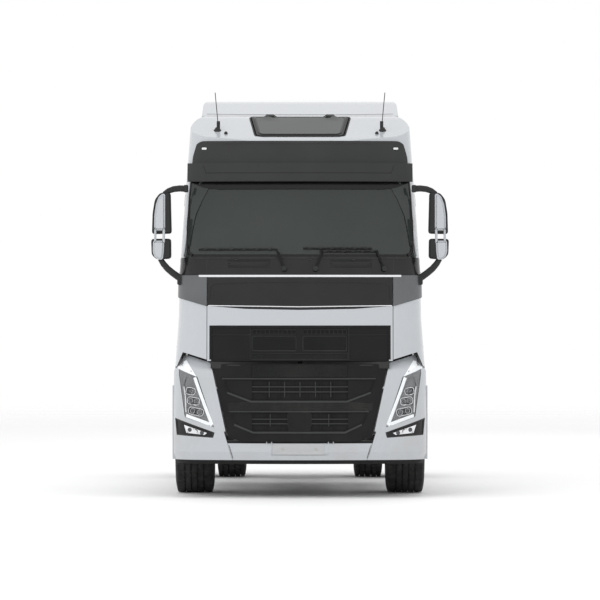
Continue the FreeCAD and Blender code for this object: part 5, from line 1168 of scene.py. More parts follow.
class TRUCK_OT_cowl_trim(bpy.types.Operator):
    """Adds the air slots, recesses and seams of the cowl and the bright bead under the lid panel"""

    bl_idname = "truck.cowl_trim"
    bl_label = "Cowl trim"

    def execute(self, context):
        skin = Skin("cowl")
        slots = Shape()
        for low, high in ((-0.70, -0.29), (0.29, 0.70)):
            field = [(low, 2.244), (high, 2.244), (high - 0.01, 2.29), (low + 0.01, 2.29)]
            slots.draped(rounded(field, 0.012), skin, 0.0016, 0.003, 0.08)
        slots.piece("cowl_recesses", "lid_panel_finish", "cab")
        lips = Shape()
        for low, high in ((-0.69, -0.30), (0.30, 0.69)):
            for z in (2.254, 2.266, 2.278):
                lips.strip([(low, z), (high, z)], skin, 0.005, 0.006, 0.002, step=0.1)
            lips.strip([(low, 2.312), (high, 2.312)], skin, 0.010, 0.004, 0.002, step=0.1)
        lips.piece("cowl_louvres", "dark_trim", "cab")
        seams = [[(1.07, 2.19), (1.07, 2.34)], [(0.91, 2.19), (0.915, 2.34)]]
        line_on("cowl_seams", skin, seams, 0.004, 0.0012, "rubber", "cab")
        line_on("cowl_edge", skin, [level(1.05, 2.338)], 0.012, 0.007, "rubber", "cab", both=False)
        lid = Skin("lid_panel", "lid_band")
        lower = [(x, z - 0.012 * (1 - abs(x) / 0.9)) for x, z in level(0.895, 1.876)]
        line_on("lid_panel_bead", lid, [lower], 0.010, 0.005, "bright_trim", "front_lid", both=False)
        crease = [[(0.0, 2.10), (0.45, 2.10), (0.83, 2.085), (0.87, 2.05), (0.875, 1.93)]]
        line_on("lid_panel_crease", lid, crease, 0.006, 0.003, "gloss_black", "front_lid")
        return {"FINISHED"}


class TRUCK_OT_upper_grille(bpy.types.Operator):
    """Fits the upper grille's slots, honeycomb, fine mesh and grooves"""

    bl_idname = "truck.upper_grille"
    bl_label = "Upper grille"

    def execute(self, context):
        sizes = options()
        places = [(x, z) for x in (-0.82, -0.6, -0.5, 0.5, 0.6, 0.82) for z in (1.36, 1.42, 1.5, 1.57, 1.65)]
        places += [(0.0, 1.42), (0.0, 1.5), (0.0, 1.62), (-0.25, 1.42), (0.25, 1.42)]
        skin = Bow(Skin("upper_grille"), places)
        mesh, fine, frames = Shape(), Shape(), Shape()
        for low, high in ((-0.466, -0.039), (0.029, 0.456)):
            field = [(low, 1.436), (high, 1.436), (high, 1.578), (low, 1.578)]
            honeycomb(mesh, field, skin, sizes.wide_cell, sizes.mesh_wall, 0.003, 0.012, 0.8)
            frames.strip(rounded(field, 0.02), skin, 0.009, 0.005, 0.004, closed=True, step=0.1)
            slot = panel((low, 1.598), (high, 1.64), 0.01)
            frames.strip(slot, skin, 0.006, 0.004, 0.003, closed=True, step=0.1)
            for k in range(9):
                x = low + (high - low) * (k + 1) / 10
                frames.strip([(x, 1.60), (x, 1.638)], skin, 0.006, 0.003, 0.003, step=0.05)
        field = [(-0.466, 1.356), (0.456, 1.356), (0.456, 1.404), (-0.466, 1.404)]
        honeycomb(fine, field, skin, sizes.fine_cell, sizes.mesh_wall * 0.7, 0.002, 0.006)
        foot = panel((-0.474, 1.35), (0.464, 1.41), 0.012)
        frames.strip(foot, skin, 0.006, 0.004, 0.003, closed=True, step=0.1)
        mesh.piece("upper_honeycomb", "dark_trim", "front_lid")
        fine.piece("upper_fine_mesh", "dark_trim", "front_lid")
        for line in ([(0.456, 1.59), (0.86, 1.59)], [(-0.466, 1.59), (-0.86, 1.59)],
                     [(0.475, 1.66), (0.475, 1.35)], [(-0.485, 1.66), (-0.485, 1.35)]):
            frames.strip(line, skin, 0.007, 0.004, 0.003, step=0.1)
        frames.piece("upper_grille_frames", "dark_trim", "front_lid")
        ends = Shape()
        for sign in (1, -1):
            for low, high in ((1.355, 1.582), (1.598, 1.655)):
                field = [(sign * 0.49, low), (sign * 0.855, low), (sign * 0.86, high), (sign * 0.49, high)]
                ends.draped(rounded(field, 0.012), skin, 0.0025, 0.004, 0.1)
        ends.piece("upper_grille_ends", "grille_plastic", "front_lid")
        edge = [(-0.872, 1.350), (-0.872, 1.670), (0.872, 1.670), (0.872, 1.350)]
        line_on("upper_grille_edge", Skin("upper_grille", "lid_band"), [edge], 0.024, 0.0025,
                "grille_plastic", "front_lid", both=False)
        return {"FINISHED"}


class TRUCK_OT_lower_grille(bpy.types.Operator):
    """Fits the lower grille's openings, bars and mesh, and the dark plates of painted shade behind the gaps
    round it
    """

    bl_idname = "truck.lower_grille"
    bl_label = "Lower grille"

    def execute(self, context):
        sizes = options()
        places = [(x, 0.60) for x in (-0.4, 0.0, 0.4)] + [(x, 0.90) for x in (-0.65, -0.3, 0.0, 0.3, 0.65)]
        places += [(x, 1.166) for x in (-0.7, -0.3, 0.0, 0.3, 0.7)] + [(-0.6, 1.24), (0.6, 1.24)]
        skin = Bow(Skin("lower_grille"), places)
        fine, frames, edges = Shape(), Shape(), Shape()
        wall = sizes.mesh_wall * 0.7
        high_field = [(-0.466, 1.183), (0.456, 1.183), (0.456, 1.30), (-0.466, 1.30)]
        band = [(-0.70, 0.855), (0.70, 0.855), (0.72, 0.93), (0.47, 0.935), (-0.47, 0.935), (-0.72, 0.93)]
        for field in (high_field, band):
            honeycomb(fine, field, skin, sizes.fine_cell, wall, 0.003, 0.006)
        fine.piece("lower_fine_mesh", "dark_trim", "grille_flap")
        border = panel((-0.474, 1.176), (0.464, 1.305), 0.014)
        frames.strip(border, skin, 0.008, 0.005, 0.004, closed=True, step=0.1)
        # The edge strips carry painted highlight: a lighter charcoal where the raised edges catch the light.
        for z in (1.085, 1.036, 0.771, 0.726):
            edges.strip([(-0.466, z), (0.466, z)], skin, 0.009, -0.003, 0.006, step=0.1)
        for uprights, low, high in (((-0.30, -0.15, 0.0, 0.15, 0.30), 0.985, 1.135),
                                    ((-0.29, -0.118, 0.108, 0.28), 0.70, 0.82)):
            for x in uprights:
                edges.strip([(x, low), (x, high)], skin, 0.008, -0.003, 0.006, step=0.1)
        for outline in (
            [(-0.757, 1.163), (-0.709, 1.027), (-0.476, 0.94), (0.456, 0.94), (0.689, 1.027), (0.738, 1.163)],
            [(-0.689, 0.843), (-0.641, 0.716), (-0.456, 0.639), (0.437, 0.639), (0.602, 0.716),
             (0.67, 0.843)],
        ):
            frames.strip(rounded(outline, 0.03), skin, 0.010, 0.004, 0.004, closed=True, step=0.1)
            left, foot_left, low_left, low_right, foot_right, right = outline
            edges.strip([left, right], skin, 0.014, 0.009, 0.004, step=0.1)
            edges.strip([foot_left, low_left, low_right, foot_right], skin, 0.020, 0.009, 0.004, step=0.05)
        frames.piece("lower_grille_frames", "grille_plastic", "grille_flap")
        edges.piece("lower_grille_edge_highlights", "painted_edge_highlight", "grille_flap")
        # Dark plates behind the gaps round the grilles are painted shade: they hide the pale walls that would
        # show through.
        seal = Shape()
        for low_x, high_x, low_z, high_z, face in ((-0.872, -0.02, 1.262, 1.330, -2.884),
                                                   (0.02, 0.872, 1.262, 1.330, -2.884),
                                                   (-1.106, -0.25, 1.28, 1.412, -2.620),
                                                   (0.25, 1.106, 1.28, 1.412, -2.620)):
            field = [(low_x, low_z), (high_x, low_z), (high_x, high_z), (low_x, high_z)]
            seal.plate(field, "y", face, face + 0.008, 0.002, 1)
        seal.piece("gap_shade_plates", "rubber", "chassis")
        middle = Shape().draped(panel((-0.117, 0.65), (0.107, 0.84), 0.015), skin, 0.007, 0.008, 0.08)
        middle.piece("lower_grille_middle", "grille_plastic", "grille_flap", bevel=0.003)
        notches = Shape()
        for sign in (1, -1):
            field = [(sign * 0.573, 1.29), (sign * 0.718, 1.29), (sign * 0.70, 1.30), (sign * 0.59, 1.30)]
            notches.draped(rounded(field, 0.008), skin, 0.002, 0.004, 0.08)
        notches.piece("lower_grille_notches", "rubber", "grille_flap")
        return {"FINISHED"}


LAMP_EDGE = [(1.180, 1.316), (1.006, 1.178), (0.842, 0.694), (1.120, 0.790), (1.178, 1.21)]
WING = [(1.107, 1.338), (1.184, 1.309), (1.194, 1.26), (1.13, 1.232), (1.010, 1.182)]


def lamp_unit(cups, lenses, rims, skin, x, z, width, height, slope):
    """One dark cup with its bright rim and its lenses."""
    turn = Matrix.Rotation(math.radians(slope), 2)
    a, b = width / 2, height / 2
    corners = [turn @ Vector(p) for p in ((-a, -b), (a, -b), (a, b), (-a, b))]
    outline = rounded([(x + p.x, z + p.y) for p in corners], b * 0.95, 6)
    cups.draped(outline, skin, 0.0045, 0.003, 0.03)
    rims.strip(outline, skin, 0.0085, 0.010, 0.002, closed=True, step=0.02)
    count = 2 if width > 0.1 else 1
    for k in range(count):
        place = turn @ Vector(((k - (count - 1) / 2) * width * 0.46, 0.0))
        point, normal = skin.front(x + place.x, z + place.y)
        base = point + normal * 0.005
        radius = b * 0.62
        dome = [(-0.002, 1.0), (0.002, 0.96), (0.005, 0.75), (0.0065, 0.4), (0.007, 0.0)]
        lenses.turned([(along, radius * share) for along, share in dome], base, normal, 28)
        rims.turned([(-0.002, radius * 1.12), (0.003, radius * 1.10), (0.003, radius)], base, normal, 28)


BOWL = [(1.034, 1.160), (1.112, 1.178), (1.136, 1.100), (1.104, 0.985), (1.092, 0.808), (0.874, 0.734)]


class Cover:
    """The smooth surface of a lamp's cover: the skin outside the bowl, bridged from rim to rim over it."""

    def __init__(self, skin):
        self.skin = skin

    def front(self, x, z):
        """The cover's point at x and z, and its direction."""
        size = abs(x)
        if not within(BOWL, size, z):
            return self.skin.front(x, z)
        ends = []
        for (x1, z1), (x2, z2) in zip(BOWL, BOWL[1:] + BOWL[:1]):
            if (z1 > z) != (z2 > z):
                ends.append(x1 + (x2 - x1) * (z - z1) / (z2 - z1))
        low, high = min(ends) - 0.006, max(ends) + 0.006
        side = 1 if x > 0 else -1
        near, near_way = self.skin.front(side * low, z)
        far, far_way = self.skin.front(side * high, z)
        share = (size - low) / (high - low)
        smooth = share * share * (3 - 2 * share)
        bend = near_way.lerp(far_way, smooth).normalized()
        deep = near.y + (far.y - near.y) * (share * 0.6 + share * share * 0.4)
        return Vector((x, deep, z)), bend


class TRUCK_OT_head_lamps(bpy.types.Operator):
    """Builds the head lamps: wing, light guides, three units a side and the clear covers"""

    bl_idname = "truck.head_lamps"
    bl_label = "Head lamps"

    def execute(self, context):
        skin = Skin("front_lamps", "corner_panels")
        cover = Cover(skin)
        wing = Shape().draped(WING, skin, 0.004, 0.005, 0.03).mirrored()
        wing.piece("lamp_wings", "light_guide", "chassis", bevel=0.001)
        guide = Shape()
        for line in ([(1.026, 1.174), (0.985, 1.055), (0.92, 0.88), (0.857, 0.712)],
                     [(0.857, 0.712), (0.98, 0.757), (1.108, 0.802)]):
            guide.strip(line, skin, 0.032, 0.007, 0.003, step=0.02)
        guide.mirrored().piece("light_guides", "light_guide", "chassis")
        cups, lenses, rims = Shape(), Shape(), Shape()
        for x, z, width, height, slope in ((1.064, 1.040, 0.088, 0.066, 10), (1.036, 0.945, 0.118, 0.070, 10),
                                           (1.012, 0.842, 0.146, 0.070, 12)):
            lamp_unit(cups, lenses, rims, skin, x, z, width, height, slope)
        rims.strip([(1.132, 1.085), (1.118, 0.99), (1.112, 0.835)], skin, 0.012, 0.006, 0.002, step=0.03)
        cups.mirrored().piece("lamp_cups", "grille_plastic", "chassis")
        lenses.mirrored().piece("lamp_lenses", "lens", "chassis")
        rims.mirrored().piece("lamp_rims", "lamp_silver", "chassis")
        glass = Shape().draped(LAMP_EDGE, cover, 0.0125, 0.002, 0.02).mirrored()
        glass.piece("lamp_covers", "lamp_glass", "chassis")
        seam = Shape().strip(LAMP_EDGE, skin, 0.0045, 0.003, 0.002, closed=True)
        seam.mirrored().piece("lamp_seams", "rubber", "chassis")
        field = [(0.905, 0.634), (1.132, 0.712), (1.106, 0.634), (0.93, 0.616)]
        glow = Shape().draped(field, skin, 0.003, 0.002, 0.02)
        glow.mirrored().piece("low_lamp_glow", "lamp_silver", "chassis")
        low = Shape()
        bowl = [(-0.002, 0.020), (0.008, 0.020), (0.008, 0.016), (0.004, 0.010), (0.003, 0.0)]
        for x, z in ((0.955, 0.636), (1.015, 0.650), (1.075, 0.665)):
            low.turned_on(skin, x, z, bowl)
        low.mirrored().piece("low_lamp_reflectors", "lens", "chassis")
        edge = [(1.206, 0.768), (0.840, 0.642), (0.852, 0.594), (1.196, 0.616)]
        border = Shape().strip(edge, skin, 0.014, 0.006, 0.003, closed=True)
        border.mirrored().piece("low_lamp_frames", "dark_trim", "chassis")
        return {"FINISHED"}


class TRUCK_OT_bumper_trim(bpy.types.Operator):
    """Adds the plate recess, the blank plate, its screws and the seams to the bumper"""

    bl_idname = "truck.bumper_trim"
    bl_label = "Bumper trim"

    def execute(self, context):
        skin = Skin("bumper", "corner_panels")
        recess = rounded([(-0.285, 0.42), (0.255, 0.42), (0.262, 0.538), (-0.292, 0.538)], 0.012)
        plate = Shape().draped(recess, skin, 0.0015, 0.003, 0.08)
        plate.piece("plate_recess", "body_paint", "chassis", bevel=0.001)
        blank = Shape().draped(panel((-0.265, 0.428), (0.235, 0.53), 0.01), skin, 0.005, 0.003, 0.08)
        blank.piece("blank_plate", "white_plate", "chassis", bevel=0.001)
        screws = Shape()
        for x in (-0.17, 0.16):
            cap = [(0.004, 0.0), (0.004, 0.010), (0.0075, 0.010), (0.009, 0.007), (0.009, 0.0)]
            screws.turned_on(skin, x, 0.48, cap, 20)
        screws.piece("plate_screws", "zinc", "chassis")
        line_on("bumper_seams", skin, [[(0.709, 0.580), (0.652, 0.388)]], 0.006, 0.0015, "rubber", "chassis")
        return {"FINISHED"}


class TRUCK_OT_visor_trim(bpy.types.Operator):
    """Adds the visor's seams, marker lamps and the sign panel's outline"""

    bl_idname = "truck.visor_trim"
    bl_label = "Visor trim"

    def execute(self, context):
        skin = Skin("sun_visor")
        sign = [(-0.777, 3.515), (-0.757, 3.465), (0.689, 3.465), (0.718, 3.515)]
        line_on("sign_panel_seam", skin, [sign], 0.006, 0.0022, "rubber", "cab", both=False)
        hood = [(-0.951, 3.25), (-0.922, 3.175), (0.893, 3.175), (0.922, 3.25)]
        line_on("visor_inset", skin, [hood], 0.007, 0.003, "gloss_black", "cab", both=False)
        line_on("visor_edge", skin, [level(1.08, 3.098)], 0.010, 0.004, "rubber", "cab", both=False)
        lamps, bases = Shape(), Shape()
        for x in (-0.94, 0.94):
            outline = panel((x - 0.024, 3.405), (x + 0.024, 3.427), 0.010)
            bases.strip(outline, skin, 0.008, 0.005, 0.002, closed=True)
            lamps.draped(outline, skin, 0.008, 0.009, 0.04)
        bases.piece("marker_lamp_rims", "rubber", "cab")
        lamps.piece("marker_lamps", "white_lens", "cab", bevel=0.003)
        return {"FINISHED"}


class TRUCK_OT_roof_fittings(bpy.types.Operator):
    """Glazes the roof hatch and adds its seal, the aerials' boots, two caps and the deflector's bolts"""

    bl_idname = "truck.roof_fittings"
    bl_label = "Roof fittings"

    def execute(self, context):
        skin = Skin("roof_hatch")
        edge = rounded([(-0.395, -2.475), (0.395, -2.475), (0.452, -2.05), (-0.452, -2.05)], 0.05)
        Shape().draped(edge, skin, 0.004, 0.004, 0.06, "top").piece("hatch_pane", "roof_glass", "hatch")
        ring = Shape().strip(edge, skin, 0.026, 0.0055, 0.003, "top", closed=True)
        ring.piece("hatch_border", "frit", "hatch")
        shell = Skin("cab_shell", "roof_hatch")
        frame_line = rounded([(-0.44, -2.512), (0.44, -2.512), (0.503, -2.012), (-0.503, -2.012)], 0.055)
        seal = Shape().strip(frame_line, shell, 0.014, 0.005, 0.004, "top", closed=True)
        seal.piece("hatch_seal", "rubber", "cab")
        bosses = Shape()
        boot = [(0.0, 0.036), (0.006, 0.036), (0.012, 0.028), (0.030, 0.020), (0.036, 0.0)]
        for x in (-0.815, 0.815):
            bosses.turned_on(shell, x, -2.36, boot, 28, "top")
        cap = [(0.0, 0.018), (0.012, 0.017), (0.022, 0.010), (0.026, 0.0)]
        for x in (-0.73, 0.757):
            bosses.turned_on(shell, x, -2.44, cap, 20, "top")
        bosses.piece("roof_bosses", "rubber", "cab")
        roof = Skin("roof_fairing")
        line = [(-0.93, -1.87), (-0.6, -1.885), (0.0, -1.888), (0.6, -1.885), (0.93, -1.87)]
        seam = Shape().strip(line, roof, 0.006, 0.0015, 0.002, "top")
        seam.piece("deflector_seam", "rubber", "cab")
        bolts = Shape()
        for x in (-0.94, 0.94):
            for y in (-1.7, -1.35, -1.0):
                point, normal = roof.side(y, 3.87, 1 if x > 0 else -1)
                bolts.bolt(point, normal, 0.009, 0.006)
        bolts.piece("deflector_bolts", "zinc", "cab")
        return {"FINISHED"}


class TRUCK_OT_wiper_blades(bpy.types.Operator):
    """Adds rubber edges, links and pivot caps to the wipers, and the washer jets"""

    bl_idname = "truck.wiper_blades"
    bl_label = "Wiper blades"

    def execute(self, context):
        glass = Skin("windscreen")
        rubber_edge, links, caps = Shape(), Shape(), Shape()
        spans = (((-0.985, -0.232), 2.424), ((0.034, 0.696), 2.434), ((0.194, 0.744), 2.404))
        for (low, high), height in spans:
            count = 24
            places = [glass.front(low + (high - low) * i / count, height - 0.010) for i in range(count + 1)]
            path = [point + normal * 0.005 for point, normal in places]
            section = [(-0.004, -0.004), (0.004, -0.004), (0.0015, 0.006), (-0.0015, 0.006)]
            rubber_edge.sweep(section, path, [normal for point, normal in places])
            for i in range(6):
                x = low + (high - low) * (i + 0.5) / 6
                point, normal = glass.front(x, height)
                low_corner = point + normal * 0.022 + Vector((-0.018, -0.005, -0.0095))
                links.box(low_corner, low_corner + Vector((0.036, 0.009, 0.019)), 0.003)
        arms = Shape()
        wipers = Skin("wipers")
        for foot, head in ((-0.157, -0.216), (0.152, 0.217), (0.818, 0.740)):
            arms.strip([(foot, 2.245), (head, 2.398)], wipers, 0.028, 0.006, 0.002, step=0.04)
        arms.piece("wiper_arm_covers", "grille_plastic", "cab", bevel=0.002)
        rubber_edge.piece("wiper_rubbers", "rubber", "cab")
        links.piece("wiper_links", "dark_trim", "cab")
        cowl = Skin("cowl", "wipers")
        for x in (-0.155, 0.152, 0.825):
            caps.turned_on(cowl, x, 2.238, [(-0.002, 0.027), (0.006, 0.026), (0.012, 0.020), (0.015, 0.0)])
        caps.piece("wiper_caps", "dark_trim", "cab", bevel=0.001)
        jets = Shape()
        band = Skin("cowl")
        for x in (-0.62, 0.10, 0.52):
            point, normal = band.front(x, 2.322)
            jets.box(point + Vector((-0.014, -0.012, -0.006)), point + Vector((0.014, 0.004, 0.007)), 0.003)
        jets.piece("washer_jets", "rubber", "cab")
        return {"FINISHED"}


def tapered(shape, path, radii, steps=16):
    """A round arm whose radius changes along its path."""
    path = [Vector(p) for p in path]
    rows = []
    for i, (point, radius) in enumerate(zip(path, radii)):
        way = (path[min(i + 1, len(path) - 1)] - path[max(i - 1, 0)]).normalized()
        side = way.cross(ALONG).normalized()
        turns = [math.tau * k / steps for k in range(steps)]
        flat = ALONG * 0.8
        rows.append(shape.loop(point + (side * math.cos(a) + flat * math.sin(a)) * radius for a in turns))
    shape.skin_rows(rows, around=True, caps=True)


def mirror_heads():
    """The four mirror heads with caps, housings, arms and glass."""
    caps, housings, glasses, arms = Shape(), Shape(), Shape(), Shape()
    near, far = -2.672, -2.544
    upper = [(1.258, 2.580), (1.452, 2.576), (1.446, 2.78), (1.424, 2.915), (1.372, 2.982), (1.268, 2.984)]
    lower = [(1.262, 2.336), (1.402, 2.324), (1.455, 2.372), (1.460, 2.530), (1.264, 2.532)]
    for outline in (upper, lower):
        housings.plate(rounded(outline, 0.03), "y", near + 0.022, far - 0.010, 0.016, 3)
        middle_x = sum(p[0] for p in outline) / len(outline)
        middle_z = sum(p[1] for p in outline) / len(outline)
        inner = [(middle_x + (a - middle_x) * 0.88, middle_z + (b - middle_z) * 0.93) for a, b in outline]
        glasses.plate(rounded(inner, 0.025), "y", far - 0.012, far - 0.0065, 0.0015)
    upper_cap = [(1.322, 2.612), (1.430, 2.612), (1.428, 2.76), (1.412, 2.87), (1.384, 2.945), (1.344, 2.975),
                 (1.322, 2.965)]
    lower_cap = [(1.330, 2.512), (1.440, 2.512), (1.444, 2.40), (1.426, 2.35), (1.392, 2.326), (1.346, 2.326),
                 (1.336, 2.40)]
    for outline in (upper_cap, lower_cap):
        caps.plate(rounded(outline, 0.02), "y", near, far - 0.05, 0.018, 4)
    inner_bridge = [(1.326, 2.49), (1.350, 2.49), (1.346, 2.64), (1.322, 2.64)]
    outer_bridge = [(1.410, 2.49), (1.432, 2.49), (1.428, 2.64), (1.408, 2.64)]
    for outline in (inner_bridge, outer_bridge):
        caps.plate(rounded(outline, 0.008), "y", near + 0.012, far - 0.06, 0.006, 2)
    middle = (near + far) / 2
    high = [(1.345, middle, 2.945), (1.325, middle, 2.975), (1.290, middle - 0.002, 3.000),
            (1.240, middle - 0.008, 3.018), (1.180, middle - 0.024, 3.024), (1.112, middle - 0.040, 3.020)]
    low = [(1.372, middle, 2.335), (1.340, middle, 2.285), (1.300, middle, 2.238),
           (1.250, middle - 0.002, 2.196), (1.200, middle - 0.006, 2.160), (1.150, middle - 0.012, 2.128)]
    tapered(arms, high, (0.022, 0.026, 0.028, 0.030, 0.031, 0.032))
    tapered(arms, low, (0.026, 0.030, 0.032, 0.033, 0.034, 0.034))
    arms.box((1.095, middle - 0.075, 2.985), (1.140, middle + 0.012, 3.058), 0.012, 3)
    arms.box((1.140, middle - 0.050, 2.078), (1.204, middle + 0.028, 2.170), 0.014, 3)
    return caps, housings, glasses, arms


class TRUCK_OT_mirrors(bpy.types.Operator):
    """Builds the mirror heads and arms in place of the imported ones"""

    bl_idname = "truck.mirrors"
    bl_label = "Mirrors"

    def execute(self, context):
        caps, housings, glasses, arms = mirror_heads()
        caps.mirrored().piece("mirror_caps", "body_paint", "cab", 40.0)
        housings.mirrored().piece("mirror_housings", "dark_trim", "cab", 40.0)
        glasses.mirrored().piece("mirror_glasses", "mirror_glass", "cab")
        arms.mirrored().piece("mirror_arms", "dark_trim", "cab", 40.0, replaces=["mirrors"])
        return {"FINISHED"}


class TRUCK_OT_door_trim(bpy.types.Operator):
    """Adds window borders, seals, key barrels, creases and inner panels to the doors"""

    bl_idname = "truck.door_trim"
    bl_label = "Door trim"

    def execute(self, context):
        sizes = options()
        for hand, body, door, glass in ((1, "door_l", "door_left", "door_glass_left"),
                                        (-1, "door_r", "door_right", "door_glass_right")):
            side = "left" if hand > 0 else "right"
            shell = Skin(door, glass)
            window = rounded([(-2.43, 2.295), (-1.655, 2.295), (-1.655, 3.03), (-2.325, 3.03)], 0.085, 6)
            width = sizes.border_width * 0.7
            border = Shape().strip(window, Skin(glass), width, 0.0012, 0.0006, "side", hand, closed=True)
            border.piece("window_border_" + side, "frit", body)
            seal = Shape().strip(window, shell, sizes.seal_width, 0.004, 0.003, "side", hand, closed=True)
            seal.piece("window_seal_" + side, "rubber", body)
            keyhole = [(-0.002, 0.016), (0.004, 0.015), (0.005, 0.010), (0.0035, 0.009), (0.0035, 0.0)]
            barrel = Shape().turned_on(shell, -1.66, 2.05, keyhole, 24, "side", hand)
            barrel.piece("key_barrel_" + side, "zinc", body)
            crease = Shape()
            for z in (1.47, 2.20):
                crease.strip([(-2.50, z), (-1.60, z)], shell, 0.010, 0.004, 0.002, "side", hand, step=0.05)
            crease.piece("door_creases_" + side, "body_paint", body)
            lining = Shape()
            for deep, low, high, bevel, segments in (
                (0.012, (-2.42, 1.56), (-1.66, 2.22), 0.005, 2),
                (0.045, (-2.25, 1.98), (-1.78, 2.03), 0.012, 3),
                (0.045, (-2.30, 1.58), (-1.75, 1.74), 0.012, 3),
            ):
                inner, outer = sorted((hand * 1.112 - hand * deep, hand * 1.112))
                lining.box((inner, *low), (outer, *high), bevel, segments)
            lining.piece("door_lining_" + side, "cabin_grey", body)
        return {"FINISHED"}


class TRUCK_OT_side_lamps(bpy.types.Operator):
    """Fits side marker lamps on the entry steps"""

    bl_idname = "truck.side_lamps"
    bl_label = "Side lamps"

    def execute(self, context):
        outline = panel((-2.59, 0.985), (-2.49, 1.02), 0.012)
        lamp = Shape().draped(outline, Skin("entry_steps"), 0.006, 0.007, 0.04, "side")
        lamp.mirrored().piece("side_repeaters", "amber_lens", "chassis", bevel=0.002)
        return {"FINISHED"}


# Tyres and wheels


def tyre_rows(sizes, centre, radius, half, blocks):
    """Cross sections of a tyre round its axle, with ribs, grooves and fine cuts."""
    if blocks:
        grooves = (-0.094, -0.034, 0.034, 0.094)
    else:
        grooves = tuple((k - 1.5) * sizes.groove_spacing for k in range(4))
    wall = [(0.80, 0.287), (0.86, 0.292), (0.915, 0.306), (0.945, 0.318), (0.95, 0.324), (0.958, 0.334),
            (0.985, 0.362), (0.998, 0.395), (1.0, 0.412), (0.994, 0.4135), (0.994, 0.4175), (0.999, 0.419),
            (0.992, 0.445), (0.974, 0.472), (0.968, 0.4735), (0.966, 0.478), (0.962, 0.4795), (0.938, 0.502),
            (0.912, 0.520), (0.885, 0.5285)]
    crown = half * 0.87
    rows = []
    for pitch in range(sizes.pitches):
        for k, share in enumerate((0.0, 0.05, 0.13, 0.18, 0.5, 0.55, 0.63, 0.68)):
            angle = math.tau * (pitch + share) / sizes.pitches
            shift = 0.0022 * (1 if k < 4 else -1)
            ribs = []
            edges = [-crown] + [g + shift for g in grooves] + [crown]
            for rib, (low, high) in enumerate(zip(edges, edges[1:])):
                start = low + (sizes.groove_width / 2 if rib else 0)
                end = high - (sizes.groove_width / 2 if rib < len(grooves) else 0)
                cut = k in ((1, 2) if rib % 2 else (5, 6))
                drop = (sizes.block_depth if blocks else sizes.sipe_depth) if cut else 0.0
                if not blocks and rib in (0, len(grooves)):
                    drop = sizes.sipe_depth * 1.6 if k in (1, 2) else 0.0
                for a in (start, (start + end) / 2, end):
                    ribs.append((a, radius - 0.006 * (a / half) ** 2 - drop))
                if rib < len(grooves):
                    floor = radius - sizes.groove_depth * (1.25 if blocks else 1.0)
                    ribs.append((end + 0.0012, floor))
                    ribs.append((high + sizes.groove_width / 2 - 0.0012, floor))
            shoulder = 0.004 if k in (1, 2, 5, 6) else 0.0
            section = [(-a * half, r + radius - WHEEL_HEIGHT) for a, r in wall[:-3]]
            section += [(-a * half, r + radius - WHEEL_HEIGHT - shoulder) for a, r in wall[-3:]]
            section += ribs
            section += [(a * half, r + radius - WHEEL_HEIGHT - shoulder) for a, r in reversed(wall[-3:])]
            section += [(a * half, r + radius - WHEEL_HEIGHT) for a, r in reversed(wall[:-3])]
            rows.append([centre + Vector((a, math.cos(angle) * r, math.sin(angle) * r)) for a, r in section])
    return rows


def tyre(shape, centre, radius, width, blocks=False):
    """One tyre, with ribs or with blocks."""
    sizes = bpy.context.scene.tractor_tyres
    rows = [shape.loop(row) for row in tyre_rows(sizes, Vector(centre), radius, width / 2, blocks)]
    shape.skin_rows(rows + [rows[0]], around=True)
    return shape


class TRUCK_OT_tyres(bpy.types.Operator):
    """Builds the tyres with their tread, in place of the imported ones"""

    bl_idname = "truck.tyres"
    bl_label = "Tyres"

    def execute(self, context):
        for hand, side, body in ((1, "left", "wheel_fl"), (-1, "right", "wheel_fr")):
            centre = (hand * FRONT_TRACK, FRONT_AXLE, WHEEL_HEIGHT)
            made = tyre(Shape(), centre, WHEEL_HEIGHT, FRONT_TYRE_WIDTH)
            made.piece("front_tread_" + side, "tyre_rubber", body, 28.0, replaces=["front_tyre_" + side])
        for hand, side, body in ((1, "left", "wheel_rl"), (-1, "right", "wheel_rr")):
            made = Shape()
            for track in REAR_TRACKS:
                centre = (hand * track, REAR_AXLE, REAR_WHEEL_HEIGHT)
                tyre(made, centre, REAR_WHEEL_HEIGHT, REAR_TYRE_WIDTH, blocks=True)
            made.piece("rear_tread_" + side, "tyre_rubber", body, 28.0, replaces=["rear_tyres_" + side])
        return {"FINISHED"}


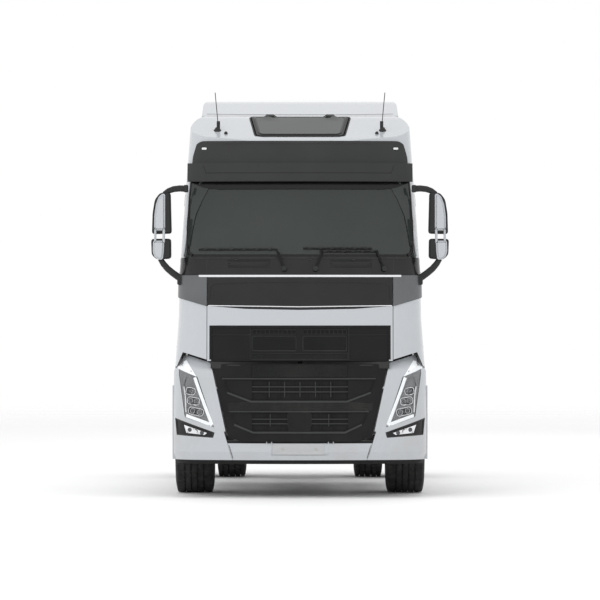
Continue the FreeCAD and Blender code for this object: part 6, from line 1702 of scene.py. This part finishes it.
def wheel_details(hand, y, z, face, rim_edge, hub_face, deep):
    """Nuts, hub bolts, rim lips, a valve and a balance weight for one wheel."""
    nuts, lips = Shape(), Shape()
    out = Vector((hand, 0, 0))
    washer = [(0.0, 0.024), (0.004, 0.024), (0.006, 0.021), (0.006, 0.0)]
    nut = [(0.006, 0.0), (0.006, 0.0165), (0.022, 0.0165), (0.026, 0.0135), (0.026, 0.0)]
    stud = [(0.026, 0.0), (0.026, 0.0105), (0.040, 0.0105), (0.042, 0.009), (0.042, 0.0)]
    for k in range(10):
        angle = math.tau * (k + 0.5) / 10
        spot = Vector((hand * face, y + 0.141 * math.cos(angle), z + 0.141 * math.sin(angle)))
        for profile, steps in ((washer, 20), (nut, 6), (stud, 14)):
            nuts.turned(profile, spot, out, steps)
    for k in range(8):
        angle = math.tau * k / 8
        spot = Vector((hand * hub_face, y + 0.088 * math.cos(angle), z + 0.088 * math.sin(angle)))
        nuts.bolt(spot, out, 0.009, 0.008)
    hub = Vector((hand * hub_face, y, z))
    end = deep + 0.006
    nuts.turned([(0.0, 0.070), (0.006, 0.070), (0.010, 0.064), (deep, 0.056), (end, 0.044), (end, 0.0)], hub,
                out, 40)
    edge = Vector((hand * rim_edge, y, z))
    lips.turned([(-0.012, 0.276), (0.0, 0.277), (0.004, 0.283), (0.004, 0.294), (0.0, 0.300), (-0.006, 0.301),
                 (-0.006, 0.288), (-0.012, 0.284)], edge, out, 96)
    start = Vector((hand * (rim_edge - 0.035), y + 0.262, z))
    lips.bar([start, start + out * 0.02 - ALONG * 0.004, start + out * 0.045 - ALONG * 0.012], 0.0042, 10)
    for turn in (0.9, 3.6):
        spot = Vector((0, math.cos(turn), math.sin(turn)))
        along = Vector((0, -spot.z, spot.y))
        middle = edge + spot * 0.272 - out * 0.018
        lips.bar([middle - along * 0.03, middle, middle + along * 0.03], 0.005, 8)
    return nuts, lips


class TRUCK_OT_wheel_fittings(bpy.types.Operator):
    """Adds wheel nuts, hub bolts and caps, rim lips, valves and balance weights"""

    bl_idname = "truck.wheel_fittings"
    bl_label = "Wheel fittings"

    def execute(self, context):
        wheels = (
            ("front", "f", FRONT_AXLE, WHEEL_HEIGHT, 1.178, 1.202, 1.212, 0.014),
            ("rear", "r", REAR_AXLE, REAR_WHEEL_HEIGHT, 0.930, 1.212, 1.185, 0.022),
        )
        for hand, side in ((1, "left"), (-1, "right")):
            for end, letter, y, z, face, rim_edge, hub_face, deep in wheels:
                nuts, lips = wheel_details(hand, y, z, face, rim_edge, hub_face, deep)
                body = "wheel_%s%s" % (letter, side[0])
                nuts.piece("%s_wheel_nuts_%s" % (end, side), "zinc", body)
                lips.piece("%s_rim_lip_%s" % (end, side), "wheel_metal", body)
        return {"FINISHED"}


# Seats, bunk and cabin


def swollen(made, voxel, cap, frames=20, pressure=4.0):
    """Fills a pad by cloth simulation, keeping each point within a distance of where it began."""
    scene = bpy.context.scene
    remesh = made.modifiers.new("even", "REMESH")
    remesh.mode = "VOXEL"
    remesh.voxel_size = voxel
    depsgraph = bpy.context.evaluated_depsgraph_get()
    even = bpy.data.meshes.new_from_object(made.evaluated_get(depsgraph))
    made.modifiers.remove(remesh)
    finish_held = made.data.materials[0]
    made.data = even
    if not even.materials:
        even.materials.append(finish_held)
    start = [v.co.copy() for v in even.vertices]
    cloth_maker = made.modifiers.new("filled", "CLOTH")
    cloth_maker.settings.use_pressure = True
    cloth_maker.settings.uniform_pressure_force = pressure
    cloth_maker.settings.quality = 5
    cloth_maker.settings.effector_weights.gravity = 0.0
    cloth_maker.point_cache.frame_start = 1
    cloth_maker.point_cache.frame_end = frames
    for moment in range(1, frames + 1):
        scene.frame_set(moment)
    depsgraph = bpy.context.evaluated_depsgraph_get()
    filled = bpy.data.meshes.new_from_object(made.evaluated_get(depsgraph))
    made.modifiers.remove(cloth_maker)
    for v, first in zip(filled.vertices, start):
        move = v.co - first
        if move.length > cap:
            v.co = first + move * (cap / move.length)
    made.data = filled
    for face in made.data.polygons:
        face.use_smooth = True
    scene.frame_set(1)


def grooved(made, lines, depth, width):
    """Presses sewn channels into a pad along lines of (origin, across) planes."""
    for v in made.data.vertices:
        press = 0.0
        for origin, across, facing in lines:
            away = abs((v.co - origin).dot(across))
            if away < width:
                press = max(press, depth * math.cos(away / width * math.pi / 2) ** 2)
                way = facing
        if press:
            v.co -= way * press


def pad_shape(points, x_low, x_high):
    """A padded body between two sides: its outline in y and z, drawn in towards its ends."""
    shape = Shape()
    outline = rounded(points, 0.035, 4)
    middle_y = sum(p[0] for p in outline) / len(outline)
    middle_z = sum(p[1] for p in outline) / len(outline)
    rows = []
    count = 14
    for i in range(count + 1):
        t = i / count
        drawn = 0.90 + 0.10 * min(math.sin(math.pi * t) * 3.0, 1.0)
        x = x_low + (x_high - x_low) * t
        ring = [(middle_y + (y - middle_y) * drawn, middle_z + (z - middle_z) * drawn) for y, z in outline]
        rows.append(shape.loop((x, y, z) for y, z in ring))
    shape.skin_rows(rows, around=True, caps=True)
    return shape


def copied(made, name, shift):
    """The same padded piece beside the first."""
    twin = made.copy()
    twin.data = made.data.copy()
    twin.name = name
    bpy.context.scene.collection.objects.link(twin)
    twin.data.transform(Matrix.Translation(Vector(shift)))
    return twin


SEAT_X = 0.64
SEAT_Y = -1.87


class TRUCK_OT_seats(bpy.types.Operator):
    """Upholsters the two seats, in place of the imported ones"""

    bl_idname = "truck.seats"
    bl_label = "Seats"

    def execute(self, context):
        y = SEAT_Y
        pads = (
            ("cushion", "seat_cloth", 0.235, 0.012,
             [(-0.255, 1.925), (-0.262, 2.005), (0.235, 1.995), (0.235, 1.92)]),
            ("back", "seat_cloth", 0.215, 0.012,
             [(0.195, 1.975), (0.308, 2.67), (0.385, 2.668), (0.292, 1.955)]),
            ("head_rest", "seat_side", 0.125, 0.010,
             [(0.318, 2.69), (0.338, 2.855), (0.392, 2.855), (0.385, 2.69)]),
        )
        for name, finish_name, half, cap, points in pads:
            made = pad_shape([(y + a, b) for a, b in points], SEAT_X - half, SEAT_X + half)
            pad = made.piece("seat_%s_left" % name, finish_name, "cab", 50.0)
            swollen(pad, 0.009, cap)
            facing = UP if name == "cushion" else -ALONG
            lines = [(Vector((SEAT_X + s * half * 0.55, 0, 0)), ACROSS, facing) for s in (-1, 1)]
            if name == "cushion":
                lines += [(Vector((0, y + d, 0)), ALONG, facing) for d in (-0.11, 0.05)]
            else:
                lines += [(Vector((0, 0, z)), UP, facing) for z in (2.14, 2.30, 2.46)]
            if name != "head_rest":
                grooved(pad, lines, 0.010, 0.012)
            pad.modifiers.new("smooth", "SUBSURF").levels = 1
            twin = copied(pad, "seat_%s_right" % name, (-2 * SEAT_X, 0, 0))
            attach(twin, "cab")
        base, belts = Shape(), Shape()
        for x in (SEAT_X, -SEAT_X):
            base.box((x - 0.19, y - 0.17, 1.482), (x + 0.19, y + 0.17, 1.56), 0.012, 3)
            for k in range(6):
                z = 1.57 + 0.05 * k
                base.box((x - 0.17, y - 0.15, z), (x + 0.17, y + 0.15, z + 0.04), 0.016, 3)
            base.box((x - 0.2, y - 0.2, 1.87), (x + 0.2, y + 0.19, 1.915), 0.012, 3)
            for side in (-0.15, 0.15):
                base.bar([(x + side * 0.3, y + 0.36, 2.64), (x + side * 0.3, y + 0.362, 2.72)], 0.006, 10)
            belts.box((x + 0.215, y + 0.17, 1.86), (x + 0.235, y + 0.21, 1.99), 0.006, 3)
        base.piece("seat_bases", "rubber", "cab", replaces=["seats"])
        belts.piece("belt_buckles", "cabin_plastic", "cab")
        seams = Shape()
        on_cushion = [(-0.24, 2.013), (0.0, 2.012), (0.2, 2.005)]
        on_back = [(0.205, 2.06), (0.25, 2.35), (0.292, 2.62)]
        for x in (SEAT_X - 0.128, SEAT_X + 0.128, -SEAT_X - 0.128, -SEAT_X + 0.128):
            for line in (on_cushion, on_back):
                seams.bar([(x, y + a, z) for a, z in line], 0.0016, 6)
        seams.piece("seat_stitching", "thread_finish", "cab")
        return {"FINISHED"}


class TRUCK_OT_bunk(bpy.types.Operator):
    """Lays the mattress on its locker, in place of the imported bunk"""

    bl_idname = "truck.bunk"
    bl_label = "Bunk"

    def execute(self, context):
        mattress = pad_shape([(-1.50, 1.842), (-1.50, 1.955), (-0.83, 1.955), (-0.83, 1.842)], -1.015, 1.015)
        made = mattress.piece("mattress", "mattress_cloth", "cab", 50.0)
        swollen(made, 0.018, 0.012, 12)
        grooved(made, [(Vector((x, 0, 0)), ACROSS, UP) for x in (-0.7, -0.35, 0.0, 0.35, 0.7)], 0.010, 0.03)
        made.modifiers.new("smooth", "SUBSURF").levels = 1
        locker = Shape().box((-1.01, -1.452, 1.482), (1.01, -0.812, 1.838), 0.012, 3)
        for x in (-0.66, 0.0, 0.66):
            locker.box((x - 0.30, -1.458, 1.52), (x + 0.30, -1.446, 1.80), 0.004, 2)
        locker.piece("bunk_locker", "cabin_grey", "cab", replaces=["bunk"])
        pulls = Shape()
        for x in (-0.66, 0.0, 0.66):
            pulls.box((x - 0.05, -1.466, 1.75), (x + 0.05, -1.457, 1.765), 0.003, 2)
        pulls.piece("locker_pulls", "cabin_plastic", "cab")
        return {"FINISHED"}


class TRUCK_OT_dashboard_fittings(bpy.types.Operator):
    """Adds the instrument hood, displays, vents and pedals"""

    bl_idname = "truck.dashboard_fittings"
    bl_label = "Dashboard fittings"

    def execute(self, context):
        x = SEAT_X
        hood = Shape()
        arch = [(x - 0.24, 2.17), (x - 0.235, 2.30), (x - 0.18, 2.335), (x + 0.18, 2.335), (x + 0.235, 2.30),
                (x + 0.24, 2.17)]
        hood.plate(rounded(arch, 0.03), "y", -2.58, -2.42, 0.012, 3)
        hood.box((-0.26, -2.56, 2.22), (0.20, -2.40, 2.305), 0.016, 3)
        hood.piece("instrument_hood", "cabin_plastic", "cab")
        screens = Shape()
        dials = rounded([(x - 0.19, 2.19), (x + 0.19, 2.19), (x + 0.18, 2.31), (x - 0.18, 2.31)], 0.02)
        screens.plate(dials, "y", -2.422, -2.417, 0.001)
        screens.plate(panel((-0.16, 2.228), (0.12, 2.296), 0.01), "y", -2.402, -2.397, 0.001)
        screens.piece("dashboard_displays", "display", "cab")
        vents = Shape()
        for vent_x in (-0.95, -0.52, -0.30, 0.30, 0.98):
            outline = panel((vent_x - 0.07, 2.185), (vent_x + 0.07, 2.245), 0.012)
            vents.plate(outline, "y", -2.44, -2.385, 0.004)
            for k in range(4):
                z = 2.194 + 0.013 * k
                vents.box((vent_x - 0.06, -2.388, z), (vent_x + 0.06, -2.378, z + 0.005))
        vents.piece("dashboard_vents", "dark_trim", "cab")
        pedals = Shape()
        for pedal_x in (x - 0.11, x + 0.10):
            pedals.box((pedal_x - 0.04, -2.55, 1.53), (pedal_x + 0.04, -2.52, 1.66), 0.008, 3)
        pedals.piece("pedals", "rubber", "cab")
        return {"FINISHED"}


class TRUCK_OT_steering_wheel(bpy.types.Operator):
    """Builds the leather steering wheel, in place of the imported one"""

    bl_idname = "truck.steering_wheel"
    bl_label = "Steering wheel"

    def execute(self, context):
        lean = math.radians(27)
        axis = Vector((0, math.sin(lean), math.cos(lean)))
        middle = Vector((SEAT_X, -2.2, 2.42))
        ahead = Vector((0, math.cos(lean), -math.sin(lean)))

        def out(turn):
            """The way out from the wheel's middle at an angle."""
            return ACROSS * math.cos(turn) + ahead * math.sin(turn)

        turns = [math.tau * i / 14 for i in range(14)]
        section = [(math.cos(a) * 0.0155, math.sin(a) * 0.0145) for a in turns]
        path = [middle + out(math.tau * i / 72) * 0.225 for i in range(72)]
        ring = Shape().sweep(section, path, [axis] * 72, closed=True)
        ring.piece("wheel_ring", "rim_leather", "hand_wheel", 60.0)
        inner = [middle + axis * 0.001 + out(math.tau * i / 96) * 0.2105 for i in range(96)]
        stitch = Shape().bar(inner, 0.0014, 6, closed=True)
        stitch.piece("wheel_stitching", "thread_finish", "hand_wheel")
        spokes = Shape()
        section = [(-0.022, -0.006), (0.022, -0.006), (0.020, 0.005), (0.010, 0.008), (-0.010, 0.008),
                   (-0.020, 0.005)]
        stations = ((0.05, 0.012), (0.14, 0.008), (0.214, 0.001))
        for degrees in (0, 180, 90):
            way = out(math.radians(degrees))
            spokes.sweep(section, [middle + way * reach - axis * drop for reach, drop in stations],
                         [axis] * 3)
        hub = [(-0.048, 0.045), (-0.040, 0.070), (-0.006, 0.078), (0.006, 0.070), (0.010, 0.050),
               (0.012, 0.0)]
        spokes.turned(hub, middle, axis, 40)
        spokes.piece("wheel_spokes", "cabin_plastic", "hand_wheel", 40.0, replaces=["steering_wheel"])
        return {"FINISHED"}


# Chassis fittings


class TRUCK_OT_frame_bolts(bpy.types.Operator):
    """Adds bolts along the frame rails and on the coupling's base"""

    bl_idname = "truck.frame_bolts"
    bl_label = "Frame bolts"

    def execute(self, context):
        size = options().bolt_radius
        rail = Skin("frame")
        bolts = Shape()
        count = 30
        for i in range(count):
            y = -2.4 + 5.2 * i / (count - 1)
            for z in (0.92, 0.75):
                point, normal = rail.side(y, z, 1)
                if abs(point.x - 0.425) < 0.012:
                    bolts.bolt(point, ACROSS, size)
        bolts.mirrored().piece("rail_bolts", "zinc", "chassis")
        heads = Shape()
        for y in (1.16, 1.32, 1.68, 1.84):
            for x in (0.40, 0.36):
                heads.bolt((x, y, 1.003), UP, size)
        heads.mirrored().piece("coupling_bolts", "zinc", "chassis")
        return {"FINISHED"}


class TRUCK_OT_tank_fittings(bpy.types.Operator):
    """Adds filler caps and end seams to the tanks, and latches to the service box"""

    bl_idname = "truck.tank_fittings"
    bl_label = "Tank fittings"

    def execute(self, context):
        low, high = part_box("fuel_tanks")
        caps, seams = Shape(), Shape()
        skin = Skin("fuel_tanks")
        cap = [(0.0, 0.052), (0.020, 0.052), (0.022, 0.058), (0.040, 0.056), (0.046, 0.046), (0.048, 0.0)]
        for x in (1.02, -1.02):
            point, normal = skin.top(x, low[1] + 0.30)
            if point.z > 0.9:
                caps.turned(cap, point, UP, 36)
        caps.piece("filler_caps", "dark_trim", "chassis", bevel=0.001)
        side = panel((0.512, 0.412), (1.193, 1.018), 0.118, 6)
        for y in (low[1] + 0.004, high[1] - 0.010):
            for flip in (1, -1):
                point, normal = skin.side(y + 0.003, 0.7, flip)
                if abs(point.x) > 1.0:
                    held = [(min(max(a, 0.52), 1.187), min(max(b, 0.418), 1.012)) for a, b in side]
                    seams.bar([(flip * a, y, b) for a, b in held], 0.005, 6, closed=True)
        seams.piece("tank_seams", "tank_metal", "chassis")
        low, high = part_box("service_box")
        hand = 1 if low[0] + high[0] > 0 else -1
        face = high[0] if hand > 0 else low[0]
        fittings = Shape()
        for share in (0.2, 0.8):
            y = low[1] + (high[1] - low[1]) * share
            inner, outer = sorted((face - hand * 0.006, face + hand * 0.010))
            fittings.box((inner, y - 0.02, 0.80), (outer, y + 0.02, 0.90), 0.004, 2)
        fittings.piece("service_box_latches", "rubber", "chassis")
        return {"FINISHED"}


class TRUCK_OT_coupling_details(bpy.types.Operator):
    """Adds the grease grooves, jaw and release handle of the coupling"""

    bl_idname = "truck.coupling_details"
    bl_label = "Coupling details"

    def execute(self, context):
        y, top = 1.5, 1.19
        grooves = Shape()
        for radius in (0.20, 0.29, 0.38):
            for start, end in ((160, 250), (-70, 20)):
                path = [(a, b, top) for a, b in arc((0, y), radius, start, end, 24)]
                section = [(-0.005, -0.001), (0.005, -0.001), (0.005, 0.0008), (-0.005, 0.0008)]
                grooves.sweep(section, path, [UP] * 25)
        grooves.piece("grease_grooves", "rubber", "coupling")
        jaw = Shape()
        ring = [(a, b, top - 0.030) for a, b in arc((0, y), 0.045, 130, 410, 28)]
        jaw.sweep([(-0.014, -0.014), (0.014, -0.014), (0.014, 0.014), (-0.014, 0.014)], ring, [UP] * 29)
        jaw.piece("coupling_jaws", "greased_steel", "coupling", bevel=0.002)
        handle = Shape()
        path = [(-0.30, y - 0.05, 1.128), (-0.40, y - 0.07, 1.122), (-0.49, y - 0.08, 1.12),
                (-0.53, y - 0.08, 1.12)]
        handle.bar(path, 0.008, 12)
        knob = [(-0.012, 0.0), (-0.010, 0.014), (0.010, 0.014), (0.012, 0.0)]
        handle.turned(knob, (-0.535, y - 0.08, 1.12), ACROSS, 20)
        handle.piece("release_handle", "zinc", "coupling")
        return {"FINISHED"}


class TRUCK_OT_rear_lamps(bpy.types.Operator):
    """Glazes the rear lamps in red, amber and clear, and adds reflectors and the bare plate holder"""

    bl_idname = "truck.rear_lamps"
    bl_label = "Rear lamps"

    def execute(self, context):
        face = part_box("rear_lamps")[1][1]
        dress("rear_lamps", "dark_trim")
        for name, finish_name, low, high in (
            ("stop", "red_lens", 0.83, 0.93),
            ("signal", "amber_lens", 0.936, 1.036),
            ("reverse", "white_lens", 1.042, 1.14),
        ):
            outline = panel((low, 0.655), (high, 0.757), 0.012)
            shape = Shape().plate(outline, "y", face - 0.012, face + 0.0035, 0.003)
            shape.mirrored().piece("rear_%s_lenses" % name, finish_name, "chassis")
        holder = Shape().plate(panel((-0.27, 0.525), (0.27, 0.635), 0.01), "y", 2.992, 2.9995, 0.001)
        holder.piece("rear_plate_holder", "dark_trim", "chassis")
        marks = Shape()
        disc = [(0.0, 0.038), (0.0, 0.0)]
        rim = [(-0.004, 0.040), (0.003, 0.040), (0.003, 0.036), (-0.004, 0.036)]
        for x in (0.55, 1.1):
            for profile in (disc, rim):
                marks.turned(profile, (x, 2.9965, 0.58), ALONG, 32)
        marks.mirrored().piece("rear_reflectors", "red_lens", "chassis")
        return {"FINISHED"}


class TRUCK_OT_axle_fittings(bpy.types.Operator):
    """Adds the nuts of the front springs' clamps"""

    bl_idname = "truck.axle_fittings"
    bl_label = "Axle fittings"

    def execute(self, context):
        clamps = Shape()
        spring_x, half, top = 0.415, 0.047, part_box("front_springs")[1][2]
        for y in (FRONT_AXLE - 0.06, FRONT_AXLE + 0.06):
            for x in (spring_x - half, spring_x + half):
                clamps.bolt((x, y, top), UP, 0.011, 0.012)
        clamps.mirrored().piece("spring_clamp_nuts", "zinc", "chassis")
        return {"FINISHED"}


class TRUCK_OT_step_treads(bpy.types.Operator):
    """Lays grip plates in the cab steps and on the deck behind the cab"""

    bl_idname = "truck.step_treads"
    bl_label = "Step treads"

    def execute(self, context):
        grips = Shape()
        for height in (0.400, 0.690):
            grips.box((1.0, -2.606, height + 0.002), (1.238, -2.378, height + 0.008), 0.002)
            for k in range(7):
                x = 1.012 + 0.034 * k
                grips.box((x, -2.600, height + 0.008), (x + 0.012, -2.384, height + 0.013), 0.002, 1)
        grips.mirrored().piece("step_grips", "tread_plate", "chassis")
        deck = Shape().box((-0.415, -0.57, 1.0112), (0.415, 0.49, 1.0140), 0.001, 1)
        deck.piece("deck_grip", "tread_plate", "chassis")
        return {"FINISHED"}


# Studio


def soft_light(name, place, target, size, power):
    """A large soft light that neither the camera nor a shiny surface sees."""
    data = bpy.data.lights.new(name, "AREA")
    data.shape = "DISK"
    data.size = size
    data.energy = power
    lamp = bpy.data.objects.new(name, data)
    lamp.location = place
    lamp.rotation_euler = (Vector(target) - Vector(place)).to_track_quat("-Z", "Y").to_euler()
    lamp.visible_camera = False
    lamp.visible_glossy = False
    bpy.context.scene.collection.objects.link(lamp)


class TRUCK_OT_studio(bpy.types.Operator):
    """Lays the floor, hangs the soft lights and stands the camera"""

    bl_idname = "truck.studio"
    bl_label = "Studio"

    def execute(self, context):
        sizes = context.scene.tractor_studio
        scene = context.scene
        rings = [(0.0, share * sizes.floor_radius) for share in (0.0, 0.2, 0.4, 0.6, 0.8, 1.0)]
        ground = Shape().turned(rings, (0, 0, 0), UP, 64)
        data = bpy.data.meshes.new("studio_floor")
        bmesh.ops.remove_doubles(ground.mesh, verts=ground.mesh.verts, dist=1e-5)
        ground.mesh.to_mesh(data)
        ground.mesh.free()
        floor = bpy.data.objects.new("studio_floor", data)
        data.materials.append(finish("floor_finish"))
        scene.collection.objects.link(floor)
        soft_light("key_light", (-7, -15, 10), (0, -2.5, 2), 8, sizes.key_power)
        soft_light("left_light", (-13, -8, 6), (0, -1, 2), 7, sizes.side_power)
        soft_light("right_light", (13, -9, 6), (0, -1, 2), 7, sizes.side_power)
        soft_light("top_light", (0, -3, 13), (0, -1, 2), 9, sizes.side_power * 1.4)
        soft_light("back_light", (4, 14, 9), (0, 0, 2), 8, sizes.side_power)
        world = bpy.data.worlds.new("studio_sky")
        world.use_nodes = True
        background = world.node_tree.nodes["Background"]
        background.inputs["Color"].default_value = (1.0, 1.0, 1.0, 1.0)
        background.inputs["Strength"].default_value = sizes.sky
        scene.world = world
        scene.view_settings.view_transform = "Standard"
        view = bpy.data.cameras.new("front_camera")
        view.lens = sizes.lens
        view.sensor_width = 36.0
        view.clip_end = 400.0
        camera = bpy.data.objects.new("front_camera", view)
        camera.location = (0, -sizes.camera_distance, sizes.camera_height)
        camera.rotation_euler = (math.radians(90), 0, 0)
        scene.collection.objects.link(camera)
        scene.camera = camera
        return {"FINISHED"}


OPERATORS = (
    TRUCK_OT_paintwork,
    TRUCK_OT_windscreen_border,
    TRUCK_OT_cowl_trim,
    TRUCK_OT_upper_grille,
    TRUCK_OT_lower_grille,
    TRUCK_OT_head_lamps,
    TRUCK_OT_bumper_trim,
    TRUCK_OT_visor_trim,
    TRUCK_OT_roof_fittings,
    TRUCK_OT_wiper_blades,
    TRUCK_OT_mirrors,
    TRUCK_OT_door_trim,
    TRUCK_OT_side_lamps,
    TRUCK_OT_tyres,
    TRUCK_OT_wheel_fittings,
    TRUCK_OT_seats,
    TRUCK_OT_bunk,
    TRUCK_OT_dashboard_fittings,
    TRUCK_OT_steering_wheel,
    TRUCK_OT_frame_bolts,
    TRUCK_OT_tank_fittings,
    TRUCK_OT_coupling_details,
    TRUCK_OT_rear_lamps,
    TRUCK_OT_axle_fittings,
    TRUCK_OT_step_treads,
    TRUCK_OT_studio,
)


class TRUCK_PT_dressing(bpy.types.Panel):
    """Lists the truck's dressing in the sidebar"""

    bl_idname = "TRUCK_PT_dressing"
    bl_label = "Tractor unit"
    bl_space_type = "VIEW_3D"
    bl_region_type = "UI"
    bl_category = "Tractor unit"

    def draw(self, context):
        scene = context.scene
        groups = (
            ("Cab", scene.tractor_unit),
            ("Tyres", scene.tractor_tyres),
            ("Studio", scene.tractor_studio),
        )
        for title, group in groups:
            box = self.layout.box()
            box.label(text=title)
            for name in group.__annotations__:
                box.prop(group, name)
        for operator in OPERATORS:
            self.layout.operator(operator.bl_idname)


CLASSES = (TractorUnitOptions, TyreOptions, StudioOptions, *OPERATORS, TRUCK_PT_dressing)


def register():
    """Registers the classes and their settings."""
    for made in CLASSES:
        bpy.utils.register_class(made)
    bpy.types.Scene.tractor_unit = PointerProperty(type=TractorUnitOptions)
    bpy.types.Scene.tractor_tyres = PointerProperty(type=TyreOptions)
    bpy.types.Scene.tractor_studio = PointerProperty(type=StudioOptions)


def unregister():
    """Takes the classes and their settings away."""
    del bpy.types.Scene.tractor_studio
    del bpy.types.Scene.tractor_tyres
    del bpy.types.Scene.tractor_unit
    for made in reversed(CLASSES):
        bpy.utils.unregister_class(made)


def main():
    """Registers the classes and dresses the truck."""
    register()
    for operator in OPERATORS:
        group, name = operator.bl_idname.split(".")
        getattr(getattr(bpy.ops, group), name)()


if __name__ == "__main__":
    main()
